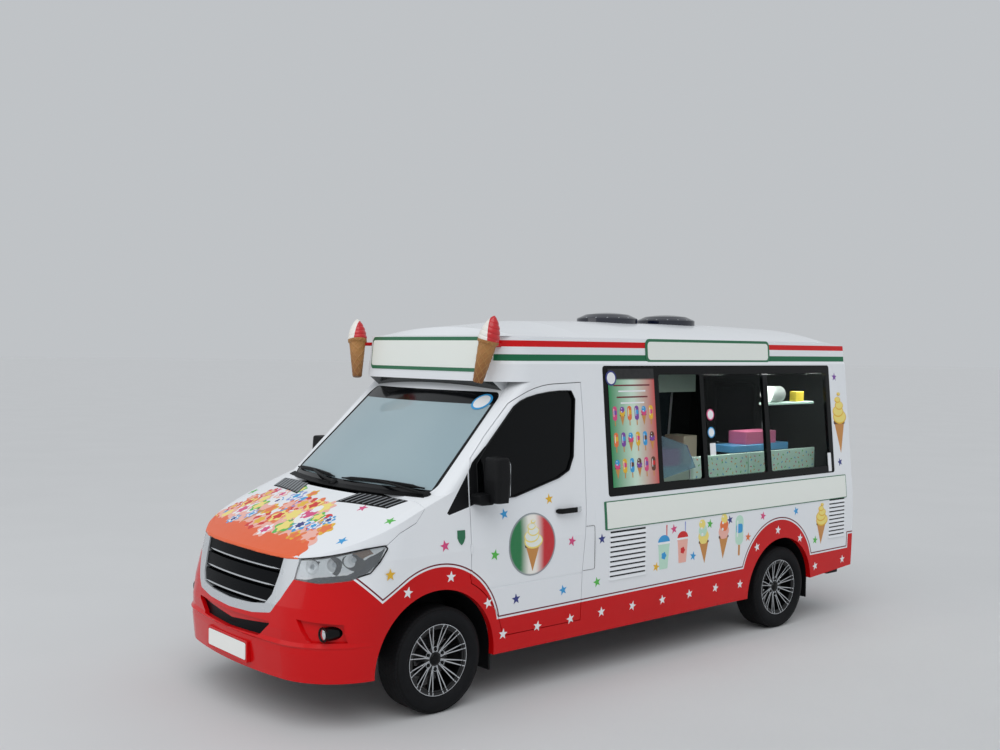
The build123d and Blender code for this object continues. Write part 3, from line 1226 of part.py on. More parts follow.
PIECES = {
    "cab_shell": cab_shell.part, "bonnet": bonnet.part, "front_bumper": front_bumper.part,
    "headlamps": headlamps.part, "grille_surround": grille_surround.part, "grille_slats": grille_slats.part,
    "windscreen": windscreen.part, "door_left": door.part, "door_right": mirrored(door.part),
    "door_glass_left": door_glass.part, "door_glass_right": mirrored(door_glass.part),
    "mirror_left": mirror_head.part, "mirror_right": mirrored(mirror_head.part),
    "side_wall_left": side_wall_left.part, "side_wall_right": side_wall_right.part,
    "window_frame": window_frame.part, "saloon_glass": saloon_glass.part, "rear_wall": rear_wall.part,
    "rear_door": rear_door.part, "rear_door_glass": rear_door_glass.part, "tail_lamps": tail_lamps.part,
    "roof": roof.part, "sign_box": sign_box.part, "roof_lights": roof_lights.part, "roof_cones": roof_cones.part,
    "floor": floor.part, "chassis": chassis.part, "engine": engine.part, "arch_liners": arch_liners.part,
    "front_axle": front_axle.part, "rear_axle": rear_axle.part, "knuckle_left": make_knuckle(1),
    "knuckle_right": make_knuckle(-1), "dashboard": dashboard.part, "seats": seats.part,
    "counter": counter.part, "cabinets": cabinets.part,
    "lamp_lenses": lamp_lenses.part, "fog_lamps": fog_lamps.part, "quarter_trims": quarter_trims.part,
    "under_fittings": under_fittings.part, "rear_bumper": rear_bumper.part,
}
for corner, hand, axle in (
    ("front_left", 1, FRONT_AXLE), ("front_right", -1, FRONT_AXLE),
    ("rear_left", 1, REAR_AXLE), ("rear_right", -1, REAR_AXLE),
):
    PIECES[f"tyre_{corner}"] = make_tyre(hand, axle)
    PIECES[f"rim_{corner}"] = make_rim(hand, axle)

for name, piece in PIECES.items():
    save(piece, name)
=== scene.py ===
"""Dresses the packed ice cream truck: paint, glass, lamps, trim, wheels, cabin and printed panels."""

import logging
import math
from dataclasses import dataclass
from enum import Enum
from typing import Callable, Optional, Sequence, Union

import bpy
import numpy as np
from mathutils import Matrix, Vector


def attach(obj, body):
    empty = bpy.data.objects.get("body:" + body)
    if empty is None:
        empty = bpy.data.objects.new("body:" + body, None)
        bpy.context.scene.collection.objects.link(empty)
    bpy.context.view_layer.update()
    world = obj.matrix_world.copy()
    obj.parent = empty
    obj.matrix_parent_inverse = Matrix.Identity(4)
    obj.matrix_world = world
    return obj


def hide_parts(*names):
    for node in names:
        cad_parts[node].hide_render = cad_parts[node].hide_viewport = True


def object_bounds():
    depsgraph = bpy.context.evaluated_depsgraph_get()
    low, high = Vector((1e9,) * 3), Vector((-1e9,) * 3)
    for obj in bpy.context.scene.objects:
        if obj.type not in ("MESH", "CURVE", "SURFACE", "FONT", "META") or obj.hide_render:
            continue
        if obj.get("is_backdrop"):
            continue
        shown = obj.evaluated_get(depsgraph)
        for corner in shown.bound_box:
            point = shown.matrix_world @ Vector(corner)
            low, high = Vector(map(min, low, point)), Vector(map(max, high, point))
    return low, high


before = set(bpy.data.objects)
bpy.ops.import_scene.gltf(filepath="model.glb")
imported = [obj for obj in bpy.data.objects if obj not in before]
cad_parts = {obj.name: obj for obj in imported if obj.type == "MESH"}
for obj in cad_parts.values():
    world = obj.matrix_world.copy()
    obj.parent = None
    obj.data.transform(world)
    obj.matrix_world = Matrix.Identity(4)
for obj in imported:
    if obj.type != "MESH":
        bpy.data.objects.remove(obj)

LOG = logging.getLogger("truck")
Array = np.ndarray
# Takes two coordinates and the lift of points on a surface, and gives their three coordinates.
Place = Callable[[Array, Array, Array], Array]

FRONT_AXLE = -1.860
REAR_AXLE = 1.805
AXLE_Z = 0.345
TRACK = 0.866
SHIFT = (0.0, FRONT_AXLE, 0.0)
SIDES = ((1, "left"), (-1, "right"))
SINK = 0.002


def station(distance: Union[float, Array]) -> Union[float, Array]:
    """Y in metres of a point this many metres behind the front axle."""
    return FRONT_AXLE + distance


def colour(code: str) -> tuple[float, float, float, float]:
    """Turns a six-digit sRGB code into a linear colour.

    Args:
        code: Red, green and blue as two hexadecimal digits each.

    Returns:
        Linear red, green, blue and an alpha of one.
    """
    parts = np.array([int(code[i:i + 2], 16) for i in (0, 2, 4)]) / 255
    linear = np.where(parts <= 0.04045, parts / 12.92, ((parts + 0.055) / 1.055) ** 2.4)
    return (*[float(v) for v in linear], 1.0)


def tints(*codes: str) -> list[Array]:
    """Several codes as arrays of linear light."""
    return [np.array(colour(code)) for code in codes]


class Ink(Enum):
    """Colours of the paint and the printed motifs."""

    WHITE = "EEF0F2"
    RED = "D2090F"
    DARK_RED = "6E1220"
    GREEN = "1B6B47"
    BLUE = "2E9BD8"
    NAVY = "2C3580"
    YELLOW = "E7B524"
    ORANGE = "E8743A"
    FLAME = "E8602A"
    PINK = "D8447E"
    PALE_PINK = "F0B4A6"
    LEAF = "54B948"
    PURPLE = "7B3FA0"
    CREAM = "ECF0EA"
    WAFER = "C98A45"
    BROWN = "5B3320"
    MINT = "BFE3CF"
    BLACK = "101114"
    LILAC = "8E9BD6"
    LEMON = "F2DE7A"

    @property
    def linear(self) -> tuple[float, float, float, float]:
        """The colour in linear light."""
        return colour(self.value)


class Socket:
    """A node's output that takes part in arithmetic; each operation adds a Math node."""

    def __init__(self, tree: "Tree", out: bpy.types.NodeSocket) -> None:
        """Keeps the tree that the output belongs to."""
        self.tree = tree
        self.out = out

    def _math(self, operation: str, *values: "Number") -> "Socket":
        """Adds a Math node of one operation on these values."""
        node = self.tree.node("ShaderNodeMath", {"operation": operation}, dict(enumerate(values)))
        return Socket(self.tree, node.outputs[0])

    def __add__(self, other: "Number") -> "Socket":
        """The sum."""
        return self._math("ADD", self, other)

    __radd__ = __add__

    def __sub__(self, other: "Number") -> "Socket":
        """The difference."""
        return self._math("SUBTRACT", self, other)

    def __rsub__(self, other: "Number") -> "Socket":
        """The difference, this one taken away."""
        return self._math("SUBTRACT", other, self)

    def __mul__(self, other: "Number") -> "Socket":
        """The product."""
        return self._math("MULTIPLY", self, other)

    __rmul__ = __mul__

    def __truediv__(self, other: "Number") -> "Socket":
        """The quotient."""
        return self._math("DIVIDE", self, other)

    def __neg__(self) -> "Socket":
        """The negative."""
        return self._math("MULTIPLY", self, -1.0)

    def __pow__(self, other: "Number") -> "Socket":
        """The power."""
        return self._math("POWER", self, other)

    def __abs__(self) -> "Socket":
        """The absolute value."""
        return self._math("ABSOLUTE", self)

    def __gt__(self, other: "Number") -> "Socket":
        """One where this is greater, else zero."""
        return self._math("GREATER_THAN", self, other)

    def __lt__(self, other: "Number") -> "Socket":
        """One where this is less, else zero."""
        return self._math("LESS_THAN", self, other)

    def top(self, other: "Number") -> "Socket":
        """The greater of the two."""
        return self._math("MAXIMUM", self, other)

    def low(self, other: "Number") -> "Socket":
        """The lesser of the two."""
        return self._math("MINIMUM", self, other)

    def sine(self) -> "Socket":
        """The sine."""
        return self._math("SINE", self)

    def modulo(self, other: "Number") -> "Socket":
        """The remainder, never negative."""
        return self._math("FLOORED_MODULO", self, other)

    def angle(self, other: "Number") -> "Socket":
        """The angle whose tangent is this over the other."""
        return self._math("ARCTAN2", self, other)

    def step(self, edge: float, blur: float) -> "Socket":
        """Rises from zero to one across an edge, over a width of twice the blur."""
        return ((self - edge) / (2 * blur) + 0.5).top(0.0).low(1.0)


Number = Union[Socket, float]


class Tree:
    """A material's node tree, and the one way to add nodes to it."""

    def __init__(self, name: str) -> None:
        """Makes an empty material.

        Args:
            name: The material's name.
        """
        self.material = bpy.data.materials.new(name)
        self.material.use_nodes = True
        self.graph = self.material.node_tree
        self.graph.nodes.clear()
        self._coords: Optional[bpy.types.Node] = None

    def node(
        self, kind: str, settings: Optional[dict] = None, sockets: Optional[dict] = None
    ) -> bpy.types.Node:
        """Adds one node.

        Args:
            kind: The node's type.
            settings: Its settings, set first; "stops" gives a ramp's positions and colours.
            sockets: Values or links of its inputs, by name or number.

        Returns:
            The node.
        """
        made = self.graph.nodes.new(kind)
        for key, value in (settings or {}).items():
            if key == "stops":
                ramp = made.color_ramp
                while len(ramp.elements) < len(value):
                    ramp.elements.new(1.0)
                for element, (at, tint) in zip(ramp.elements, value):
                    element.position = at
                    element.color = tint
            else:
                setattr(made, key, value)
        for key, value in (sockets or {}).items():
            if isinstance(value, Socket):
                self.graph.links.new(value.out, made.inputs[key])
            else:
                made.inputs[key].default_value = value
        return made

    def out(self, kind: str, output: Union[str, int], settings: Optional[dict] = None,
            sockets: Optional[dict] = None) -> Socket:
        """Adds a node and returns one of its outputs."""
        return Socket(self, self.node(kind, settings, sockets).outputs[output])

    def coords(self) -> Socket:
        """Object coordinates, which are the truck's own metres.

        Returns:
            The coordinates' socket.
        """
        if self._coords is None:
            self._coords = self.node("ShaderNodeTexCoord")
        return Socket(self, self._coords.outputs["Object"])

    def normal(self) -> list[Socket]:
        """X, Y and Z of the surface normal in object space.

        Returns:
            One socket for each axis.
        """
        self.coords()
        facing = Socket(self, self._coords.outputs["Normal"])
        split = self.node("ShaderNodeSeparateXYZ", None, {0: facing})
        return [Socket(self, out) for out in split.outputs]

    def xyz(self) -> list[Socket]:
        """X, Y and Z of the object coordinates."""
        split = self.node("ShaderNodeSeparateXYZ", None, {0: self.coords()})
        return [Socket(self, out) for out in split.outputs]

    def mix(self, mask: Number, first: Union[Socket, tuple], second: Union[Socket, tuple]) -> Socket:
        """Goes from the first colour to the second as the mask rises."""
        return self.out("ShaderNodeMix", 2, {"data_type": "RGBA"}, {0: mask, 6: first, 7: second})

    def noise(self, scale: float, detail: float = 3.0, stretch: Optional[tuple] = None) -> Socket:
        """Smooth noise about one half.

        Args:
            scale: Features per metre.
            detail: Layers of finer noise.
            stretch: Scale of each axis, for grain that runs one way.

        Returns:
            The noise's value.
        """
        at = self.coords()
        if stretch:
            at = self.out("ShaderNodeMapping", 0, None, {"Vector": at, "Scale": stretch})
        return self.out("ShaderNodeTexNoise", 0, None, {"Vector": at, "Scale": scale, "Detail": detail})

    def ring(self, radius: Socket, low: float, high: float, blur: float) -> Socket:
        """One between two radii, else zero."""
        return radius.step(low, blur) * (1.0 - radius.step(high, blur))

    def bump(self, height: Socket, distance: float, strength: float = 1.0) -> Socket:
        """A normal from a height between zero and one, over a real distance in metres."""
        sockets = {"Height": height, "Distance": distance, "Strength": strength}
        return self.out("ShaderNodeBump", 0, None, sockets)

    def surface(self, base: Union[Socket, tuple], rough: Number = 0.5, **more: Number) -> bpy.types.Material:
        """Ends the tree in one shader.

        Args:
            base: Base colour.
            rough: Roughness.
            more: Other sockets by name, with _ for a space.

        Returns:
            The finished material.
        """
        sockets = {"Base Color": base, "Roughness": rough}
        sockets.update({key.replace("_", " "): value for key, value in more.items()})
        shader = self.out("ShaderNodeBsdfPrincipled", 0, None, sockets)
        self.node("ShaderNodeOutputMaterial", None, {0: shader})
        return self.material


@dataclass(frozen=True)
class Plain:
    """A finish of one colour with fine variation in tone, gloss and height.

    Grain is the size of its texture in features per metre, and relief its depth in metres.
    """

    name: str
    code: str
    rough: float
    metallic: float = 0.0
    coat: float = 0.0
    grain: float = 400.0
    relief: float = 0.0
    vary: float = 0.06
    gloss_vary: float = 0.08
    shine: float = 0.5

    def make(self) -> bpy.types.Material:
        """Builds the material.

        Returns:
            The material.
        """
        tree = Tree(self.name)
        tone = tree.noise(2.4, 4.0)
        base = colour(self.code)
        dark = tuple(v * (1 - self.vary) for v in base[:3]) + (1.0,)
        fine = tree.noise(self.grain, 2.0)
        rough = tree.noise(9.0) * self.gloss_vary + (self.rough - self.gloss_vary / 2)
        more = {"Metallic": self.metallic, "Specular_IOR_Level": self.shine}
        if self.coat:
            more.update(Coat_Weight=self.coat, Coat_Roughness=0.04)
        if self.relief:
            more["Normal"] = tree.bump(fine, self.relief)
        return tree.surface(tree.mix(tone, dark, base), rough, **more)


@dataclass(frozen=True)
class Glass:
    """Glass or a clear lens: how much light passes, its tint, and dust that dulls it slightly."""

    name: str
    code: str
    clear: float
    rough: float = 0.02
    index: float = 1.45
    off_side: str = ""

    def make(self) -> bpy.types.Material:
        """Builds the material; the off side, where X is negative, may have a tint of its own.

        Returns:
            The material.
        """
        tree = Tree(self.name)
        dust = tree.noise(6.0, 5.0) * 0.02 + self.rough
        base = colour(self.code)
        pale = tuple(min(1.0, v * 1.04 + 0.002) for v in base[:3]) + (1.0,)
        tint = tree.mix(tree.noise(1.2), base, pale)
        if self.off_side:
            tint = tree.mix(tree.xyz()[0] < 0.0, tint, colour(self.off_side))
        return tree.surface(tint, dust, Transmission_Weight=self.clear, IOR=self.index)


@dataclass(frozen=True)
class Livery:
    """Gloss body paint: white over red, parted by a dark and a white line, with stripes at the roof's edge.

    The red lies below the sill line, round both wheel arches and on the nose. All lengths are metres;
    a station is a distance behind the front axle. Faces turned inwards, undersides high up and the rear's
    inner faces are painted near black as painted shade.
    """

    name: str = "gloss_livery"
    front_arch: tuple[float, float, float] = (-0.033, 0.455, 0.527)
    rear_arch: tuple[float, float, float] = (3.605, 0.445, 0.513)
    sill: tuple[float, float] = (0.568, 0.0084)
    notch: tuple[float, float] = (-0.455, 0.803)
    slope: tuple[float, float] = (0.683, 0.731)
    rise: tuple[float, float, float] = (-0.471, 0.809, -0.280)
    rise_slope: tuple[float, float] = (0.506, 0.862)
    tail: tuple[float, float] = (4.635, 0.735)
    dark_line: float = 0.010
    white_line: float = 0.023
    red_stripe: tuple[float, float] = (2.383, 2.427)
    green_stripe: tuple[float, float] = (2.284, 2.330)
    # Painted shade: the height, height of undersides and station past which inner faces are painted near
    # black, and that colour.
    inner_shade_height: float = 0.70
    rear_shade_station: float = 4.60
    underside_shade_height: float = 1.9
    inner_shade_code: str = "1E2121"
    edge: float = 0.0006
    stripes: bool = False
    plain: bool = False

    def _red_depth(self, tree: Tree) -> Socket:
        """Metres inside the red area, negative outside: the greatest of its parts' depths.

        Args:
            tree: The material's nodes.

        Returns:
            The depth's socket.
        """
        _, y, z = tree.xyz()
        s = y - FRONT_AXLE
        deep = s * self.sill[1] + self.sill[0] - z
        for at, high, radius in (self.front_arch, self.rear_arch):
            away = ((s - at) * (s - at) + (z - high) * (z - high)) ** 0.5
            deep = deep.top(radius - away)
        nose = (self.notch[0] - s) * self.slope[0] + (self.notch[1] - z) * self.slope[1]
        leg = (s - self.rise[0]) * self.rise_slope[0] + (self.rise[1] - z) * self.rise_slope[1]
        corner = (s - self.tail[0]).low(self.tail[1] - z)
        return deep.top(nose).top(leg.low((self.rise[2] - s) * 4.0)).top(corner)

    def make(self) -> bpy.types.Material:
        """Builds the material.

        Returns:
            The material.
        """
        tree = Tree(self.name)
        white = tree.mix(tree.noise(1.6, 4.0), Ink.WHITE.linear, colour("E6EAEF"))
        base = white
        x, y, z = tree.xyz()
        facing = tree.normal()
        if not self.plain:
            deep = self._red_depth(tree)
            red = tree.mix(tree.noise(1.8, 3.0), Ink.RED.linear, colour("C4060B"))
            for depth, ink in ((0.0, Ink.DARK_RED.linear), (self.dark_line, white), (self.white_line, red)):
                base = tree.mix(deep.step(depth, self.edge), base, ink)
        if self.stripes:
            flank = abs(facing[0]).step(0.55, 0.02)
            for low, high, ink in ((*self.red_stripe, Ink.RED), (*self.green_stripe, Ink.GREEN)):
                base = tree.mix(tree.ring(z, low, high, self.edge) * flank, base, ink.linear)
        # Painted shade: faces turned inwards above a height, undersides high up and the rear's inner faces
        # are painted near black.
        under = (-facing[2]).step(0.6, 0.05) * (z > self.underside_shade_height)
        inner = (-(facing[0] * x)).step(0.3, 0.02).top(under)
        rear = (-facing[1]).step(0.6, 0.05) * (y > self.rear_shade_station + FRONT_AXLE)
        inner = inner.top(rear) * (z > self.inner_shade_height)
        base = tree.mix(inner, base, colour(self.inner_shade_code))
        rough = tree.noise(3.0) * 0.06 + 0.20
        ripple = tree.bump(tree.noise(260.0, 2.0), 0.00006)
        return tree.surface(
            base, rough, Coat_Weight=0.18, Coat_Roughness=0.03, Specular_IOR_Level=0.18, Normal=ripple
        )


@dataclass(frozen=True)
class Tyre:
    """Black rubber with tread blocks round the crown and fine rings on the sidewall."""

    name: str
    axle: float
    tread_radius: float = 0.327
    blocks: float = 74.0
    rows: float = 28.0
    sidewall: tuple[float, float] = (0.245, 0.308)

    def make(self) -> bpy.types.Material:
        """Builds the material for the wheels of one axle.

        Returns:
            The material.
        """
        tree = Tree(self.name)
        x, y, z = tree.xyz()
        y, z = y - self.axle, z - AXLE_Z
        radius = (y * y + z * z) ** 0.5
        turn = z.angle(y) * (self.blocks / (2 * math.pi))
        across = (abs(x) - TRACK) * self.rows
        skew = (turn + abs(across) * 0.7).modulo(1.0)
        gap = (abs(skew - 0.5)).step(0.40, 0.03)
        grooves = abs(across.modulo(1.0) - 0.5).step(0.40, 0.03)
        tread = radius.step(self.tread_radius, 0.004)
        rings = (radius * 900.0).sine() * 0.5 + 0.5
        band = tree.ring(radius, *self.sidewall, 0.004)
        height = tread * (1.0 - gap.top(grooves)) + band * rings * 0.06 + (1.0 - tread) * 0.8
        rubber = tree.mix(tree.noise(14.0, 5.0), colour("0C0D0F"), colour("151619"))
        # Painted shade: the grooves and the gaps between tread blocks are painted darker than the rubber.
        base = tree.mix(tread * gap.top(grooves), rubber, colour("0B0B0C"))
        gloss = tree.noise(30.0) * 0.15 + 0.66
        return tree.surface(base, gloss, Specular_IOR_Level=0.2, Normal=tree.bump(height, 0.006, 0.8))


@dataclass(frozen=True)
class Alloy:
    """Black wheel whose paired spokes and outer edge are machined bright.

    The spokes are cut in the solid between the hub and the barrel. Beyond that, and inside the nuts'
    circle, the same pairs go on as bright lines at a fixed distance from the pair's middle.
    """

    name: str
    axle: float
    inner: float = 0.046
    barrel: float = 0.1985
    edge: float = 0.2288
    line_end: float = 0.2330
    rim_end: float = 0.2335
    offset: float = 0.0165
    spoke: float = 0.0034
    pairs: int = 12

    def make(self) -> bpy.types.Material:
        """Builds the material for the wheels of one axle.

        Returns:
            The material.
        """
        tree = Tree(self.name)
        _, y, z = tree.xyz()
        y, z = y - self.axle, z - AXLE_Z
        radius = (y * y + z * z) ** 0.5
        pitch = 2 * math.pi / self.pairs
        turn = (z.angle(y) + pitch).modulo(pitch) - pitch / 2
        across = abs(turn) * radius
        share = ((radius - self.inner) / (self.barrel - self.inner)).top(0.25).low(1.0)
        line = 1.0 - abs(across - share * self.offset).step(self.spoke, 0.0005)
        facing = abs(tree.normal()[0]).step(0.80, 0.04)
        drawn = line * radius.step(self.inner, 0.001) * (1.0 - radius.step(self.line_end, 0.0004))
        ring = tree.ring(radius, self.edge, self.rim_end, 0.0004)
        bright = facing * drawn.top(ring)
        brushed = (radius * 5200.0).sine() * 0.5 + 0.5
        silver = tree.mix(tree.noise(40.0), colour("B9BCC0"), colour("D4D7DA"))
        base = tree.mix(bright, colour("0C0D0F"), silver)
        rough = 0.34 - bright * 0.08 + tree.noise(22.0) * 0.08
        return tree.surface(base, rough, Metallic=bright * 0.6 + 0.05, Normal=tree.bump(brushed, 0.00004))


@dataclass(frozen=True)
class Wafer:
    """Baked wafer with a raised diamond lattice that winds round a slanting axis."""

    name: str = "wafer_shell"
    tip: tuple[float, float, float] = (0.751, 0.475, 2.134)
    tilt: tuple[float, float] = (0.21, 0.135)

    def make(self) -> bpy.types.Material:
        """Builds the material.

        Returns:
            The material.
        """
        tree = Tree(self.name)
        x, y, z = tree.xyz()
        side, back, foot = self.tip
        across = (abs(x) - side) - (z - foot) * self.tilt[0]
        back = y - station(back) - (z - foot) * self.tilt[1]
        turn = back.angle(across) * 3.0
        rise = z * 95.0
        first = abs((turn + rise * 0.5).sine())
        second = abs((turn - rise * 0.5).sine())
        ridge = (1.0 - first.low(second)) ** 5.0
        tone = tree.mix(tree.noise(18.0, 4.0), colour("9C6A35"), colour("B98349"))
        tone = tree.mix((z - 2.13) / 0.22, colour("7C4A20"), tone)
        base = tree.mix(ridge * 0.8, tone, colour("C99758"))
        return tree.surface(base, 0.5, Normal=tree.bump(ridge, 0.004))


@dataclass(frozen=True)
class Swirl:
    """Moulded whip in two halves of colour, red towards the truck's left front, with soft ridges."""

    name: str = "two_colour_whip"
    middle: tuple[float, float] = (0.82, 0.53)

    def make(self) -> bpy.types.Material:
        """Builds the material.

        Returns:
            The material.
        """
        tree = Tree(self.name)
        x, y, z = tree.xyz()
        at, back = self.middle
        side = abs(x) - at
        across = (x - (x > 0.0) * (2 * at) + at) * 0.86 + (y - station(back)) * 0.5
        mask = across.step(0.004, 0.0012)
        tone = tree.mix(tree.noise(30.0, 3.0), colour("F3F1EC"), colour("E7E3DA"))
        red = tree.mix(tree.noise(25.0, 3.0), colour("D41A22"), colour("B8131B"))
        ridge = (z * 190.0 + side * 60.0).sine() * 0.5 + 0.5
        normal = tree.bump(ridge, 0.001, 0.5)
        return tree.surface(tree.mix(mask, tone, red), 0.35, Coat_Weight=0.4, Normal=normal)


@dataclass(frozen=True)
class Cloth:
    """Woven seat cloth: fine warp and weft over a broad fleck."""

    name: str
    code: str
    weave: float = 900.0

    def make(self) -> bpy.types.Material:
        """Builds the material.

        Returns:
            The material.
        """
        tree = Tree(self.name)
        x, y, z = tree.xyz()
        thread = (x * self.weave).sine() * ((y + z) * self.weave).sine() * 0.5 + 0.5
        base = colour(self.code)
        light = tuple(min(1.0, v * 1.9 + 0.01) for v in base[:3]) + (1.0,)
        tone = tree.mix(tree.noise(70.0, 4.0) * 0.6 + thread * 0.3, base, light)
        return tree.surface(tone, 0.88, Normal=tree.bump(thread, 0.0007))


@dataclass(frozen=True)
class Print:
    """Printed vinyl that takes its colour from the piece's own tint attribute."""

    name: str = "printed_vinyl"

    def make(self) -> bpy.types.Material:
        """Builds the material.

        Returns:
            The material.
        """
        tree = Tree(self.name)
        tint = tree.out("ShaderNodeAttribute", 0, {"attribute_name": "tint"})
        worn = tree.mix(tree.noise(35.0, 4.0) * 0.03, tint, (0.8, 0.8, 0.8, 1.0))
        return tree.surface(worn, tree.noise(12.0) * 0.1 + 0.3, Specular_IOR_Level=0.4)


@dataclass(frozen=True)
class Reflector:
    """Bright plated sheet inside the headlamps, tinted by the piece's own attribute."""

    name: str = "lamp_plating"

    def make(self) -> bpy.types.Material:
        """Builds the material.

        Returns:
            The material.
        """
        tree = Tree(self.name)
        tint = tree.out("ShaderNodeAttribute", 0, {"attribute_name": "tint"})
        x, _, z = tree.xyz()
        flutes = (x * 420.0 + z * 90.0).sine() * 0.5 + 0.5
        rough = tree.noise(60.0) * 0.1 + 0.14
        return tree.surface(tint, rough, Metallic=0.15, Normal=tree.bump(flutes, 0.0004))


@dataclass(frozen=True)
class Screen:
    """Windscreen glass with a black printed border and header band; its pale blue-grey colour is a painted
    sky reflection.
    """

    name: str = "windscreen_glass"
    foot: tuple[float, float] = (0.880, 1.404)
    head: tuple[float, float] = (0.778, 2.064)
    border: float = 0.030
    header: float = 0.085
    black: str = "0C0D0F"

    def make(self) -> bpy.types.Material:
        """Builds the material.

        Returns:
            The material.
        """
        tree = Tree(self.name)
        x, _, z = tree.xyz()
        lean = (self.foot[0] - self.head[0]) / (self.head[1] - self.foot[1])
        inside = self.foot[0] - (z - self.foot[1]) * lean - abs(x)
        ring = inside.low(z - self.foot[1]).low(self.head[1] - self.header + self.border - z)
        black = 1.0 - ring.step(self.border, 0.0015)
        # Painted reflection: the glass is coloured pale blue-grey, a painted sky reflection, and lets only
        # some light through.
        sky = tree.mix(tree.noise(0.9, 2.0), colour("A6C0CA"), colour("C3D7DD"))
        base = tree.mix(black, sky, colour(self.black))
        glass = tree.out("ShaderNodeBsdfPrincipled", 0, None, {
            "Base Color": base, "Roughness": 0.03, "Transmission Weight": 0.35, "IOR": 1.4,
        })
        frit = tree.out("ShaderNodeBsdfPrincipled", 0, None, {
            "Base Color": colour(self.black), "Roughness": 0.12, "Specular IOR Level": 0.3,
        })
        both = tree.out("ShaderNodeMixShader", 0, None, {0: black, 1: glass, 2: frit})
        tree.node("ShaderNodeOutputMaterial", None, {0: both})
        return tree.material


class Finishes:
    """All the finishes by name, each made once."""

    TABLE = (
        Livery(),
        Livery(name="gloss_livery_striped", stripes=True, plain=True),
        Livery(name="gloss_white", plain=True),
        Plain("gloss_red", "CE090E", 0.24, coat=0.18, grain=260, relief=0.00006, shine=0.2),
        Plain("black_plastic", "0E0F11", 0.55, grain=1400, relief=0.0004, shine=0.2),
        Plain("black_gloss", "060708", 0.16, vary=0.02, shine=0.2),
        Plain("black_steel", "141517", 0.5, grain=300, relief=0.0006, vary=0.3),
        Plain("cast_metal", "4A4B4D", 0.6, metallic=0.6, grain=180, relief=0.0015, vary=0.25),
        Plain("silver_trim", "C6CACE", 0.28, metallic=0.35, coat=0.5),
        Plain("chrome", "DFE2E5", 0.08, metallic=1.0, vary=0.03, gloss_vary=0.03),
        Plain("lamp_grey", "4A4D50", 0.4, metallic=0.3, grain=60, relief=0.0004),
        Plain("red_lens", "A50E14", 0.15, coat=0.8, vary=0.15),
        Plain("slat_black", "030509", 0.34, grain=900, relief=0.0002, shine=0.06),
        Plain("rubber", "0B0B0C", 0.75, grain=600, relief=0.0003, shine=0.2),
        Plain("mint_upstand", "D9EFE4", 0.45, grain=140, relief=0.0002),
        Plain("mint_laminate", "B4CBBE", 0.45, grain=140, relief=0.0002),
        Plain("steel_top", "AEB2B5", 0.28, metallic=0.9, grain=500, relief=0.0001),
        Plain("floor_mat", "3A3C3E", 0.75, grain=240, relief=0.0012),
        Plain("navy_dome", "0A1024", 0.06, vary=0.1, gloss_vary=0.03, shine=0.9),
        Plain("plate_white", "F1F2EE", 0.4, grain=900, relief=0.00005),
        Plain("plate_yellow", "EFC32B", 0.4, grain=900, relief=0.00005),
        Plain("mesh_grey", "83878B", 0.5, grain=700, relief=0.001),
        Plain("tray_blue", "5FA3D6", 0.4, coat=0.3, grain=300, relief=0.0001),
        Plain("carton_yellow", "E9C53A", 0.5, grain=300, relief=0.0001),
        Plain("carton_pink", "DB6E93", 0.6, grain=300, relief=0.0001),
        Plain("carton_cream", "DDD6BE", 0.65, grain=300, relief=0.0001),
        Plain("paper_roll", "F2F2EF", 0.85, grain=900, relief=0.0006),
        Glass("clear_lens", "F4F7F9", 0.96),
        Glass("dark_glass", "0A0D10", 0.55, index=1.25),
        Glass("saloon_glass", "DCE6E2", 1.0, 0.0, 1.12, "14191B"),
        Glass("acrylic", "8FB6C9", 0.9, 0.1, 1.2),
        Tyre("tyre_front", FRONT_AXLE),
        Tyre("tyre_rear", REAR_AXLE),
        Alloy("alloy_front", FRONT_AXLE),
        Alloy("alloy_rear", REAR_AXLE),
        Wafer(),
        Swirl(),
        Screen(),
        Reflector(),
        Cloth("seat_cloth", "1B1C20"),
        Print(),
    )

    def __init__(self) -> None:
        """Starts with none made."""
        self.recipes = {recipe.name: recipe for recipe in self.TABLE}
        self.made: dict[str, bpy.types.Material] = {}

    def __getitem__(self, name: str) -> bpy.types.Material:
        """The material of that name.

        Args:
            name: The finish's name.

        Returns:
            The material.
        """
        if name not in self.made:
            self.made[name] = self.recipes[name].make()
        return self.made[name]


# Half-width and height of the body's lines, in metres.
HIP = (1.005, 0.950)
WAIST = (0.990, 1.215)
EAVE = (0.895, 2.262)
BAND = (0.880, 2.285)
BAND_TOP = (0.868, 2.455)
SILL_DROP = 0.640
SILL_TUCK = 0.020


def body_side(z: Array) -> Array:
    """Half-width of the body at heights z: a parabola each side of the hip, then a straight lean inwards.

    Args:
        z: Heights in metres.

    Returns:
        The half-width at each.
    """
    low = HIP[0] - SILL_TUCK * ((HIP[1] - z) / SILL_DROP) ** 2
    belt = HIP[0] - (HIP[0] - WAIST[0]) * ((z - HIP[1]) / (WAIST[1] - HIP[1])) ** 2
    high = WAIST[0] - (WAIST[0] - EAVE[0]) * (z - WAIST[1]) / (EAVE[1] - WAIST[1])
    band = BAND[0] - (BAND[0] - BAND_TOP[0]) * (z - BAND[1]) / (BAND_TOP[1] - BAND[1])
    return np.select([z < HIP[1], z < WAIST[1], z < EAVE[1]], [low, belt, high], band)


def on_side(hand: float = 1.0) -> Place:
    """Places (station, height, lift) on the body side, lift being outwards.

    Args:
        hand: One for the left side, minus one for the right.

    Returns:
        The rule that places points.
    """

    def place(u: Array, v: Array, w: Array) -> Array:
        """X is the body's half-width plus the lift."""
        return np.stack([hand * (body_side(v) + w), FRONT_AXLE + u, v], -1)

    return place


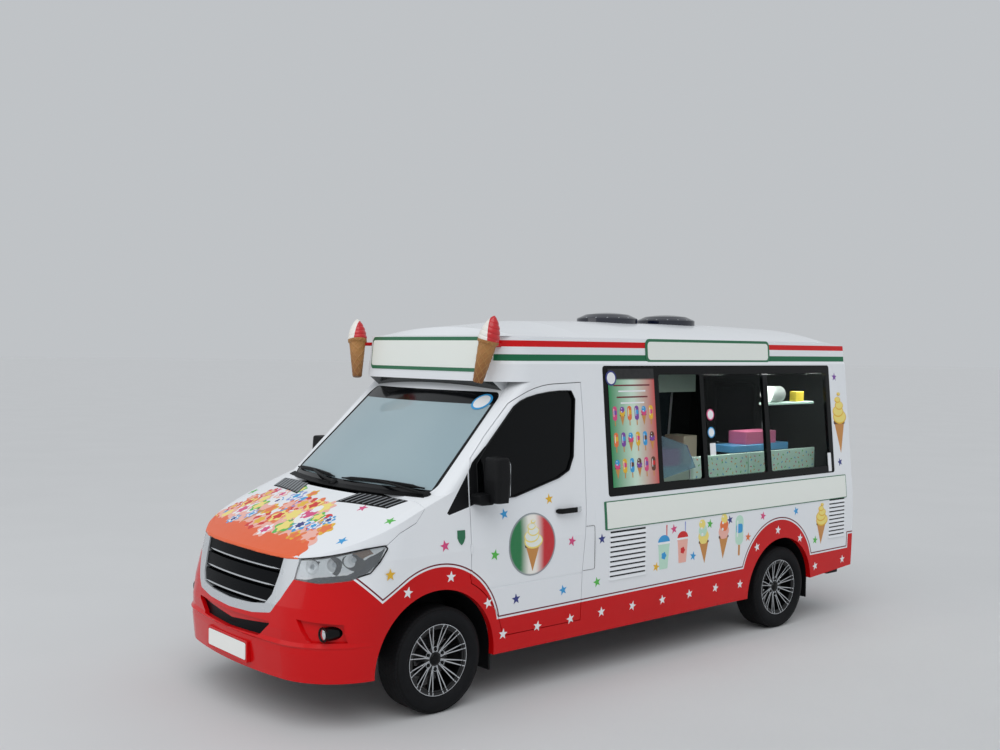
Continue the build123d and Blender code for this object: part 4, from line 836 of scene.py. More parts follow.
# Station and height of points on the bonnet's middle line, and how far it falls at a distance across.
BONNET_LINE = np.array([(-0.925, 1.052), (-0.500, 1.262), (-0.100, 1.428)])
BONNET_HALF = 0.900
BONNET_FALL = 0.052


def circle_through(points: Array) -> tuple[float, float, float]:
    """Centre and radius of the circle through three points, from two equal-distance equations.

    Args:
        points: Three flat points.

    Returns:
        The centre's two coordinates and the radius.
    """
    first, second, third = points
    rows = 2 * np.array([second - first, third - first])
    sums = np.array([second @ second - first @ first, third @ third - first @ first])
    centre = np.linalg.solve(rows, sums)
    return float(centre[0]), float(centre[1]), float(np.linalg.norm(first - centre))


def on_bonnet() -> Place:
    """Places (x, station, lift) on the bonnet: an arc in side view, whose radius falls in an arc across.

    Returns:
        The rule that places points.
    """
    at, high, radius = circle_through(BONNET_LINE)
    crown = (BONNET_HALF ** 2 + BONNET_FALL ** 2) / (2 * BONNET_FALL)

    def place(u: Array, v: Array, w: Array) -> Array:
        """Z is the arc's height there plus the lift."""
        fall = crown - np.sqrt(crown ** 2 - u ** 2)
        return np.stack([u, station(v), high + np.sqrt((radius - fall + w) ** 2 - (v - at) ** 2)], -1)

    return place


# Height, middle station, half-width and end station of the nose's level lines.
NOSE = np.array([
    (0.310, -0.985, 0.600, -0.935), (0.480, -1.002, 0.600, -0.954), (0.522, -1.002, 0.600, -0.954),
    (0.534, -1.013, 0.600, -0.965), (0.556, -0.996, 0.600, -0.948), (0.620, -0.998, 0.600, -0.950),
    (0.760, -0.988, 0.560, -0.942), (1.042, -0.915, 0.520, -0.880), (1.215, -0.868, 0.505, -0.833),
])


def nose_arc(z: Array) -> tuple[Array, Array]:
    """The nose's level arc at heights z, through its middle and both ends.

    Args:
        z: Heights in metres.

    Returns:
        The middle's station and the radius at each.
    """
    middle, half, ends = [np.interp(z, NOSE[:, 0], NOSE[:, i]) for i in (1, 2, 3)]
    rise = ends - middle
    return middle, (half ** 2 + rise ** 2) / (2 * rise)


def on_nose(sink: float = 0.0) -> Place:
    """Places (x, height, lift) on the nose's front, a circular arc across at each height.

    Args:
        sink: Depth behind the nose's front.

    Returns:
        The rule that places points.
    """

    def place(u: Array, v: Array, w: Array) -> Array:
        """The station is the arc's, deeper by the sink, less the lift."""
        middle, radius = nose_arc(v)
        return np.stack([u, station(middle + radius - np.sqrt(radius ** 2 - u ** 2) + sink - w), v], -1)

    return place


# The same of the sign box's front.
SIGN = np.array([
    (2.139, 0.556, 0.730, 0.572), (2.262, 0.564, 0.730, 0.582), (2.285, 0.566, 0.726, 0.584),
    (2.455, 0.582, 0.716, 0.600),
])


def on_sign() -> Place:
    """Places (x, height, lift) on the front of the sign box, a shallow parabola across.

    Returns:
        The rule that places points.
    """

    def place(u: Array, v: Array, w: Array) -> Array:
        """The station goes from the middle's to the ends' with x squared, less the lift."""
        middle, half, ends = [np.interp(v, SIGN[:, 0], SIGN[:, i]) for i in (1, 2, 3)]
        return np.stack([u, station(middle + (ends - middle) * (u / half) ** 2 - w), v], -1)

    return place


@dataclass
class Mesh:
    """Vertices, faces and one colour for each vertex."""

    points: Array
    faces: list
    tint: Optional[Array] = None

    def plus(self, other: "Mesh") -> "Mesh":
        """Both meshes as one.

        Args:
            other: The mesh to add.

        Returns:
            The mesh.
        """
        white = [np.ones((len(mesh.points), 4)) if mesh.tint is None else mesh.tint for mesh in (self, other)]
        moved = [tuple(i + len(self.points) for i in face) for face in other.faces]
        return Mesh(np.concatenate([self.points, other.points]), self.faces + moved, np.concatenate(white))

    def part(self, kept: Array) -> "Mesh":
        """The faces that are kept, with only the points that they use.

        Args:
            kept: Whether each face is kept.

        Returns:
            The mesh.
        """
        faces = [face for face, keep in zip(self.faces, kept) if keep]
        used = sorted({i for face in faces for i in face})
        order = {old: new for new, old in enumerate(used)}
        return Mesh(self.points[used], [tuple(order[i] for i in face) for face in faces], self.tint[used])

    def flipped(self, turn: bool = True) -> "Mesh":
        """The same mesh with its faces turned over, where that is asked for."""
        return Mesh(self.points, [face[::-1] for face in self.faces], self.tint) if turn else self

    def mirrored(self, turn: bool = True) -> "Mesh":
        """The same mesh on the other side, its faces still outwards, where that is asked for."""
        return Mesh(self.points * (-1, 1, 1), self.faces, self.tint).flipped() if turn else self

    def bare(self) -> "Mesh":
        """The same mesh without its tint."""
        return Mesh(self.points, self.faces)


def join(meshes: Sequence[Mesh]) -> Mesh:
    """All the meshes as one.

    Args:
        meshes: The meshes in order.

    Returns:
        The mesh.
    """
    total = meshes[0]
    for mesh in meshes[1:]:
        total = total.plus(mesh)
    return total


def turns(count: int) -> Array:
    """Angles evenly spaced round a full turn."""
    return np.arange(count) * 2 * np.pi / count


def from_ends(count: int) -> Array:
    """Number of steps from each of a row's points to the nearer end."""
    return np.minimum(np.arange(count), np.arange(count)[::-1])


def run_along(line: Array) -> Array:
    """Distance run along a line at each of its points."""
    return np.concatenate([[0], np.cumsum(np.linalg.norm(np.diff(line, axis=0), axis=1))])


def spread(line: Array, count: int) -> Array:
    """A line of flat points carried to so many, evenly spaced along its length.

    Args:
        line: Points in order.
        count: Number of points.

    Returns:
        The new points.
    """
    run = run_along(line)
    at = np.linspace(0, run[-1], count)
    return np.stack([np.interp(at, run, line[:, i]) for i in (0, 1)], -1)


def grid_faces(rows: int, columns: int, wrap_rows: bool = False, wrap_columns: bool = False) -> list:
    """Quads between the rows and columns of a grid of points; a wrapped side joins its end to its start.

    Args:
        rows: Rows of points.
        columns: Columns of points.
        wrap_rows: Whether the last row joins the first.
        wrap_columns: Whether the last column joins the first.

    Returns:
        Four point numbers for each quad.
    """
    down = np.arange(rows if wrap_rows else rows - 1)
    across = np.arange(columns if wrap_columns else columns - 1)
    i, j = [index.ravel() for index in np.meshgrid(down, across, indexing="ij")]
    k, m = (i + 1) % rows, (j + 1) % columns
    return np.stack([i * columns + j, i * columns + m, k * columns + m, k * columns + j], -1).tolist()


def skin(points: Array, wrap_rows: bool = False, wrap_columns: bool = False, caps: bool = False) -> Mesh:
    """Surface over a grid of points.

    Args:
        points: Array of rows, columns and three coordinates.
        wrap_rows: Whether the last row joins the first.
        wrap_columns: Whether the last column joins the first.
        caps: Whether fans close the first and last rows about their middles.

    Returns:
        The mesh.
    """
    rows, columns = points.shape[:2]
    flat = points.reshape(-1, 3)
    faces = grid_faces(rows, columns, wrap_rows, wrap_columns)
    if caps:
        ends = np.stack([points[0].mean(0), points[-1].mean(0)])
        flat = np.concatenate([flat, ends])
        j = np.arange(columns)
        k = (j + 1) % columns
        first = np.full(columns, rows * columns)
        faces = faces + np.stack([first, k, j], -1).tolist()
        last = (rows - 1) * columns
        faces = faces + np.stack([first + 1, last + j, last + k], -1).tolist()
    return Mesh(flat, faces)


def ring_frame(path: Array, closed: bool = False, up: tuple = (0.0, 0.0, 1.0)) -> tuple[Array, Array]:
    """Two directions across a path at each point: the tangent crossed with up, and what crosses both.

    Args:
        path: Points in order.
        closed: Whether the path's end joins its start.
        up: Direction that both are taken from.

    Returns:
        The side and the rise at each point.
    """
    if closed:
        along = np.roll(path, -1, 0) - np.roll(path, 1, 0)
    else:
        along = np.gradient(path, axis=0)
    along /= np.linalg.norm(along, axis=1, keepdims=True)
    side = np.cross(along, np.array(up))
    side /= np.linalg.norm(side, axis=1, keepdims=True)
    return side, np.cross(side, along)


def sweep(
    profile: Array, path: Array, closed: bool = False, up: tuple = (0.0, 0.0, 1.0),
    size: Optional[Array] = None,
) -> Mesh:
    """Carries a closed profile of (side, rise) points along a path, scaled by a size at each point.

    Args:
        profile: Points of (side, rise).
        path: Points in order.
        closed: Whether the path's end joins its start.
        up: Direction that the profile stands to.
        size: Scale of the profile at each point.

    Returns:
        The mesh.
    """
    side, rise = ring_frame(path, closed, up)
    size = np.ones(len(path)) if size is None else size
    points = (
        path[:, None] + size[:, None, None]
        * (profile[None, :, :1] * side[:, None] + profile[None, :, 1:] * rise[:, None])
    )
    return skin(points, wrap_rows=closed, wrap_columns=True, caps=not closed).flipped()


def oval(across: float, high: float, count: int = 12, power: float = 2.0) -> Array:
    """Points of a rounded profile: each coordinate is a signed power of the cosine and sine.

    Args:
        across: Half-width.
        high: Half-height.
        count: Number of points.
        power: Two for an ellipse, more for squarer corners.

    Returns:
        The profile's points.
    """
    t = turns(count)
    c, s = np.cos(t), np.sin(t)
    return np.stack([
        across * np.sign(c) * abs(c) ** (2 / power), high * np.sign(s) * abs(s) ** (2 / power)
    ], -1)


def turned(profile: Array, centre: Sequence[float], axis: Sequence[float], count: int = 40) -> Mesh:
    """Turns a profile of (radius, distance along the axis) points about an axis.

    Args:
        profile: Points of (radius, distance along the axis).
        centre: Where the axis starts.
        axis: Its direction.
        count: Number of sides.

    Returns:
        The mesh.
    """
    axis = np.array(axis, float) / np.linalg.norm(axis)
    helper = np.array([0, 0, 1.0]) if abs(axis[2]) < 0.9 else np.array([1.0, 0, 0])
    first = np.cross(helper, axis)
    first /= np.linalg.norm(first)
    second = np.cross(axis, first)
    t = turns(count)
    ring = np.cos(t)[:, None] * first + np.sin(t)[:, None] * second
    profile = np.array(profile, float)
    points = np.array(centre) + profile[:, None, :1] * ring[None] + profile[:, None, 1:] * axis
    return skin(points, wrap_columns=True, caps=True)


def rounded(wide: float, high: float, corner: float, centre: tuple = (0.0, 0.0), steps: int = 5) -> Array:
    """Outline of a rectangle with quarter-circle corners, anticlockwise.

    Args:
        wide: Width.
        high: Height.
        corner: Radius of the corners.
        centre: The middle.
        steps: Sides of each corner.

    Returns:
        The outline's points.
    """
    t = np.linspace(0, np.pi / 2, steps + 1)
    quarter = np.stack([np.cos(t), np.sin(t)], -1) * corner
    parts = []
    for turn, (a, b) in enumerate(((1, 1), (-1, 1), (-1, -1), (1, -1))):
        c, s = np.cos(turn * np.pi / 2), np.sin(turn * np.pi / 2)
        spun = quarter @ np.array([[c, s], [-s, c]])
        parts.append(spun + (a * (wide / 2 - corner), b * (high / 2 - corner)))
    return np.concatenate(parts) + np.array(centre)


def resample(outline: Array, spacing: float) -> Array:
    """The same closed outline with points no further apart than a spacing, set along its length.

    Args:
        outline: Points of a closed line.
        spacing: Greatest distance between points.

    Returns:
        The new points.
    """
    closed = np.concatenate([outline, outline[:1]])
    run = run_along(closed)
    count = np.maximum(1, np.ceil(np.diff(run) / spacing)).astype(int)
    at = np.concatenate([np.linspace(a, b, n, endpoint=False) for a, b, n in zip(run[:-1], run[1:], count)])
    return np.stack([np.interp(at, run, closed[:, i]) for i in (0, 1)], -1)


def outward(outline: Array) -> Array:
    """Outward unit normals of an anticlockwise outline, from the neighbours on each side.

    Args:
        outline: Anticlockwise points.

    Returns:
        A normal for each point.
    """
    along = np.roll(outline, -1, 0) - np.roll(outline, 1, 0)
    along /= np.linalg.norm(along, axis=1, keepdims=True) + 1e-12
    return np.stack([along[:, 1], -along[:, 0]], -1)


def slab(outline: Array, depth: float, edge: float, place: Place, flip: bool = False) -> Mesh:
    """Closed board: its outline at four lifts, drawn in by the edge's rounding at the first and last.

    Args:
        outline: Anticlockwise points.
        depth: Its thickness.
        edge: Rounding of its edges.
        place: The surface that it lies on.
        flip: Whether its faces are turned over.

    Returns:
        The mesh.
    """
    normal = outward(outline)
    levels = ((0.0, edge), (edge, 0.0), (depth - edge, 0.0), (depth, edge))
    rings = [outline - normal * inset for _, inset in levels]
    points = np.stack([laid(place, ring, lift) for ring, (lift, _) in zip(rings, levels)])
    return skin(points, wrap_columns=True, caps=True).flipped(flip)


def laid(place: Place, line: Array, lift: float) -> Array:
    """A line of flat points placed on a surface, all at one lift."""
    return place(line[:, 0], line[:, 1], np.full(len(line), lift))


def within(points: Array, polygon: Sequence) -> Array:
    """Whether each point lies in a polygon: an odd number of its edges cross the level line to its right.

    Args:
        points: Flat points.
        polygon: Corners in order.

    Returns:
        True for each point inside.
    """
    x, y = points[:, :1], points[:, 1:2]
    first = np.array(polygon, float)
    last = np.roll(first, -1, 0)
    rise = last[:, 1] - first[:, 1]
    crossed = (first[:, 1] > y) != (last[:, 1] > y)
    at = first[:, 0] + (y - first[:, 1]) * (last[:, 0] - first[:, 0]) / np.where(rise == 0, 1.0, rise)
    return (crossed & (x < at)).sum(1) % 2 == 1


def block(x: float, s: float, z: float, size: tuple[float, float, float]) -> Mesh:
    """A box with rounded upright corners, its foot at the height given.

    Args:
        x: Its middle across.
        s: Its middle's station.
        z: Height of its foot.
        size: Width, length and height.

    Returns:
        The mesh.
    """

    def place(u: Array, v: Array, w: Array) -> Array:
        """Level outlines stacked upwards."""
        return np.stack([u, FRONT_AXLE + v, z + w], -1)

    wide, long, high = size
    return slab(rounded(wide, long, min(wide, long) * 0.08, (x, s)), high, min(0.004, high / 4), place)


# The windscreen's foot as station and height, its slope, its bow across and its outward direction.
SCREEN_FOOT = (-0.190, 1.366)
SCREEN_SLOPE = 1.11
SCREEN_BOW = (0.186, -0.048)
SCREEN_NORMAL = (0.0, -0.74, 0.67)


def on_screen() -> Place:
    """Places (x, height, lift) on the windscreen: a plane leaning back with a parabola across.

    Returns:
        The rule that places points.
    """

    def place(u: Array, v: Array, w: Array) -> Array:
        """The station rises with height, and with x squared by a factor that eases towards the top.

        Args:
            u: First coordinate of each point.
            v: Second coordinate of each.
            w: Lift of each over the surface.

        Returns:
            Three coordinates for each.
        """
        rise = v - SCREEN_FOOT[1]
        bow = SCREEN_BOW[0] + SCREEN_BOW[1] * rise
        s = SCREEN_FOOT[0] + SCREEN_SLOPE * rise + bow * u ** 2
        return np.stack([u, FRONT_AXLE + s + SCREEN_NORMAL[1] * w, v + SCREEN_NORMAL[2] * w], -1)

    return place


def on_wall(axis: int, at: float, sign: float = 1.0) -> Place:
    """Places (across, height, lift) on an upright plane at a distance along x (0) or y (1).

    Args:
        axis: Zero for a plane across x, one across y.
        at: Where it stands on that axis.
        sign: One where the lift grows along the axis, minus one against it.

    Returns:
        The rule that places points.
    """

    def place(u: Array, v: Array, w: Array) -> Array:
        """The plane's own axis takes the lift; the other takes the first number."""
        out = np.full_like(u, at) + sign * w
        return np.stack([out, u, v] if axis == 0 else [u, out, v], -1)

    return place


def shape(
    outline: Array, place: Place, lift: float, ink: Ink, sink: float = SINK, flip: bool = False,
    rings: int = 3,
) -> Mesh:
    """Thin printed shape on a surface: a rim, then rings shrinking to the middle.

    Args:
        outline: Anticlockwise points.
        place: The surface that it lies on.
        lift: Height of its face over the surface.
        ink: Its colour.
        sink: Depth of its rim under the surface.
        flip: Whether its faces are turned, for a surface seen from behind.
        rings: Rings between its edge and its middle.

    Returns:
        The mesh with its tint.
    """
    middle = outline.mean(0)
    shares = np.concatenate([[1.0, 1.0], np.linspace(1.0, 0.0, rings + 1)[1:-1]])
    lifts = np.concatenate([[-sink, lift], np.full(rings - 1, lift)])
    flat = middle + shares[:, None, None] * (outline - middle)[None]
    points = place(flat[..., 0], flat[..., 1], np.repeat(lifts[:, None], len(outline), 1))
    centre = place(middle[:1], middle[1:], np.array([lift]))
    columns = len(outline)
    faces = grid_faces(len(points), columns, wrap_columns=True)
    j = np.arange(columns)
    last = (len(points) - 1) * columns
    fan = np.stack([np.full(columns, len(points) * columns), last + j, last + (j + 1) % columns], -1)
    every = np.concatenate([points.reshape(-1, 3), centre])
    return Mesh(every, faces + fan.tolist(), np.tile(ink.linear, (len(every), 1))).flipped(flip)


def patch(u: Array, v: Array, place: Place, lift: float, sink: float = SINK, flip: bool = False) -> Mesh:
    """Sheet over a grid of places, its border rows and columns doubled and sunk under the surface.

    Args:
        u: First coordinate of each point, in rows and columns.
        v: Second coordinate of each.
        place: The surface that it lies on.
        lift: Height of its face over the surface.
        sink: Depth of its rim under the surface.
        flip: Whether its faces are turned.

    Returns:
        The mesh, without a tint.
    """
    u, v = np.pad(u, 1, mode="edge"), np.pad(v, 1, mode="edge")
    w = np.pad(np.full((u.shape[0] - 2, u.shape[1] - 2), lift), 1, constant_values=-sink)
    return skin(place(u, v, w)).flipped(flip)


def between(first: Sequence, last: Sequence, rows: int = 2, columns: int = 0) -> tuple[Array, Array]:
    """Grid between two lines of points, each carried to the same number of columns along its length.

    Args:
        first: Points of the first line.
        last: Points of the last.
        rows: Lines in the grid.
        columns: Points in each line; none keeps them as they are.

    Returns:
        Both coordinates of each point.
    """
    lines = [np.array(line, float) for line in (first, last)]
    if columns:
        lines = [spread(line, columns) for line in lines]
    share = np.linspace(0, 1, rows)[:, None, None]
    grid = lines[0][None] * (1 - share) + lines[1][None] * share
    return grid[..., 0], grid[..., 1]


def disc(
    radius: float, at: Sequence[float], count: int = 28, lobes: int = 0, depth: float = 0.0,
    squeeze: float = 1.0, turn: float = 0.0,
) -> Array:
    """Circle whose radius swells and shrinks in a cosine of so many lobes, squeezed and turned.

    Args:
        radius: Its radius.
        at: Its middle.
        count: Number of points.
        lobes: Number of lobes.
        depth: Share of the radius by which they swell.
        squeeze: Height as a share of the width.
        turn: Angle that it is turned by.

    Returns:
        The outline's points.
    """
    t = turns(count)
    r = radius * (1 + depth * np.cos(lobes * t))
    x, y = r * np.cos(t), r * np.sin(t) * squeeze
    c, s = math.cos(turn), math.sin(turn)
    return np.stack([x * c - y * s, x * s + y * c], -1) + np.array(at)


def star(radius: float, at: Sequence[float], turn: float = 0.0, waist: float = 0.42) -> Array:
    """Five-pointed star: ten points whose radius goes between its size and its waist's share of it.

    Args:
        radius: Distance of its points.
        at: Its middle.
        turn: Angle that it is turned by.
        waist: Share of the radius between them.

    Returns:
        The outline's points.
    """
    t = np.arange(10) * np.pi / 5 + np.pi / 2 + turn
    r = radius * np.where(np.arange(10) % 2 == 0, 1.0, waist)
    return np.stack([r * np.cos(t), r * np.sin(t)], -1) + np.array(at)


class Picture:
    """Draws generic sweets as layered shapes on one surface."""

    LAYER = 0.0003

    def __init__(self, place: Place, lift: float = 0.001, flip: bool = False) -> None:
        """Starts with nothing drawn.

        Args:
            place: The surface that it lies on.
            lift: Height of its lowest layer over the surface.
            flip: Whether its faces are turned over.
        """
        self.place = place
        self.lift = lift
        self.flip = flip
        self.shapes: list[Mesh] = []

    def add(self, outline: Array, ink: Ink, layer: int = 0, rings: int = 2, spacing: float = 0.0) -> None:
        """Draws one outline on a layer over the surface.

        Args:
            outline: Anticlockwise points.
            ink: Its colour.
            layer: Number of its layer.
            rings: Rings between its edge and its middle.
            spacing: Greatest distance between its points; none keeps them as they are.
        """
        if spacing:
            outline = resample(outline, spacing)
        lift = self.lift + layer * self.LAYER
        self.shapes.append(shape(outline, self.place, lift, ink, flip=self.flip, rings=rings))

    def lolly(self, at: Sequence[float], high: float, first: Ink, second: Ink, lean: float = 0.0) -> None:
        """A rounded bar in two colours on a short stick, its foot at the point given.

        Args:
            at: Its foot.
            high: Its height.
            first: Colour of the bar.
            second: Colour of its band.
            lean: How far its top lies to one side.
        """
        x, y = at
        wide = high * 0.30
        self.add(rounded(high * 0.07, high * 0.3, high * 0.03, (x, y + high * 0.15)), Ink.WAFER)
        middle = (x + lean, y + high * 0.66)
        self.add(rounded(wide, high * 0.72, wide * 0.48, (x + lean, y + high * 0.62)), first, 1)
        self.add(rounded(wide * 0.8, high * 0.22, wide * 0.2, middle), second, 2)
        shine = (middle[0] - wide * 0.25, middle[1])
        self.add(rounded(wide * 0.12, high * 0.4, wide * 0.05, shine), Ink.WHITE, 3)

    def cone(self, at: Sequence[float], high: float, scoops: Sequence[Ink], lean: float = 0.0) -> None:
        """A wafer triangle under stacked scoops, its tip at the point given.

        Args:
            at: Its tip.
            high: Its height.
            scoops: Colours from the lowest scoop up.
            lean: How far its top lies to one side.
        """
        x, y = at
        top = y + high * 0.52
        wide = high * 0.17
        wafer = np.array([(x, y), (x + wide + lean * 0.5, top), (x - wide + lean * 0.5, top)])
        self.add(wafer, Ink.WAFER, 1, spacing=0.03)
        self.add(rounded(wide * 2.15, high * 0.06, high * 0.02, (x + lean * 0.5, top)), Ink.BROWN, 2)
        for i, ink in enumerate(scoops):
            share = 1 - 0.2 * i
            centre = (x + lean * (0.6 + 0.3 * i), top + high * (0.13 + 0.15 * i))
            self.add(disc(wide * 1.1 * share, centre, 24, 6, 0.04), ink, 3 + i)
            spot = (centre[0] - wide * 0.3, centre[1] + wide * 0.3)
            self.add(disc(wide * 0.22 * share, spot, 10), Ink.WHITE, 6 + i)

    def swirl(self, at: Sequence[float], high: float, cream: Ink, shade: Ink, slim: float = 1.0) -> None:
        """A wafer triangle under a whip in four falling turns, each over a darker rim.

        Args:
            at: Its tip.
            high: Its height.
            cream: Colour of the turns.
            shade: Colour of their rims.
            slim: Its width's share of the usual.
        """
        x, y = at
        wide = high * 0.19 * slim
        top = y + high * 0.48
        self.add(np.array([(x, y), (x + wide * 0.9, top), (x - wide * 0.9, top)]), Ink.WAFER, 1, spacing=0.03)
        self.add(rounded(wide * 2.0, high * 0.06, high * 0.02, (x, top)), Ink.BROWN, 2)
        for i in range(5):
            share = 1 - 0.2 * i
            across, up = x + wide * 0.12 * (-1) ** i, top + high * (0.08 + 0.09 * i)
            self.add(disc(wide * 1.15 * share + 0.004, (across, up), 24, squeeze=0.62), shade, 3 + 2 * i)
            self.add(disc(wide * 1.08 * share, (across, up + 0.003), 24, squeeze=0.58), cream, 4 + 2 * i)

    def cup(self, at: Sequence[float], high: float, body: Ink, fill: Ink, straw: Ink) -> None:
        """A tapered cup with a domed lid and a straw, its foot at the point given.

        Args:
            at: Its foot.
            high: Its height.
            body: Colour of the cup.
            fill: Colour of what it holds.
            straw: Colour of its straw.
        """
        x, y = at
        wide = high * 0.19
        self.add(rounded(high * 0.035, high * 0.75, high * 0.015, (x + wide * 0.5, y + high * 0.62)), straw)
        self.add(disc(wide * 1.05, (x, y + high * 0.6), 24, squeeze=0.85), fill, 1)
        cup = np.array([
            (x - wide * 0.7, y), (x + wide * 0.7, y), (x + wide, y + high * 0.58), (x - wide, y + high * 0.58)
        ])
        self.add(cup, body, 2, spacing=0.03)
        self.add(rounded(wide * 2.2, high * 0.05, high * 0.02, (x, y + high * 0.59)), Ink.WHITE, 3)
        self.add(disc(wide * 0.42, (x, y + high * 0.3), 18, 5, 0.15), fill, 3)

    def blossom(
        self, at: Sequence[float], radius: float, inks: Sequence[Ink], lobes: int, turn: float
    ) -> None:
        """Scalloped rings in falling sizes.

        Args:
            at: Its middle.
            radius: Its radius.
            inks: Colours from the outermost ring in.
            lobes: Number of lobes.
            turn: Angle that it is turned by.
        """
        for i, ink in enumerate(inks):
            ring = disc(radius * (1 - 0.27 * i), at, 36, lobes, 0.20, turn=turn + i * 0.3)
            self.add(ring, ink, i + 2, rings=3)

    def mesh(self) -> Mesh:
        """Everything drawn."""
        return join(self.shapes)


class Workshop:
    """Puts meshes into the scene as named pieces."""

    def __init__(self, finishes: Finishes) -> None:
        """Keeps the finishes."""
        self.finishes = finishes
        self.count = 0

    def put(
        self, mesh: Mesh, name: str, body: str, finish: str, sharp: float = 35.0
    ) -> bpy.types.Object:
        """Makes one piece.

        Args:
            mesh: Its surface.
            name: Its name.
            body: The body that it rides on.
            finish: Its finish's name.
            sharp: Least angle between faces, in degrees, that stays a hard edge.

        Returns:
            The object.
        """
        data = bpy.data.meshes.new(name)
        data.from_pydata(mesh.points.tolist(), [], mesh.faces)
        if mesh.tint is not None:
            layer = data.attributes.new("tint", "FLOAT_COLOR", "POINT")
            layer.data.foreach_set("color", mesh.tint.astype(np.float32).ravel())
        data.shade_smooth()
        data.set_sharp_from_angle(angle=math.radians(sharp))
        data.materials.append(self.finishes[finish])
        piece = bpy.data.objects.new(name, data)
        bpy.context.collection.objects.link(piece)
        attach(piece, body)
        self.count += 1
        LOG.info("%s: %d faces on %s", name, len(mesh.faces), body)
        return piece

    def printed(
        self, meshes: Sequence[Mesh], name: str, body: str = "body"
    ) -> None:
        """Joins printed shapes into one piece of vinyl."""
        self.put(join(meshes), name, body, "printed_vinyl")

    def trim(self, mesh: Mesh, name: str, body: str = "body", finish: str = "black_plastic") -> None:
        """Makes one black fitting."""
        self.put(mesh, name, body, finish)

    def dress(self, node: str, finish: str) -> None:
        """Gives a CAD node its finish.

        Args:
            node: The node's name.
            finish: The finish's name.
        """
        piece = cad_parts[node]
        piece.data.materials.clear()
        piece.data.materials.append(self.finishes[finish])


@dataclass
class Paintwork:
    """Finishes of the CAD nodes."""

    table: tuple[tuple[str, str], ...] = (
        ("gloss_livery", "cab_shell front_bumper door_left door_right side_wall_left side_wall_right"),
        ("gloss_livery", "rear_wall rear_door"),
        ("gloss_white", "bonnet"),
        ("gloss_livery_striped", "roof sign_box"),
        ("lamp_grey", "headlamps"),
        ("clear_lens", "lamp_lenses"),
        ("black_plastic", "quarter_trims mirror_left mirror_right arch_liners dashboard rear_bumper"),
        ("black_gloss", "fog_lamps window_frame"),
        ("silver_trim", "grille_surround"),
        ("slat_black", "grille_slats"),
        ("windscreen_glass", "windscreen"),
        ("dark_glass", "door_glass_left door_glass_right rear_door_glass"),
        ("saloon_glass", "saloon_glass"),
        ("red_lens", "tail_lamps"),
        ("navy_dome", "roof_lights"),
        ("floor_mat", "floor"),
        ("mint_laminate", "counter cabinets"),
        ("black_steel", "chassis front_axle rear_axle under_fittings"),
        ("cast_metal", "engine knuckle_left knuckle_right"),
        ("tyre_front", "tyre_front_left tyre_front_right"),
        ("tyre_rear", "tyre_rear_left tyre_rear_right"),
        ("alloy_front", "rim_front_left rim_front_right"),
        ("alloy_rear", "rim_rear_left rim_rear_right"),
    )

    def build(self, shop: Workshop) -> None:
        """Gives every node its finish.

        Args:
            shop: Puts the pieces into the scene.
        """
        for finish, nodes in self.table:
            for node in nodes.split():
                shop.dress(node, finish)


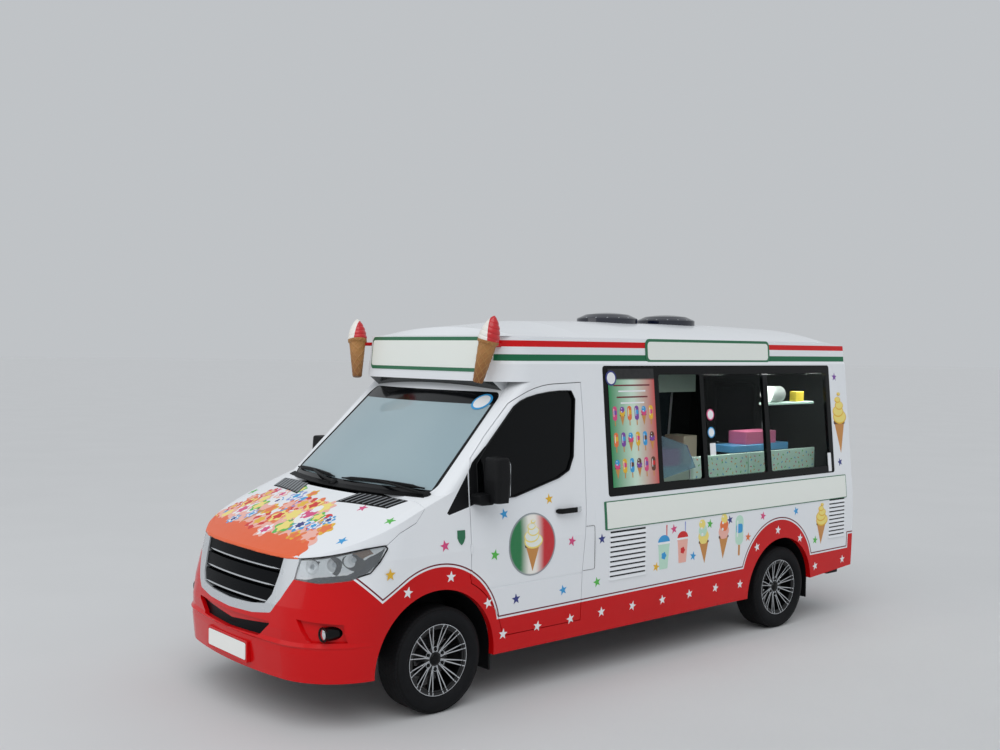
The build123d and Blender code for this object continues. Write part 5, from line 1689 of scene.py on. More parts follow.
@dataclass
class Stars:
    """Small stars on the flanks, as (station, height, ink), and on the bonnet as (x, station, ink).

    The door's polygon, in stations and heights, says which stars move with a cab door. Its upper edge lies
    over the highest star.
    """

    radius: float = 0.039
    lift: float = 0.001
    turn_step: float = 1.9
    sway: float = 0.25
    bonnet_turn: float = 0.3
    cut_spacing: float = 0.005
    cut_rings: int = 12
    flank: tuple = (
        (1.409, 0.681, Ink.LEAF), (2.680, 0.986, Ink.LEAF), (4.142, 0.707, Ink.LEAF),
        (3.846, 0.990, Ink.BLUE), (-0.414, 0.956, Ink.YELLOW), (2.046, 0.715, Ink.YELLOW),
        (0.014, 1.091, Ink.PINK), (2.245, 0.987, Ink.PINK), (3.376, 0.988, Ink.PINK),
        (1.452, 0.991, Ink.NAVY), (2.935, 0.995, Ink.NAVY), (2.479, 0.751, Ink.BLUE),
        (3.177, 0.831, Ink.ORANGE), (4.554, 1.373, Ink.NAVY), (4.542, 2.144, Ink.PURPLE),
        (0.434, 0.987, Ink.LEAF), (0.524, 1.252, Ink.BLUE), (0.943, 1.320, Ink.YELLOW),
        (1.149, 1.007, Ink.PINK), (0.628, 0.664, Ink.NAVY), (1.069, 0.667, Ink.BLUE),
        (-0.278, 0.827, Ink.WHITE), (0.063, 0.885, Ink.WHITE), (0.380, 0.671, Ink.WHITE),
        (0.522, 0.439, Ink.WHITE), (0.835, 0.445, Ink.WHITE), (1.152, 0.449, Ink.WHITE),
        (1.466, 0.453, Ink.WHITE), (1.797, 0.451, Ink.WHITE), (2.134, 0.450, Ink.WHITE),
        (2.453, 0.453, Ink.WHITE), (2.775, 0.459, Ink.WHITE), (3.093, 0.447, Ink.WHITE),
        (3.303, 0.734, Ink.WHITE), (3.590, 0.849, Ink.WHITE), (3.914, 0.748, Ink.WHITE),
        (4.162, 0.472, Ink.WHITE), (4.586, 0.486, Ink.WHITE),
    )
    door: tuple = (
        (0.236, 1.400), (0.236, 0.824), (0.400, 0.687), (0.518, 0.430),
        (1.249, 0.430), (1.252, 0.770), (1.300, 1.400),
    )
    bonnet: tuple = ((0.897, -0.346, Ink.LEAF), (0.781, -0.626, Ink.BLUE), (0.560, -0.330, Ink.PINK))

    def _divide(self, outline: Array, hand: int, ink: Ink) -> list[tuple[str, Mesh]]:
        """A star as one piece on the body or the door, or as two where the door's edge crosses it.

        Args:
            outline: Anticlockwise points.
            hand: One for the left side, minus one for the right.
            ink: Its colour.

        Returns:
            A body's name and a mesh for each part.
        """
        door = "door_left" if hand > 0 else "door_right"
        inside = within(outline, self.door)
        if inside.all() or not inside.any():
            mesh = shape(outline, on_side(hand), self.lift, ink, flip=hand < 0)
            return [(door if inside.all() else "body", mesh)]
        fine = resample(outline, self.cut_spacing)
        mesh = shape(fine, on_side(hand), self.lift, ink, flip=hand < 0, rings=self.cut_rings)
        middles = np.array([mesh.points[list(face)].mean(0) for face in mesh.faces])
        kept = within(middles[:, 1:] - (FRONT_AXLE, 0), self.door)
        return [(door, mesh.part(kept)), ("body", mesh.part(~kept))]

    def build(self, shop: Workshop) -> None:
        """Builds one piece for each body that carries stars.

        Args:
            shop: Puts the pieces into the scene.
        """
        turn = 0.0
        groups: dict[str, list[Mesh]] = {}
        for hand, _ in SIDES:
            for s, z, ink in self.flank:
                turn += self.turn_step
                outline = star(self.radius, (s, z), self.sway * math.sin(turn))
                for carrier, mesh in self._divide(outline, hand, ink):
                    groups.setdefault(carrier, []).append(mesh)
        for hand, _ in SIDES:
            for x, s, ink in self.bonnet:
                outline = star(self.radius, (hand * x, s), self.bonnet_turn)
                groups.setdefault("bonnet", []).append(shape(outline, on_bonnet(), self.lift + 0.0002, ink))
        for body, meshes in groups.items():
            shop.printed(meshes, f"stars_on_{body}", body)


@dataclass
class Roundels:
    """Round door emblem: green, white and red in a soft gradient, a grey ring and a plain cone."""

    at: tuple[float, float] = (0.772, 1.024)
    radius: float = 0.216
    lift: float = 0.0011
    codes: tuple[str, str, str] = ("1C7A45", "F4F1EA", "C8202A")
    ring_code: str = "8F979B"
    ring_from: float = 0.955
    fade: tuple[float, float] = (0.15, 0.35)
    cone: tuple[float, float, float] = (-0.185, 0.37, 0.0016)

    def _disc(self, hand: int) -> Mesh:
        """Rings of a disc tinted by station, the outermost sunk under the door's skin.

        Args:
            hand: One for the left side, minus one for the right.

        Returns:
            The mesh.
        """
        t = turns(64)
        r = np.array([self.radius, self.radius * 0.995, *np.linspace(0.97, 0.0, 22) * self.radius])
        u = self.at[0] + r[:, None] * np.cos(t)
        v = self.at[1] + r[:, None] * np.sin(t)
        w = np.full(u.shape, self.lift)
        w[0] = -SINK
        mesh = skin(on_side(hand)(u, v, w), wrap_columns=True)
        across = np.clip((u - self.at[0]) / self.radius, -1, 1)[..., None]
        green, white, red, grey = tints(*self.codes, self.ring_code)
        start, width = self.fade
        front, rear = [np.clip((end * across - start) / width, 0, 1) for end in (-1, 1)]
        tint = white + (green - white) * front + (red - white) * rear
        edge = (r > self.radius * self.ring_from)[:, None, None]
        mesh.tint = np.where(edge, grey, tint).reshape(-1, 4)
        return mesh.flipped(hand < 0)

    def build(self, shop: Workshop) -> None:
        """Builds one for each cab door, a cone drawn over the disc.

        Args:
            shop: Puts the pieces into the scene.
        """
        for hand, side in SIDES:
            foot, high, lift = self.cone
            art = Picture(on_side(hand), lift, flip=hand < 0)
            art.swirl((self.at[0], self.at[1] + foot), high, Ink.CREAM, Ink.LEMON)
            shop.printed([self._disc(hand), art.mesh()], f"roundel_door_{side}", f"door_{side}")


@dataclass
class SidePanels:
    """Boards and pictures on the serving body's flanks, each board as its stations and heights.

    The edges say how wide the green shows along a board, and at its front end. A louvre's gap starts at a
    share of its pitch. The bars are the widths of the menu's plain lines.
    """

    menu: tuple[float, float, float, float] = (1.590, 2.095, 1.352, 2.228)
    menu_header: float = 0.078
    menu_codes: tuple[str, ...] = ("1F8A50", "CFE8D6", "C8504E", "0D0E10")
    menu_start: tuple[float, float] = (0.055, 0.060)
    menu_pitch: tuple[float, float] = (0.079, 0.195)
    menu_grid: tuple[int, int] = (3, 6)
    sweet: float = 0.15
    menu_inks: tuple[Ink, ...] = (
        Ink.RED, Ink.YELLOW, Ink.BLUE, Ink.LEAF, Ink.PINK, Ink.BROWN, Ink.ORANGE, Ink.PURPLE,
    )
    bars: tuple[float, ...] = (0.40, 0.30, 0.34, 0.26)
    bar_rows: tuple[float, float] = (0.125, 0.044)
    board: tuple[float, float, float, float] = (1.486, 4.624, 1.050, 1.257)
    sign: tuple[float, float, float, float] = (2.030, 3.600, 2.272, 2.456)
    board_edge: tuple[float, float, float] = (0.008, 0.007, 0.022)
    sign_edge: tuple[float, float, float] = (0.05, 0.022, 0.026)
    lift: float = 0.004
    over: float = 0.0005
    vents: tuple = ((1.542, 1.920, 0.675, 1.035), (4.354, 4.590, 0.702, 1.050))
    louvres: int = 10
    gap: float = 0.64

    def _frame(self, spans: tuple[float, float, float, float], corner: float) -> Array:
        """Outline of a board from its low and high stations and heights.

        Args:
            spans: Low and high station, then low and high height.
            corner: Radius of its corners.

        Returns:
            The outline's points.
        """
        front, rear, low, high = spans
        outline = rounded(rear - front, high - low, corner, ((front + rear) / 2, (low + high) / 2))
        return resample(outline, 0.05)

    def _boards(self, hand: int) -> list[Mesh]:
        """The long board and the sign on the roof's band, each edged in green.

        Args:
            hand: One for the left side, minus one for the right.

        Returns:
            A green and a cream shape for each.
        """
        meshes = []
        for spans, (corner, edge, side) in ((self.board, self.board_edge), (self.sign, self.sign_edge)):
            front, rear, low, high = spans
            inner = (front + side, rear - edge, low + edge, high - edge)
            for outline, lift, ink, sink in (
                (self._frame(spans, corner), self.lift, Ink.GREEN, self.lift),
                (self._frame(inner, corner * 0.6), self.lift + self.over, Ink.CREAM, 0.0),
            ):
                meshes.append(shape(outline, on_side(hand), lift, ink, sink, hand < 0, 8))
        return meshes

    def _menu_sheet(self) -> Mesh:
        """The menu's sheet: a black header over a green to pink gradient.

        Returns:
            The mesh.
        """
        front, rear, low, high = self.menu
        rows, columns = 60, 16
        v = np.linspace(low, high, rows)[:, None] * np.ones(columns)
        u = np.linspace(front, rear, columns)[None] * np.ones((rows, 1))
        sheet = skin(on_side()(u, v, np.full(u.shape, self.lift)))
        share = np.clip((u - front) / (rear - front), 0, 1)[..., None]
        green, pale, pink, black = tints(*self.menu_codes)
        first, second = green + (pale - green) * share * 2, pale + (pink - pale) * (share - 0.5) * 2
        tint = np.where(share < 0.5, first, second)
        sheet.tint = np.where(v[..., None] > high - self.menu_header, black, tint).reshape(-1, 4)
        return sheet.flipped()

    def _menu_art(self) -> Mesh:
        """Three rows of lollies and cones on the menu, and four plain bars under its header.

        Returns:
            The mesh.
        """
        front, rear, low, high = self.menu
        art = Picture(on_side(), self.lift + self.over)
        inks = self.menu_inks
        rows, columns = self.menu_grid
        for k in range(rows * columns):
            row, i = divmod(k, columns)
            at = (
                front + self.menu_start[0] + self.menu_pitch[0] * i,
                low + self.menu_start[1] + self.menu_pitch[1] * row,
            )
            first, second, third, fourth = [inks[(k + shift) % len(inks)] for shift in (0, 2, 3, 4)]
            if (row + i) % 3:
                art.lolly(at, self.sweet, first, third)
            else:
                art.cone(at, self.sweet, (fourth, second))
        top, step = self.bar_rows
        for i, wide in enumerate(self.bars):
            at = ((front + rear) / 2, high - top - step * i)
            art.add(rounded(wide, 0.011, 0.005, at), (Ink.DARK_RED, Ink.WHITE)[i % 2])
        return art.mesh()

    def _pictures(self, hand: int) -> Mesh:
        """Cups, lollies and cones under the long board and on the rear pillar.

        Args:
            hand: One for the left side, minus one for the right.

        Returns:
            The mesh.
        """
        art = Picture(on_side(hand), 0.001, flip=hand < 0)
        art.cup((2.130, 0.690), 0.34, Ink.MINT, Ink.BLUE, Ink.RED)
        art.cup((2.350, 0.715), 0.32, Ink.PALE_PINK, Ink.RED, Ink.LILAC)
        art.cone((2.620, 0.680), 0.33, (Ink.LEMON, Ink.MINT, Ink.LEMON), -0.03)
        art.cone((2.850, 0.690), 0.34, (Ink.PALE_PINK, Ink.ORANGE, Ink.LEMON), 0.01)
        art.lolly((3.060, 0.690), 0.34, Ink.MINT, Ink.BLUE)
        art.swirl((4.230, 0.665), 0.38, Ink.LEMON, Ink.YELLOW)
        art.swirl((4.580, 1.455), 0.58, Ink.LEMON, Ink.YELLOW, 0.78)
        return art.mesh()

    def _gap_shade(self, hand: int) -> Mesh:
        """Dark strips under the louvres of both vents, painted shade in the gaps between the slats.

        Args:
            hand: One for the left side, minus one for the right.

        Returns:
            The mesh.
        """
        meshes = []
        for front, rear, low, high in self.vents:
            step = (high - low) / self.louvres
            for i in range(self.louvres):
                foot, top = low + step * (i + self.gap), low + step * (i + 1)
                u, v = between(((front, foot), (rear, foot)), ((front, top), (rear, top)))
                meshes.append(patch(u, v, on_side(hand), 0.0012, flip=hand > 0))
        return join(meshes)

    def build(self, shop: Workshop) -> None:
        """Builds both flanks; the menu is on the serving side only.

        Args:
            shop: Puts the pieces into the scene.
        """
        for hand, side in SIDES:
            shop.printed(self._boards(hand), f"boards_{side}")
            # Painted shade: dark strips in the louvres' gaps.
            shop.trim(self._gap_shade(hand), f"louvre_gap_shade_{side}")
            shop.printed([self._pictures(hand)], f"pictures_{side}")
        shop.printed([self._menu_sheet(), self._menu_art()], "menu_board")


@dataclass
class Stickers:
    """Blank badges and cards on the serving window, its frame, the windscreen and the left wing.

    A card is its middle's station and height, its size and its lift; a round has a radius and an ink. Those
    on the glass have a negative lift, since it is set in, and a deeper rim.
    """

    cards: tuple = ((2.775, 1.576, 0.070, 0.098, -0.0085), (4.388, 1.383, 0.046, 0.165, 0.0035))
    rounds: tuple = (
        (2.765, 1.854, 0.046, -0.0085, Ink.PINK), (2.765, 1.711, 0.044, -0.0085, Ink.BLUE),
        (1.622, 2.158, 0.056, 0.0055, Ink.NAVY),
    )
    club: tuple[float, float, float] = (0.672, 1.996, 0.078)
    shield: tuple = (
        (0.118, 1.180), (0.182, 1.178), (0.181, 1.128), (0.168, 1.100),
        (0.150, 1.082), (0.130, 1.102), (0.118, 1.130),
    )
    rim: tuple[float, float] = (0.78, 0.80)
    lean: float = 0.67

    @staticmethod
    def _sink(lift: float) -> float:
        """Depth of a sticker's rim: more on the glass than on the frame."""
        return 0.011 if lift < 0 else 0.001

    def build(self, shop: Workshop) -> None:
        """Builds the cards and badges: a round's face is white inside a coloured rim.

        Args:
            shop: Puts the pieces into the scene.
        """
        place = on_side()
        meshes = []
        for s, z, wide, high, lift in self.cards:
            meshes.append(shape(rounded(wide, high, 0.006, (s, z)), place, lift, Ink.WHITE, self._sink(lift)))
        for s, z, radius, lift, ink in self.rounds:
            for share, over, tone in ((1.0, 0.0, ink), (self.rim[0], 0.0004, Ink.WHITE)):
                outline = disc(radius * share, (s, z), 32)
                meshes.append(shape(outline, place, lift + over, tone, self._sink(lift)))
        meshes.append(shape(np.array(self.shield), place, 0.0025, Ink.GREEN, 0.004))
        shop.printed(meshes, "stickers")
        x, z, radius = self.club
        badge = Picture(on_screen(), 0.0015)
        for layer, (share, ink) in enumerate(((1.0, Ink.BLUE), (self.rim[1], Ink.WHITE))):
            badge.add(disc(radius * share, (x, z), 40, squeeze=self.lean), ink, layer)
        shop.printed([badge.mesh()], "screen_badge")


@dataclass
class BonnetArt:
    """Bright print over the front of the bonnet: overlapping discs along its edge, blossoms and sweets.

    The span is low and high x, then front and rear station. The edge is the bonnet's, as (x, station). The
    wrap is how far the print goes over that edge, and how far back and down it turns. Each cut draws the
    print's rear end forward on one side, by a depth, from a distance across. A row of discs is its count,
    how far it runs past the print's end, its depth, the size and pace of its wave, then the discs' radius,
    lobes, swell, turn and ink.
    """

    seed: int = 11
    count: int = 34
    golden: float = 0.618
    bow: float = 0.10
    cuts: tuple[tuple[int, float, float], ...] = ((1, 0.22, 0.1), (-1, 0.14, -0.2))
    span: tuple[float, float, float, float] = (-0.84, 0.56, -0.885, -0.270)
    edge: tuple = (
        (0.0, -0.906), (0.23, -0.901), (0.39, -0.888), (0.54, -0.868),
        (0.67, -0.828), (0.78, -0.755), (0.89, -0.630),
    )
    wrap: tuple[float, float, float] = (0.016, 0.012, 0.017)
    cut_width: float = 0.5
    inset: float = 0.10
    crowding: float = 0.8
    lift: float = 0.0012
    lip_lift: float = 0.0026
    sizes: tuple[float, float] = (0.040, 0.050)
    disc_rows: tuple = (
        (11, 0.0, 0.15, (0.03, 2.4), 0.105, 5, 0.14, 0.9, Ink.PALE_PINK),
        (12, 0.03, 0.045, (0.02, 2.1), 0.100, 7, 0.08, 0.7, Ink.FLAME),
    )
    lip_rows: tuple[float, ...] = (
        0.030, 0.012, 0.004, 0.001, 0.0, -0.0005, -0.001, -0.002, -0.004, -0.008, -0.012, -0.016,
    )
    sets: tuple = (
        (Ink.ORANGE, Ink.LEMON, Ink.RED), (Ink.PALE_PINK, Ink.WHITE, Ink.PINK),
        (Ink.BLUE, Ink.WHITE, Ink.NAVY), (Ink.YELLOW, Ink.ORANGE), (Ink.RED, Ink.PALE_PINK, Ink.YELLOW),
        (Ink.PALE_PINK, Ink.LEMON), (Ink.LEAF, Ink.LEMON), (Ink.LILAC, Ink.WHITE, Ink.BLUE),
        (Ink.ORANGE, Ink.PALE_PINK),
    )

    def _place(self) -> Place:
        """The bonnet's surface, with every point kept behind the bonnet's front edge.

        Returns:
            The rule that places points.
        """
        surface = on_bonnet()
        edge = np.array(self.edge)
        reach, back, fall = self.wrap

        def place(u: Array, v: Array, w: Array) -> Array:
            """Stations in front of the edge turn down over its lip, 16 mm at most.

            Args:
                u: First coordinate of each point.
                v: Second coordinate of each.
                w: Lift of each over the surface.

            Returns:
                Three coordinates for each.
            """
            line = np.interp(abs(u), edge[:, 0], edge[:, 1])
            over = np.clip((line - v) / reach, 0.0, 1.0)
            points = surface(u, np.maximum(v, line), w)
            return points - np.stack([0.0 * over, back * np.sqrt(over), fall * over], -1)

        return place

    def _lip(self) -> Mesh:
        """Flame-coloured strip round the front edge, in rows from 30 mm behind it to 16 mm over it.

        Returns:
            The mesh.
        """
        edge = np.array(self.edge)
        u = np.linspace(self.span[0] + 0.02, self.span[1] + 0.04, 90)
        rows = np.array(self.lip_rows)
        v = np.interp(abs(u), edge[:, 0], edge[:, 1])[None] + rows[:, None]
        strip = patch(np.tile(u, (len(rows), 1)), v, self._place(), self.lip_lift, 0.001, True)
        strip.tint = np.tile(Ink.FLAME.linear, (len(strip.points), 1))
        return strip

    def _sweets(self, art: Picture) -> None:
        """Four large sweets among the blossoms.

        Args:
            art: The picture that it is drawn in.
        """
        art.cone((-0.36, -0.74), 0.34, (Ink.PALE_PINK, Ink.WHITE), 0.02)
        art.lolly((-0.08, -0.66), 0.30, Ink.BLUE, Ink.LILAC)
        art.cone((0.20, -0.80), 0.36, (Ink.CREAM, Ink.PINK, Ink.WHITE), 0.01)
        art.lolly((0.40, -0.72), 0.26, Ink.RED, Ink.YELLOW)

    def _discs(self, art: Picture) -> None:
        """Two rows of broad scalloped discs along the front edge, pale ones behind flame ones.

        Args:
            art: The picture that it is drawn in.
        """
        low, high, front, _ = self.span
        for layer, (count, grown, depth, wave, radius, lobes, swell, spin, ink) in enumerate(self.disc_rows):
            for i in range(count):
                x = low + (high + grown - low) * (i + 0.5) / count
                s = front + depth + wave[0] * math.sin(i * wave[1]) + self.bow * x * x
                art.add(disc(radius, (x, s), 40, lobes, swell, turn=i * spin), ink, layer, rings=4)

    def build(self, shop: Workshop) -> None:
        """Builds the print: two rows of broad discs, then blossoms in a golden-ratio spread, then sweets.

        Args:
            shop: Puts the pieces into the scene.
        """
        rng = np.random.default_rng(self.seed)
        art = Picture(self._place(), self.lift)
        low, high, front, rear = self.span
        self._discs(art)
        for i in range(self.count):
            x = low + (high - low) * ((i * self.golden) % 1.0)
            depth = ((i + 0.5) / self.count) ** self.crowding
            reach = rear - sum(
                cut * max(0.0, (hand * x + start) / self.cut_width) for hand, cut, start in self.cuts
            )
            at = (x, front + self.inset + self.bow * x * x + (reach - front - self.inset) * depth)
            inks = self.sets[i % len(self.sets)]
            radius = self.sizes[0] + self.sizes[1] * rng.random()
            art.blossom(at, radius, inks, 5 + i % 3, rng.random() * 3)
        self._sweets(art)
        shop.printed([art.mesh(), self._lip()], "bonnet_print", "bonnet")


@dataclass
class Nose:
    """Thin bright bars on the slats, the lamps' inner parts, fog lamp bezels, cowl vents and plates.

    A bar is its half-width, height and thickness. A bowl is the middle of a lamp's reflector as x, station
    and height, with its radius and depth. The lamp's edges and the fog lamp are given in the same way.
    """

    bars: tuple[tuple[float, float, float], ...] = (
        (0.505, 0.969, 0.006), (0.490, 0.866, 0.006), (0.468, 0.764, 0.006),
    )
    bar_points: int = 40
    bar_sink: float = 0.012
    bowls: tuple = (
        (0.7297, -0.8159, 1.0116, 0.046, 0.022), (0.8437, -0.7222, 1.0306, 0.047, 0.026),
        (0.9143, -0.6234, 1.0608, 0.034, 0.014),
    )
    bulb: tuple = ((0.013, -0.010), (0.017, 0.0), (0.015, 0.009), (0.009, 0.015), (0.002, 0.017))
    lamp_grid: tuple[int, int] = (60, 150)
    lamp_depth: float = 0.011
    lamp_low: tuple = (
        (0.641, -0.877, 0.930), (0.746, -0.829, 0.918), (0.830, -0.767, 0.917), (0.921, -0.655, 0.941),
        (0.971, -0.540, 0.977), (0.986, -0.481, 1.041), (0.990, -0.425, 1.120),
    )
    lamp_high: tuple = (
        (0.655, -0.842, 1.052), (0.716, -0.806, 1.063), (0.782, -0.759, 1.075), (0.842, -0.701, 1.090),
        (0.893, -0.634, 1.107), (0.948, -0.548, 1.126), (0.985, -0.440, 1.138),
    )
    lamp_line: tuple = (
        (0.0, 0.06), (0.6, 0.12), (1.25, 0.25), (2.0, 0.30), (3.0, 0.24), (3.3, 0.27),
        (3.6, 0.35), (4.0, 0.47), (4.4, 0.55), (4.8, 0.56), (5.5, 0.50), (6.0, 0.50),
    )
    lamp_codes: tuple[str, ...] = ("4A4F54", "FAFCFD", "8A6F5E", "FFFFFF", "16171A")
    amber: tuple[float, float] = (4.0, 5.1)
    line_half: float = 0.045
    shade_from: float = 0.93
    fog: tuple[float, float, float, float] = (0.868, -0.812, 0.618, 0.043)
    fog_ring: tuple = ((1.02, -0.012), (1.10, 0.001), (1.02, 0.007), (0.86, 0.005), (0.80, -0.004))
    fog_lens: tuple = ((0.80, -0.006), (0.72, 0.001), (0.4, 0.005), (0.08, 0.0065))
    vent: tuple[tuple[float, float], ...] = (
        (0.258, -0.345), (0.740, -0.262), (0.795, -0.135), (0.330, -0.205),
    )
    vent_bars: int = 9
    intake: tuple = (
        ((-0.372, 0.530), (0.0, 0.522), (0.372, 0.530)), ((-0.500, 0.634), (0.0, 0.588), (0.500, 0.634)),
        ((-0.530, 0.660), (0.0, 0.655), (0.530, 0.660)),
    )
    intake_depths: tuple[float, float] = (0.030, 0.026)
    cowl: tuple[float, float, float, float] = (0.86, -0.196, -0.150, 0.184)
    plate: tuple[float, float, float] = (0.516, 0.108, 0.012)
    plate_front: tuple[float, float] = (-1.0095, 0.418)
    plate_rear: tuple[float, float] = (4.731, 0.560)

    def _bars(self) -> Mesh:
        """Each bar is a small rounded profile carried across the nose at one height, slim at its ends.

        Returns:
            The mesh.
        """
        meshes = []
        count = self.bar_points
        for half, z, thick in self.bars:
            line = np.stack([np.linspace(-half, half, count), np.full(count, z)], -1)
            path = laid(on_nose(self.bar_sink), line, 0.0)
            size = np.clip(from_ends(count) / 4, 0.15, 1)
            meshes.append(sweep(oval(0.006, thick, 10, 2.6), path, size=size))
        return join(meshes)

    def _lamp_tint(self, share: Array, index: Array) -> Array:
        """Colours inside a lamp: dark under a curved bright line, pale over it, brown at the indicator.

        Args:
            share: Share of the way up at each row.
            index: Place along at each column.

        Returns:
            One colour for each point.
        """
        line = np.array(self.lamp_line)
        bright = np.interp(index, line[:, 0], line[:, 1])[None]
        dark, pale, brown, white, black = tints(*self.lamp_codes)
        tint = np.where((share < bright)[..., None], dark, pale)
        amber = (share > bright) * (index > self.amber[0]) * (index < self.amber[1])
        tint = np.where(amber[..., None], brown, tint)
        tint = np.where((abs(share - bright) < self.line_half)[..., None], white, tint)
        shaded = (share > self.shade_from) + 0 * bright > 0
        return np.where(shaded[..., None], black, tint).reshape(-1, 4)

    def _lamp(self, hand: int) -> list[Mesh]:
        """Plated sheet inside a lamp, its bulbs, and the seal along its upper and rear edges.

        The sheet is a ruled grid between the lamp's lower and upper edges, drawn inwards. It goes deeper as
        the root of one less the squared distance from each bowl's middle.

        Args:
            hand: One for the left side, minus one for the right.

        Returns:
            The sheet with its tint, the bulbs and the seal.
        """
        rows, columns = self.lamp_grid
        index = np.linspace(0, len(self.lamp_low) - 1, columns)
        knots = np.arange(len(self.lamp_low))
        low, high = [
            np.stack([np.interp(index, knots, np.array(table)[:, i]) for i in range(3)], -1)
            for table in (self.lamp_low, self.lamp_high)
        ]
        share = np.linspace(0, 1, rows)[:, None]
        points = low[None] * (1 - share[..., None]) + high[None] * share[..., None]
        outwards = np.cross(np.gradient(low + high, axis=0), high - low)
        outwards = np.stack([
            np.convolve(np.pad(outwards[:, i], 12, mode="edge"), np.ones(25), "valid") for i in range(3)
        ], -1)
        outwards /= np.linalg.norm(outwards, axis=1, keepdims=True)
        depth = np.full(points.shape[:2], self.lamp_depth)
        bulbs = []
        for x, s, z, radius, deep in self.bowls:
            centre = np.array((x, s, z))
            away = np.linalg.norm(points - centre, axis=-1) / radius
            depth = depth + deep * np.sqrt(np.clip(1 - away ** 2, 0, 1))
            normal = outwards[np.argmin(np.linalg.norm(low + high - 2 * centre, axis=1))]
            bulbs.append(turned(self.bulb, centre - normal * (deep + 0.002) + SHIFT, normal, 24))
        sheet = skin(points - outwards[None] * depth[..., None] + SHIFT)
        sheet.tint = self._lamp_tint(share, index)
        rim = np.concatenate([high, low[:columns * 5 // 9:-1]]) + SHIFT
        seal = sweep(oval(0.0045, 0.0045, 8), rim)
        return [mesh.mirrored(hand < 0) for mesh in (sheet, join(bulbs), seal)]

    def _fog(self, hand: int) -> tuple[Mesh, Mesh]:
        """A stepped ring and a shallow domed lens.

        Args:
            hand: One for the left side, minus one for the right.

        Returns:
            The ring and the lens.
        """
        x, s, z, radius = self.fog
        centre = (hand * x, FRONT_AXLE + s, z)
        ring, lens = [np.array(profile) * (radius, 1) for profile in (self.fog_ring, self.fog_lens)]
        return turned(ring, centre, (0, -1, 0), 36), turned(lens, centre, (0, -1, 0), 30)

    def _vent(self, hand: int) -> tuple[Mesh, Mesh]:
        """A dark panel of slots in the bonnet's rear corner, and the slots' bars.

        Args:
            hand: One for the left side, minus one for the right.

        Returns:
            The panel and the bars.
        """
        corners = np.array(self.vent)
        outline = corners * (hand, 1)
        place = on_bonnet()
        panel = shape(resample(outline[::hand], 0.03), place, 0.0022, Ink.BLACK, rings=6)
        bars = []
        for i in range(self.vent_bars):
            share = (i + 0.5) / self.vent_bars
            first = corners[0] * (1 - share) + corners[1] * share
            last = corners[3] * (1 - share) + corners[2] * share
            line = first + (last - first) * np.linspace(0.06, 0.94, 8)[:, None]
            bars.append(sweep(oval(0.012, 0.0025, 8), laid(place, line * (hand, 1), 0.0035)))
        return panel.bare(), join(bars)

    def _sides(self, shop: Workshop) -> None:
        """Lamp, fog lamp and vent of each side.

        Args:
            shop: Puts the pieces into the scene.
        """
        for hand, side in SIDES:
            sheet, bulbs, seal = self._lamp(hand)
            shop.trim(seal, f"lamp_seal_{side}", finish="rubber")
            shop.put(sheet, f"lamp_sheet_{side}", "body", "lamp_plating", 60.0)
            shop.put(bulbs, f"lamp_bulbs_{side}", "body", "clear_lens")
            ring, lens = self._fog(hand)
            shop.put(ring, f"fog_ring_{side}", "body", "black_gloss")
            shop.put(lens, f"fog_lens_{side}", "body", "chrome")
            panel, bars = self._vent(hand)
            shop.trim(panel, f"cowl_vent_{side}", "bonnet")
            shop.trim(bars, f"cowl_vent_bars_{side}", "bonnet", "mesh_grey")

    def build(self, shop: Workshop) -> None:
        """Builds the nose's own pieces.

        Args:
            shop: Puts the pieces into the scene.
        """
        shop.put(self._bars(), "grille_bright_bars", "body", "chrome")
        self._sides(shop)
        mesh, panel = [
            patch(*between(*lines, 5, 25), on_nose(depth), 0.0)
            for lines, depth in zip((self.intake[:2], self.intake[1:]), self.intake_depths)
        ]
        shop.trim(mesh, "intake_mesh", finish="slat_black")
        shop.put(panel, "intake_panel", "body", "gloss_red")
        half, front, rear, bow = self.cowl
        x = np.linspace(-half, half, 41)
        v = np.linspace(front, rear, 4)[:, None] + bow * x ** 2
        shop.trim(patch(np.repeat(x[None], 4, 0), v, on_bonnet(), 0.003), "cowl_panel")
        for name, (s, z), thick, facing, finish in (
            ("plate_front", self.plate_front, 0.003, -1.0, "plate_white"),
            ("plate_rear", self.plate_rear, 0.004, 1.0, "plate_yellow"),
        ):
            outline = rounded(*self.plate, (0, z))
            board = slab(outline, thick, 0.001, on_wall(1, FRONT_AXLE + s, facing), facing > 0)
            shop.put(board, name, "body", finish)


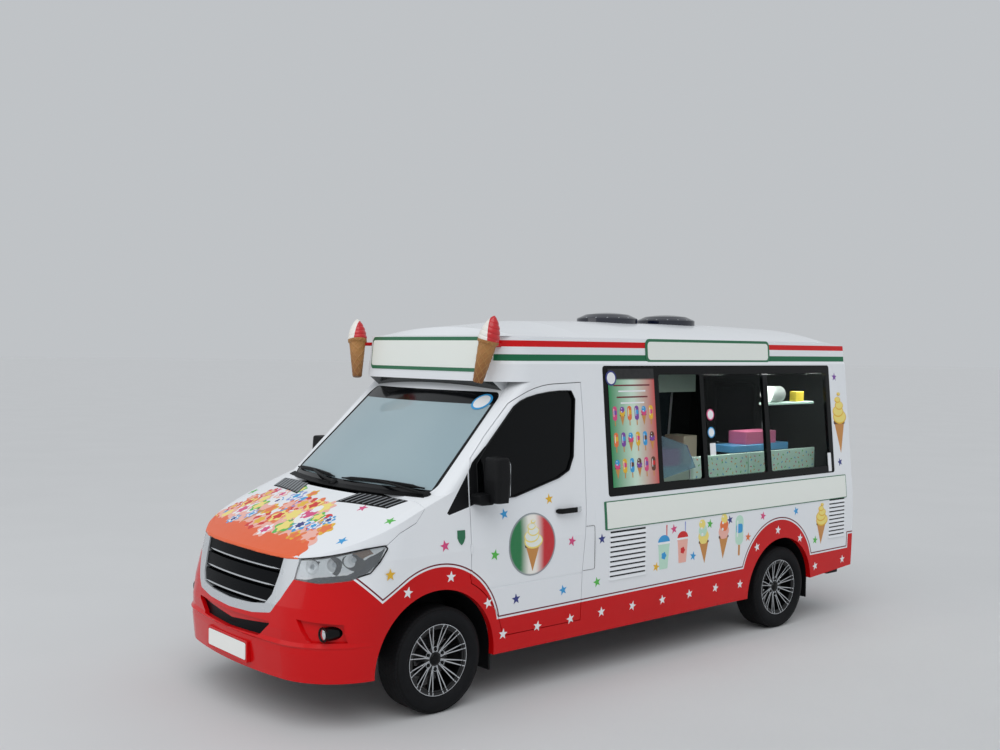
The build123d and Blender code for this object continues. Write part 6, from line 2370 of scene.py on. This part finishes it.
@dataclass
class Wipers:
    """Two wipers lying along the screen's foot, each an arm and a blade between two distances across."""

    blades: tuple = ((-0.845, -0.120), (-0.020, 0.800))
    high: float = 1.436
    pivot: float = 1.402
    reach: float = 0.05
    rise: float = 0.012
    cap: tuple = ((0.026, -0.012), (0.026, 0.016), (0.020, 0.024), (0.006, 0.027))

    def _blade(self, first: float, last: float) -> Mesh:
        """A blade that bows up slightly and slims towards both ends.

        Args:
            first: Distance across at its start.
            last: The same at its end.

        Returns:
            The mesh.
        """
        count = 24
        line = np.stack([
            np.linspace(first, last, count), self.high + self.rise * np.sin(np.linspace(0, np.pi, count))
        ], -1)
        taper = np.clip(from_ends(count) / 3, 0.4, 1)
        return sweep(oval(0.010, 0.013, 10, 3), laid(on_screen(), line, 0.014), size=taper)

    def _arm(self, first: float, last: float) -> Mesh:
        """An arm that arches from its pivot beyond the blade's end to the blade's middle.

        Args:
            first: Distance across at the blade's start.
            last: The same at its end.

        Returns:
            The mesh.
        """
        share = np.linspace(0, 1, 16)
        x = last + self.reach + ((first + last) / 2 - last - self.reach) * share
        z = self.pivot + (self.high + self.rise - self.pivot) * share ** 1.3
        lift = 0.018 + 0.022 * np.sin(share * np.pi) ** 0.8
        return sweep(oval(0.013, 0.007, 10, 3), on_screen()(x, z, lift), size=1.2 - 0.6 * share)

    def build(self, shop: Workshop) -> None:
        """Builds the blades, arms and pivots' caps.

        Args:
            shop: Puts the pieces into the scene.
        """
        meshes = []
        for first, last in self.blades:
            pivot = laid(on_screen(), np.array([(last + self.reach, self.pivot)]), 0.004)[0]
            cap = turned(self.cap, pivot, SCREEN_NORMAL, 20)
            meshes += [self._blade(first, last), self._arm(first, last), cap]
        shop.trim(join(meshes), "wipers")


@dataclass
class Doors:
    """Handles, the fuel flap's line, window rubbers and mirror faces. Flat points are (station, height)."""

    handle: tuple[float, float, float] = (1.000, 1.236, 1.231)
    arch: tuple[float, float] = (0.004, 0.034)
    arch_ends: tuple[float, float] = (0.16, 0.7)
    taper: float = 0.04
    bar: tuple[float, float] = (0.0090, 0.0190)
    cap_bar: tuple[float, float] = (0.0102, 0.0202)
    cap: tuple[int, int] = (21, 29)
    sail: tuple = (
        ((0.237, 1.328), (0.237, 1.450), (0.240, 1.560), (0.268, 1.612), (0.384, 1.712)),
        ((0.300, 1.345), (0.300, 1.450), (0.301, 1.590), (0.330, 1.635), (0.390, 1.702)),
    )
    window: tuple = (
        (0.300, 1.352), (0.630, 1.362), (1.040, 1.462), (1.146, 1.510), (1.194, 1.604), (1.238, 2.010),
        (1.205, 2.070), (1.095, 2.071), (0.985, 2.064), (0.880, 2.050), (0.785, 2.030), (0.715, 2.005),
        (0.655, 1.970), (0.394, 1.712), (0.300, 1.600),
    )
    mirror: tuple[float, float, float] = (1.092, 0.435, 1.503)
    mirror_size: tuple[float, float, float] = (0.120, 0.245, 0.03)
    flap: tuple = (
        (1.296, 1.098), (1.372, 1.098), (1.380, 1.088), (1.380, 0.792), (1.372, 0.782), (1.262, 0.782),
    )

    def _handle(self, hand: int) -> tuple[Mesh, Mesh]:
        """A bar that arches 34 mm off the door, and a bright cap on its rear end.

        Args:
            hand: One for the left side, minus one for the right.

        Returns:
            The bar and the cap.
        """
        front, rear, z = self.handle
        share = np.linspace(0, 1, 30)
        end = np.minimum(share, 1 - share)
        length, power = self.arch_ends
        lift = self.arch[0] + self.arch[1] * np.clip(end / length, 0, 1) ** power
        path = on_side(hand)(front + (rear - front) * share, np.full(30, z), lift)
        bar = sweep(oval(*self.bar, 14, 3.2), path, size=np.clip(end / self.taper, 0.5, 1))
        return bar, sweep(oval(*self.cap_bar, 14, 3.2), path[slice(*self.cap)])

    def _cup(self, hand: int) -> Mesh:
        """The shallow oval behind a handle.

        Args:
            hand: One for the left side, minus one for the right.

        Returns:
            The mesh.
        """
        front, rear, z = self.handle
        outline = disc(0.075, ((front + rear) / 2, z), 32, squeeze=0.55)
        return shape(outline, on_side(hand), 0.0012, Ink.WHITE, flip=hand < 0).bare()

    def _trim(self, hand: int) -> Mesh:
        """The black sail in the window's front corner and the rubber round the pane.

        Args:
            hand: One for the left side, minus one for the right.

        Returns:
            The mesh.
        """
        u, v = between(*self.sail)
        sail = patch(u, v, on_side(hand), 0.003, flip=hand < 0)
        pane = laid(on_side(hand), resample(np.array(self.window), 0.04), 0.0)
        return join([sail, sweep(oval(0.005, 0.011, 8), pane, True, (1.0, 0.0, 0.0))])

    def _mirror(self, hand: int) -> Mesh:
        """A mirror's face, which looks backwards.

        Args:
            hand: One for the left side, minus one for the right.

        Returns:
            The mesh.
        """
        x, s, z = self.mirror
        outline = rounded(*self.mirror_size, (hand * x, z))
        return slab(outline, 0.004, 0.0015, on_wall(1, FRONT_AXLE + s), flip=True)

    def build(self, shop: Workshop) -> None:
        """Builds both cab doors' fittings and the line of the fuel flap.

        Args:
            shop: Puts the pieces into the scene.
        """
        for hand, side in SIDES:
            body = f"door_{side}"
            bar, cap = self._handle(hand)
            shop.trim(bar, f"handle_{side}", body, "black_gloss")
            shop.put(cap, f"handle_cap_{side}", body, "chrome")
            shop.put(self._cup(hand), f"handle_cup_{side}", body, "gloss_white")
            shop.trim(self._trim(hand), f"window_trim_{side}", body)
            shop.put(self._mirror(hand), f"mirror_face_{side}", body, "chrome")
        path = laid(on_side(), spread(np.array(self.flap), 60), 0.0002)
        shop.trim(sweep(oval(0.0012, 0.0022, 6), path, up=(1.0, 0.0, 0.0)), "fuel_flap_line", finish="rubber")


@dataclass
class Wheels:
    """Centre caps, nuts and the bright seats round them, as profiles of radius and height."""

    face: float = 0.9242
    pitch: float = 0.065
    nuts: int = 6
    cap: tuple = (
        (0.031, -0.004), (0.033, 0.006), (0.031, 0.010), (0.026, 0.012), (0.012, 0.014), (0.003, 0.0145),
    )
    nut: tuple = ((0.0105, -0.004), (0.0112, 0.004), (0.0100, 0.010), (0.007, 0.012), (0.002, 0.0125))
    seat: tuple = ((0.0140, -0.004), (0.0150, 0.004), (0.0172, 0.005), (0.0180, 0.002), (0.0182, -0.004))

    def build(self, shop: Workshop) -> None:
        """Builds one set for each wheel, all turned about the axle's direction.

        Args:
            shop: Puts the pieces into the scene.
        """
        for place, axle in (("front", FRONT_AXLE), ("rear", REAR_AXLE)):
            for hand, side in SIDES:
                out = (hand, 0, 0)
                dark = [turned(self.cap, (hand * self.face, axle, AXLE_Z), out, 36)]
                bright = []
                for i in range(self.nuts):
                    turn = (i + 0.5) * 2 * math.pi / self.nuts
                    y, z = axle + self.pitch * math.cos(turn), AXLE_Z + self.pitch * math.sin(turn)
                    dark.append(turned(self.nut, (hand * self.face, y, z), out, 6))
                    bright.append(turned(self.seat, (hand * self.face, y, z), out, 24))
                corner = f"{place}_{side}"
                for meshes, name, finish in (
                    (dark, "wheel_nuts", "black_gloss"), (bright, "nut_seats", "silver_trim"),
                ):
                    shop.put(join(meshes), f"{name}_{corner}", f"wheel_{corner}", finish, 20.0)


@dataclass
class Cones:
    """Big cones on the sign box's corners: a wafer shell, a ridged two-colour whip and a bracket.

    The tip and the rim are the shell's ends as x, station and height. The lattice is its number of starts,
    its turn in radians for each metre, and how far its ridges and hollows lie from the plain taper. The neck
    and the rim's rings are distances below the rim, and the margins are the shell's ends without a lattice.
    """

    tip: tuple[float, float, float] = (0.751, 0.475, 2.134)
    rim: tuple[float, float, float] = (0.814, 0.515, 2.429)
    tip_radius: float = 0.036
    top_radius: float = 0.064
    rim_radius: float = 0.074
    neck: float = 0.030
    rim_rings: tuple[float, ...] = (0.026, 0.022, 0.002, 0, 0)
    margins: tuple[float, float] = (0.012, 0.032)
    lattice: tuple[float, float, float, float] = (4, 55, 0.0018, 0.0012)
    whip_radius: float = 0.0765
    whip: float = 0.172
    whip_shape: tuple = (
        (0, 0.99), (0.1, 1.0), (0.3, 0.92), (0.55, 0.76), (0.78, 0.5), (0.93, 0.24), (1, 0.04),
    )
    ridges: float = 5.0
    ridge_shape: tuple[float, float, float] = (0.92, 0.08, 0.6)
    bracket: tuple = ((0.784, 0.515, 2.393), (0.784, 0.56, 2.393), (0.784, 0.64, 2.393))

    def _axis(self) -> tuple[Array, Array, float]:
        """Foot, direction and length of the shell.

        Returns:
            A point, a unit direction and a distance.
        """
        foot, top = np.array(self.tip) + SHIFT, np.array(self.rim) + SHIFT
        length = float(np.linalg.norm(top - foot))
        return foot, (top - foot) / length, length

    def _round(self, radius: Array, h: Array, t: Array) -> Mesh:
        """Closed surface round the axis, from radii in rows of one height and columns of one angle.

        Args:
            radius: Radii in rows and columns.
            h: Height of each row.
            t: Angle of each column.

        Returns:
            The mesh.
        """
        foot, axis, _ = self._axis()
        side = np.cross(axis, (0, 1, 0))
        side /= np.linalg.norm(side)
        other = np.cross(axis, side)
        ring = np.cos(t)[None, :, None] * side + np.sin(t)[None, :, None] * other
        return skin(foot + radius[..., None] * ring + h[:, None, None] * axis, wrap_columns=True, caps=True)

    def _shell(self) -> Mesh:
        """The wafer: a taper with a rolled rim, and a lattice raised where two families of helices cross.

        Returns:
            The mesh.
        """
        length = self._axis()[2]
        t = turns(96)
        h = np.concatenate([
            [0.0, 0.0], np.linspace(0.01, length - self.neck, 64), length - np.array(self.rim_rings)
        ])
        knots = [0, length - self.neck, length - self.rim_rings[1], length]
        r = np.interp(h, knots, [self.tip_radius, self.top_radius, self.rim_radius, self.rim_radius])
        r[0], r[-1] = 0.004, self.whip_radius * 0.8
        r[1] = self.tip_radius - 0.004
        starts, pitch, raised, sunk = self.lattice
        first, second = [abs(np.sin(starts * t[None] + hand * h[:, None] * pitch)) for hand, _ in SIDES]
        low, high = self.margins
        woven = ((h > low) & (h < length - high))[:, None]
        return self._round(r[:, None] + woven * (raised * (1 - np.minimum(first, second)) ** 3 - sunk), h, t)

    def _whip(self) -> Mesh:
        """The whip: an ogive whose radius swells in turns of a rising helix, ending in a point.

        Returns:
            The mesh.
        """
        t = turns(72)
        share = np.linspace(0, 1, 90)
        profile = np.interp(share, *np.array(self.whip_shape).T)
        least, swell, power = self.ridge_shape
        wave = abs(np.sin((share[:, None] * self.ridges + t[None] / (2 * np.pi)) * np.pi)) ** power
        radius = self.whip_radius * profile[:, None] * (least + swell * wave)
        return self._round(radius, self._axis()[2] - 0.004 + share * self.whip, t)

    def build(self, shop: Workshop) -> None:
        """Builds the left corner's pieces and mirrors them; they stand for the CAD cones.

        Args:
            shop: Puts the pieces into the scene.
        """
        arm = sweep(oval(0.022, 0.014, 16, 5), np.array(self.bracket) + SHIFT)
        for hand, side in SIDES:
            for mesh, name, finish in (
                (self._shell(), "wafer", "wafer_shell"), (self._whip(), "whip", "two_colour_whip"),
                (arm, "bracket", "gloss_red"),
            ):
                mesh = mesh.mirrored(hand < 0)
                piece = shop.put(mesh, f"cone_{name}_{side}", "body", finish, 60.0)
                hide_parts("roof_cones")


@dataclass
class SignFace:
    """Printed face of the sign box: a cream panel edged in green, thick above and below."""

    outer: tuple[float, float, float] = (0.706, 2.203, 2.450)
    inner: tuple[float, float, float] = (0.699, 2.229, 2.424)

    def build(self, shop: Workshop) -> None:
        """Builds the panel across the box's front.

        Args:
            shop: Puts the pieces into the scene.
        """
        parts = []
        for (half, low, high), corner, lift, ink in (
            (self.outer, 0.030, 0.003, Ink.GREEN), (self.inner, 0.024, 0.0036, Ink.CREAM),
        ):
            outline = rounded(2 * half, high - low, corner, (0.0, (low + high) / 2))
            parts.append(shape(resample(outline, 0.03), on_sign(), lift, ink, 0.003, rings=10))
        shop.printed(parts, "sign_face")


@dataclass
class RoofLights:
    """Bolts round the rims of the roof lights."""

    stations: tuple[float, float] = (2.508, 3.259)
    radius: float = 0.242
    high: float = 2.634
    count: int = 16
    cap: tuple = ((0.010, -0.004), (0.010, 0.004), (0.006, 0.008), (0.001, 0.0085))

    def build(self, shop: Workshop) -> None:
        """Builds the bolts as small turned caps on a circle.

        Args:
            shop: Puts the pieces into the scene.
        """
        meshes = []
        for s in self.stations:
            for turn in turns(self.count):
                at = (self.radius * math.cos(turn), station(s) + self.radius * math.sin(turn), self.high)
                meshes.append(turned(self.cap, at, (0, 0, 1), 8))
        shop.put(join(meshes), "roof_light_bolts", "body", "steel_top")


@dataclass
class Cabin:
    """The cab's seats and its door steps.

    The seats are padded cushions and backs with sewn channels, headrests on posts and a pedestal. Stations
    and heights are in pairs, and the padding swells in a short cloth simulation. A foot is where a pad's
    middle line starts, and a reach is how far it goes on from there.
    """

    cushion_run: tuple[float, float] = (0.712, 1.060)
    cushion_z: float = 0.985
    cushion_bow: float = 0.008
    back_foot: tuple[float, float] = (1.118, 1.015)
    back_reach: tuple[float, float] = (0.092, 0.550)
    back_curve: float = 1.2
    rest_run: tuple[float, float] = (1.655, 1.865)
    rest_lean: tuple[float, float] = (1.214, 0.012)
    half_thick: tuple[float, float, float] = (0.048, 0.046, 0.042)
    thinning: float = 0.010
    back_width: float = 0.98
    rest_width: float = 0.27
    squareness: tuple[float, float] = (0.45, 0.75)
    end_power: float = 0.45
    end_width: tuple[float, float] = (0.93, 0.07)
    across: float = 0.440
    width: float = 0.480
    riser: tuple = ((0.515, 0.424), (1.246, 0.424), (1.246, 0.676), (0.405, 0.676))
    riser_at: float = 0.920
    tread: tuple[float, float, float] = (0.948, 0.884, 0.4245)
    tread_size: tuple[float, float, float] = (0.050, 0.724, 0.004)
    posts: tuple[tuple[float, float], ...] = ((1.205, 1.54), (1.214, 1.70))
    post_shift: float = 0.07
    pedestal: tuple[tuple[float, float], ...] = ((0.76, 0.815), (1.08, 0.815))
    channel: tuple[float, float, float] = (0.62, 0.05, 0.10)
    voxel: float = 0.011
    pressure: float = 4.0
    frames: int = 12
    travel: float = 0.008

    def _pads(self) -> tuple:
        """Name, middle line, half-thickness along it and width of each pad.

        Returns:
            One entry for each pad.
        """
        share = np.linspace(0, 1, 26)
        bow = self.cushion_bow * np.cos(np.linspace(0, 3.1, 22))
        cushion = np.stack([np.linspace(*self.cushion_run, 22), self.cushion_z + bow], -1)
        s, z = self.back_foot
        reach, rise = self.back_reach
        back = np.stack([s + reach * share ** self.back_curve, z + rise * share], -1)
        s, lean = self.rest_lean
        rest = np.stack([s + lean * np.linspace(0, 1, 14), np.linspace(*self.rest_run, 14)], -1)
        first, second, third = self.half_thick
        return (
            ("cushion", cushion, np.full(22, first), self.width),
            ("back", back, second - self.thinning * share, self.width * self.back_width),
            ("headrest", rest, np.full(14, third), self.rest_width),
        )

    def _pad(self, path: Array, thick: Array, x: float, wide: float) -> Mesh:
        """A crowned closed pad: a superellipse across, whose thickness follows the path, its ends drawn in.

        Args:
            path: Points of (station, height) along the pad's middle.
            thick: Half-thickness at each.
            x: Middle across.
            wide: Width.

        Returns:
            The mesh.
        """
        t = turns(40)
        along = np.gradient(path, axis=0)
        along /= np.linalg.norm(along, axis=1, keepdims=True)
        out = np.stack([-along[:, 1], along[:, 0]], -1)
        pull = np.clip(from_ends(len(path)) / 4, 0.0, 1.0) ** self.end_power
        c, s = np.cos(t), np.sin(t)
        u = np.sign(c) * abs(c) ** self.squareness[0]
        w = np.sign(s) * abs(s) ** self.squareness[1]
        at, broad, deep = self.channel
        channel = 1 - deep * np.exp(-((abs(u) - at) / broad) ** 2)
        least, more = self.end_width
        px = x + u[None] * (wide / 2) * (least + more * pull[:, None])
        lift = w[None] * channel[None] * (thick * np.clip(pull, 0.25, 1))[:, None]
        y, z = [path[:, i:i + 1] + out[:, i:i + 1] * lift for i in (0, 1)]
        return skin(np.stack([px, FRONT_AXLE + y, z], -1), wrap_columns=True, caps=True)

    @staticmethod
    def _result(piece: bpy.types.Object) -> tuple[bpy.types.Mesh, Array]:
        """The piece's mesh with its modifiers applied, and its points.

        Args:
            piece: The piece.

        Returns:
            The mesh, and three coordinates for each vertex.
        """
        graph = bpy.context.evaluated_depsgraph_get()
        data = bpy.data.meshes.new_from_object(piece.evaluated_get(graph))
        flat = np.empty(len(data.vertices) * 3, np.float32)
        data.vertices.foreach_get("co", flat)
        return data, flat.reshape(-1, 3)

    def _swell(self, piece: bpy.types.Object) -> None:
        """Runs a short cloth simulation with pressure on a pad, limits its travel, and keeps the result.

        Args:
            piece: The pad.
        """
        before = piece.data.copy()
        remesh = piece.modifiers.new("remesh", "REMESH")
        remesh.mode = "VOXEL"
        remesh.voxel_size = self.voxel
        base, start = self._result(piece)
        piece.modifiers.remove(remesh)
        piece.data = base
        cloth = piece.modifiers.new("cloth", "CLOTH")
        cloth.settings.use_pressure = True
        cloth.settings.uniform_pressure_force = self.pressure
        cloth.settings.quality = 4
        cloth.settings.effector_weights.gravity = 0.0
        cloth.collision_settings.use_collision = False
        scene = bpy.context.scene
        for step in range(1, self.frames + 1):
            scene.frame_set(step)
        swollen, end = self._result(piece)
        piece.modifiers.remove(cloth)
        scene.frame_set(1)
        if len(end) != len(start):
            piece.data = before
            return
        travel = end - start
        far = np.linalg.norm(travel, axis=1, keepdims=True)
        travel *= np.minimum(1.0, self.travel / np.maximum(far, 1e-9))
        swollen.vertices.foreach_set("co", (start + travel).ravel())
        swollen.shade_smooth()
        if not swollen.materials:
            swollen.materials.append(before.materials[0])
        piece.data = swollen

    def _steps(self, shop: Workshop) -> None:
        """The risers and treads between the sills and the cab floor.

        Args:
            shop: Puts the pieces into the scene.
        """
        x, s, z = self.tread
        for hand, side in SIDES:
            wall = on_wall(0, hand * self.riser_at, hand)
            riser = slab(np.array(self.riser) + (FRONT_AXLE, 0), 0.010, 0.001, wall, hand < 0)
            shop.trim(join([riser, block(hand * x, s, z, self.tread_size)]), f"door_step_{side}")

    def _base(self, x: float) -> Mesh:
        """A seat's pedestal and the two posts of its headrest.

        Args:
            x: The seat's middle across.

        Returns:
            The mesh.
        """
        rods = []
        for shift in (-self.post_shift, self.post_shift):
            path = np.array([(x + shift, station(s), z) for s, z in self.posts])
            rods.append(sweep(oval(0.007, 0.007, 10), path, up=(1.0, 0.0, 0.0)))
        foot = np.array([(x, station(s), z) for s, z in self.pedestal])
        return join([*rods, sweep(oval(0.18, 0.125, 28, 5), foot)])

    def build(self, shop: Workshop) -> None:
        """Builds the steps, and both seats, which stand for the CAD ones.

        Args:
            shop: Puts the pieces into the scene.
        """
        self._steps(shop)
        for hand, side in SIDES:
            x = hand * self.across
            pieces = []
            for name, path, thick, wide in self._pads():
                mesh = self._pad(path, thick, x, wide)
                pieces.append(shop.put(mesh, f"seat_{name}_{side}", "body", "seat_cloth", 60.0))
            for piece in pieces:
                self._swell(piece)
                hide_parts("seats")
            base = shop.put(self._base(x), f"seat_base_{side}", "body", "black_plastic")
            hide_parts("seats")


@dataclass
class Saloon:
    """What shows through the serving window: shelves, tubs, a roll, a tray and the hatch's low guard.

    Each of the goods has a name, a finish, and blocks given by x, station, foot and size.
    """

    seed: int = 5
    counter: float = 1.275
    guard: tuple = ((2.145, 1.725), (2.505, 1.618), (2.570, 1.440), (2.152, 1.374))
    guard_foot: tuple[float, float, float] = (0.955, 1.352, -0.20)
    goods: tuple = (
        ("upstands", "mint_upstand", (
            (0.800, 3.055, 1.275, (0.024, 0.71, 0.23)), (0.800, 3.910, 1.275, (0.024, 0.96, 0.23)),
        )),
        ("shelf", "mint_upstand", ((0.750, 4.045, 1.900, (0.10, 0.69, 0.022)),)),
        ("tray", "tray_blue", ((0.620, 3.70, 1.500, (0.24, 0.80, 0.060)),)),
        ("carton", "carton_pink", (
            (0.620, 3.725, 1.561, (0.20, 0.43, 0.11)), (-0.60, 3.9, 1.25, (0.28, 0.30, 0.16)),
        )),
        ("pack", "carton_yellow", ((0.745, 4.20, 1.923, (0.07, 0.12, 0.09)),)),
        ("boxes", "carton_cream", (
            (-0.62, 2.86, 1.25, (0.24, 0.20, 0.24)), (-0.62, 3.30, 1.25, (0.26, 0.3, 0.20)),
            (-0.62, 4.22, 1.25, (0.26, 0.2, 0.28)),
        )),
    )
    tubs: tuple = ((0.72, 2.86), (0.72, 3.02))
    tub: tuple[float, float] = (0.07, 0.13)
    tub_shape: tuple = (
        (0.86, 0.0), (0.9, 0.004 / 0.13), (1.0, 0.9), (1.04, 0.93), (1.04, 1.0), (0.98, 1.01), (0.3, 1.03),
    )
    roll: tuple = (
        (0.018, -0.095), (0.068, -0.094), (0.070, -0.09), (0.070, 0.09), (0.068, 0.094), (0.018, 0.095),
    )
    roll_at: tuple[float, float, float] = (0.740, 3.85, 1.994)
    fleck_inks: tuple[Ink, ...] = (Ink.PINK, Ink.BLUE, Ink.YELLOW, Ink.LEAF, Ink.ORANGE)
    fleck_wall: float = 0.8125
    fleck_area: tuple[float, float, float, float] = (2.715, 1.66, 1.290, 0.20)
    fleck_grid: tuple[int, int] = (26, 5)
    fleck: tuple[float, float] = (0.011, 0.45)

    def _sprinkles(self) -> Mesh:
        """Small coloured flecks on the upstands, at seeded points of a jittered lattice.

        Returns:
            The mesh.
        """
        rng = np.random.default_rng(self.seed)
        front, long, low, high = self.fleck_area
        columns, rows = self.fleck_grid
        radius, squeeze = self.fleck
        meshes = []
        for i in range(columns):
            for j in range(rows):
                s = front + long * (i + 0.2 + 0.6 * rng.random()) / columns
                z = low + high * (j + 0.2 + 0.6 * rng.random()) / rows
                outline = disc(radius, (station(s), z), 8, squeeze=squeeze, turn=rng.random() * 3)
                ink = self.fleck_inks[(i * 3 + j) % len(self.fleck_inks)]
                meshes.append(shape(outline, on_wall(0, self.fleck_wall), 0.001, ink, rings=1))
        return join(meshes)

    def _guard(self) -> Mesh:
        """A clear board leaning in over the counter.

        Returns:
            The mesh.
        """
        x, foot, lean = self.guard_foot

        def place(u: Array, v: Array, w: Array) -> Array:
            """X falls as the height rises."""
            return np.stack([x + lean * (v - foot) + w, FRONT_AXLE + u, v + 0.0 * w], -1)

        return slab(resample(np.array(self.guard)[::-1], 0.05), 0.005, 0.001, place, flip=True)

    def build(self, shop: Workshop) -> None:
        """Builds the goods, the upstands behind the window, the shelf over them and the guard.

        Args:
            shop: Puts the pieces into the scene.
        """
        shop.printed([self._sprinkles()], "sprinkles")
        sets = {name: (join([block(*box) for box in boxes]), finish) for name, finish, boxes in self.goods}
        tub = np.array(self.tub_shape) * self.tub
        tubs = [turned(tub, (x, station(s), self.counter), (0, 0, 1), 28) for x, s in self.tubs]
        sets["tubs"] = (join(tubs), "gloss_white")
        x, s, z = self.roll_at
        sets["roll"] = (turned(self.roll, (x, station(s), z), (0, 1, 0), 32), "paper_roll")
        for name in ("upstands", "shelf", "tray", "carton", "tubs", "pack", "boxes", "roll"):
            mesh, finish = sets[name]
            shop.put(mesh, f"saloon_{name}", "body", finish)
        shop.put(self._guard(), "hatch_guard", "body", "acrylic")


@dataclass
class Studio:
    """Pale floor, soft lights, an even sky and the photo's camera.

    Angles are in radians and the focal length in pixels of a picture 1000 wide. A light is its name, power,
    size, place and aim.
    """

    at: tuple[float, float, float] = (6.683, -6.232, 2.363)
    yaw: float = 0.705
    pitch: float = -0.023
    roll: float = 0.011
    focal: float = 1116.494
    sensor: float = 36.0
    picture: float = 1000.0
    rings: tuple[float, ...] = (2.0, 12.0, 60.0, 300.0)
    floor_codes: tuple[str, str] = ("CDCECF", "D3D4D5")
    sky: tuple[str, float] = ("EDF1F5", 0.62)
    key: tuple = ("key", 1.1, 1.0, (7.0, -7.0, 14.0), (0.0, 0.0, 0.0), "SUN")
    fill: tuple = ("fill", 160.0, 8.0, (-3.0, -11.0, 5.0), (0.0, 0.0, 1.0))
    saloon: tuple[float, ...] = (1.0, 1.7, 2.4)
    saloon_lamp: tuple[float, float] = (5.0, 0.25)

    def _floor(self) -> None:
        """A wide level disc just under the tyres."""
        t = turns(96)
        r = np.array(self.rings)[:, None]
        points = np.stack(np.broadcast_arrays(r * np.cos(t), r * np.sin(t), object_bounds()[0][2]), -1)
        disc_faces = skin(points, wrap_columns=True).flipped().faces
        data = bpy.data.meshes.new("studio_floor")
        data.from_pydata(points.reshape(-1, 3).tolist(), [], disc_faces + [list(range(len(t)))])
        tree = Tree("studio_floor")
        pale = tree.mix(tree.noise(0.7, 5.0), *[colour(code) for code in self.floor_codes])
        data.materials.append(tree.surface(pale, 0.75))
        floor = bpy.data.objects.new("studio_floor", data)
        bpy.context.collection.objects.link(floor)
        floor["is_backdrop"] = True

    def _light(
        self, name: str, power: float, size: float, at: Sequence[float], to: Sequence[float],
        kind: str = "AREA",
    ) -> None:
        """Adds one light that faces a point: a square area, or a sun as wide as an angle.

        Args:
            name: Its name.
            power: Its strength.
            size: Its width, or a sun's angle.
            at: Where it stands.
            to: The point that it faces.
            kind: Its type.
        """
        data = bpy.data.lights.new(name, kind)
        data.energy = power
        setattr(data, "angle" if kind == "SUN" else "size", size)
        lamp = bpy.data.objects.new(name, data)
        lamp.location = at
        lamp.rotation_euler = (Vector(to) - Vector(at)).to_track_quat("-Z", "Y").to_euler()
        bpy.context.collection.objects.link(lamp)

    def _camera(self) -> None:
        """Turns the camera by yaw, pitch and roll; the lens gives the photo's focal length in pixels."""
        yaw, pitch, roll = self.yaw, self.pitch, self.roll
        level = math.cos(pitch)
        ahead = Vector((-math.cos(yaw) * level, math.sin(yaw) * level, math.sin(pitch)))
        right = Vector((math.sin(yaw), math.cos(yaw), 0.0))
        up = right.cross(ahead)
        side = math.cos(roll) * right + math.sin(roll) * up
        top = -math.sin(roll) * right + math.cos(roll) * up
        data = bpy.data.cameras.new("camera")
        data.sensor_width = self.sensor
        data.lens = self.focal * self.sensor / self.picture
        data.clip_end = 200.0
        camera = bpy.data.objects.new("camera", data)
        turn = Matrix((side, top, -ahead)).transposed().to_4x4()
        camera.matrix_world = Matrix.Translation(Vector(self.at)) @ turn
        bpy.context.collection.objects.link(camera)
        bpy.context.scene.camera = camera

    def build(self) -> None:
        """Builds the studio."""
        self._floor()
        self._camera()
        world = bpy.data.worlds.new("sky")
        world.use_nodes = True
        back = world.node_tree.nodes["Background"]
        back.inputs["Color"].default_value = colour(self.sky[0])
        back.inputs["Strength"].default_value = self.sky[1]
        bpy.context.scene.world = world
        bpy.context.scene.view_settings.view_transform = "Standard"
        self._light(*self.key)
        self._light(*self.fill)
        for y in self.saloon:
            self._light("saloon", *self.saloon_lamp, (0.80, y, 2.18), (0.78, y, 1.2))


def main() -> None:
    """Builds every sub-assembly in order."""
    logging.basicConfig(level=logging.INFO, format="%(message)s")
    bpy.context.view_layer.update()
    shop = Workshop(Finishes())
    for part in (
        Paintwork(), Stars(), Roundels(), SidePanels(), Stickers(), BonnetArt(), SignFace(), Nose(), Wipers(),
        Doors(), Wheels(), Cones(), RoofLights(), Cabin(), Saloon(),
    ):
        LOG.info("building %s", type(part).__name__)
        part.build(shop)
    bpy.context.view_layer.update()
    Studio().build()
    LOG.info("%d pieces", shop.count)


if __name__ == "__main__":
    main()
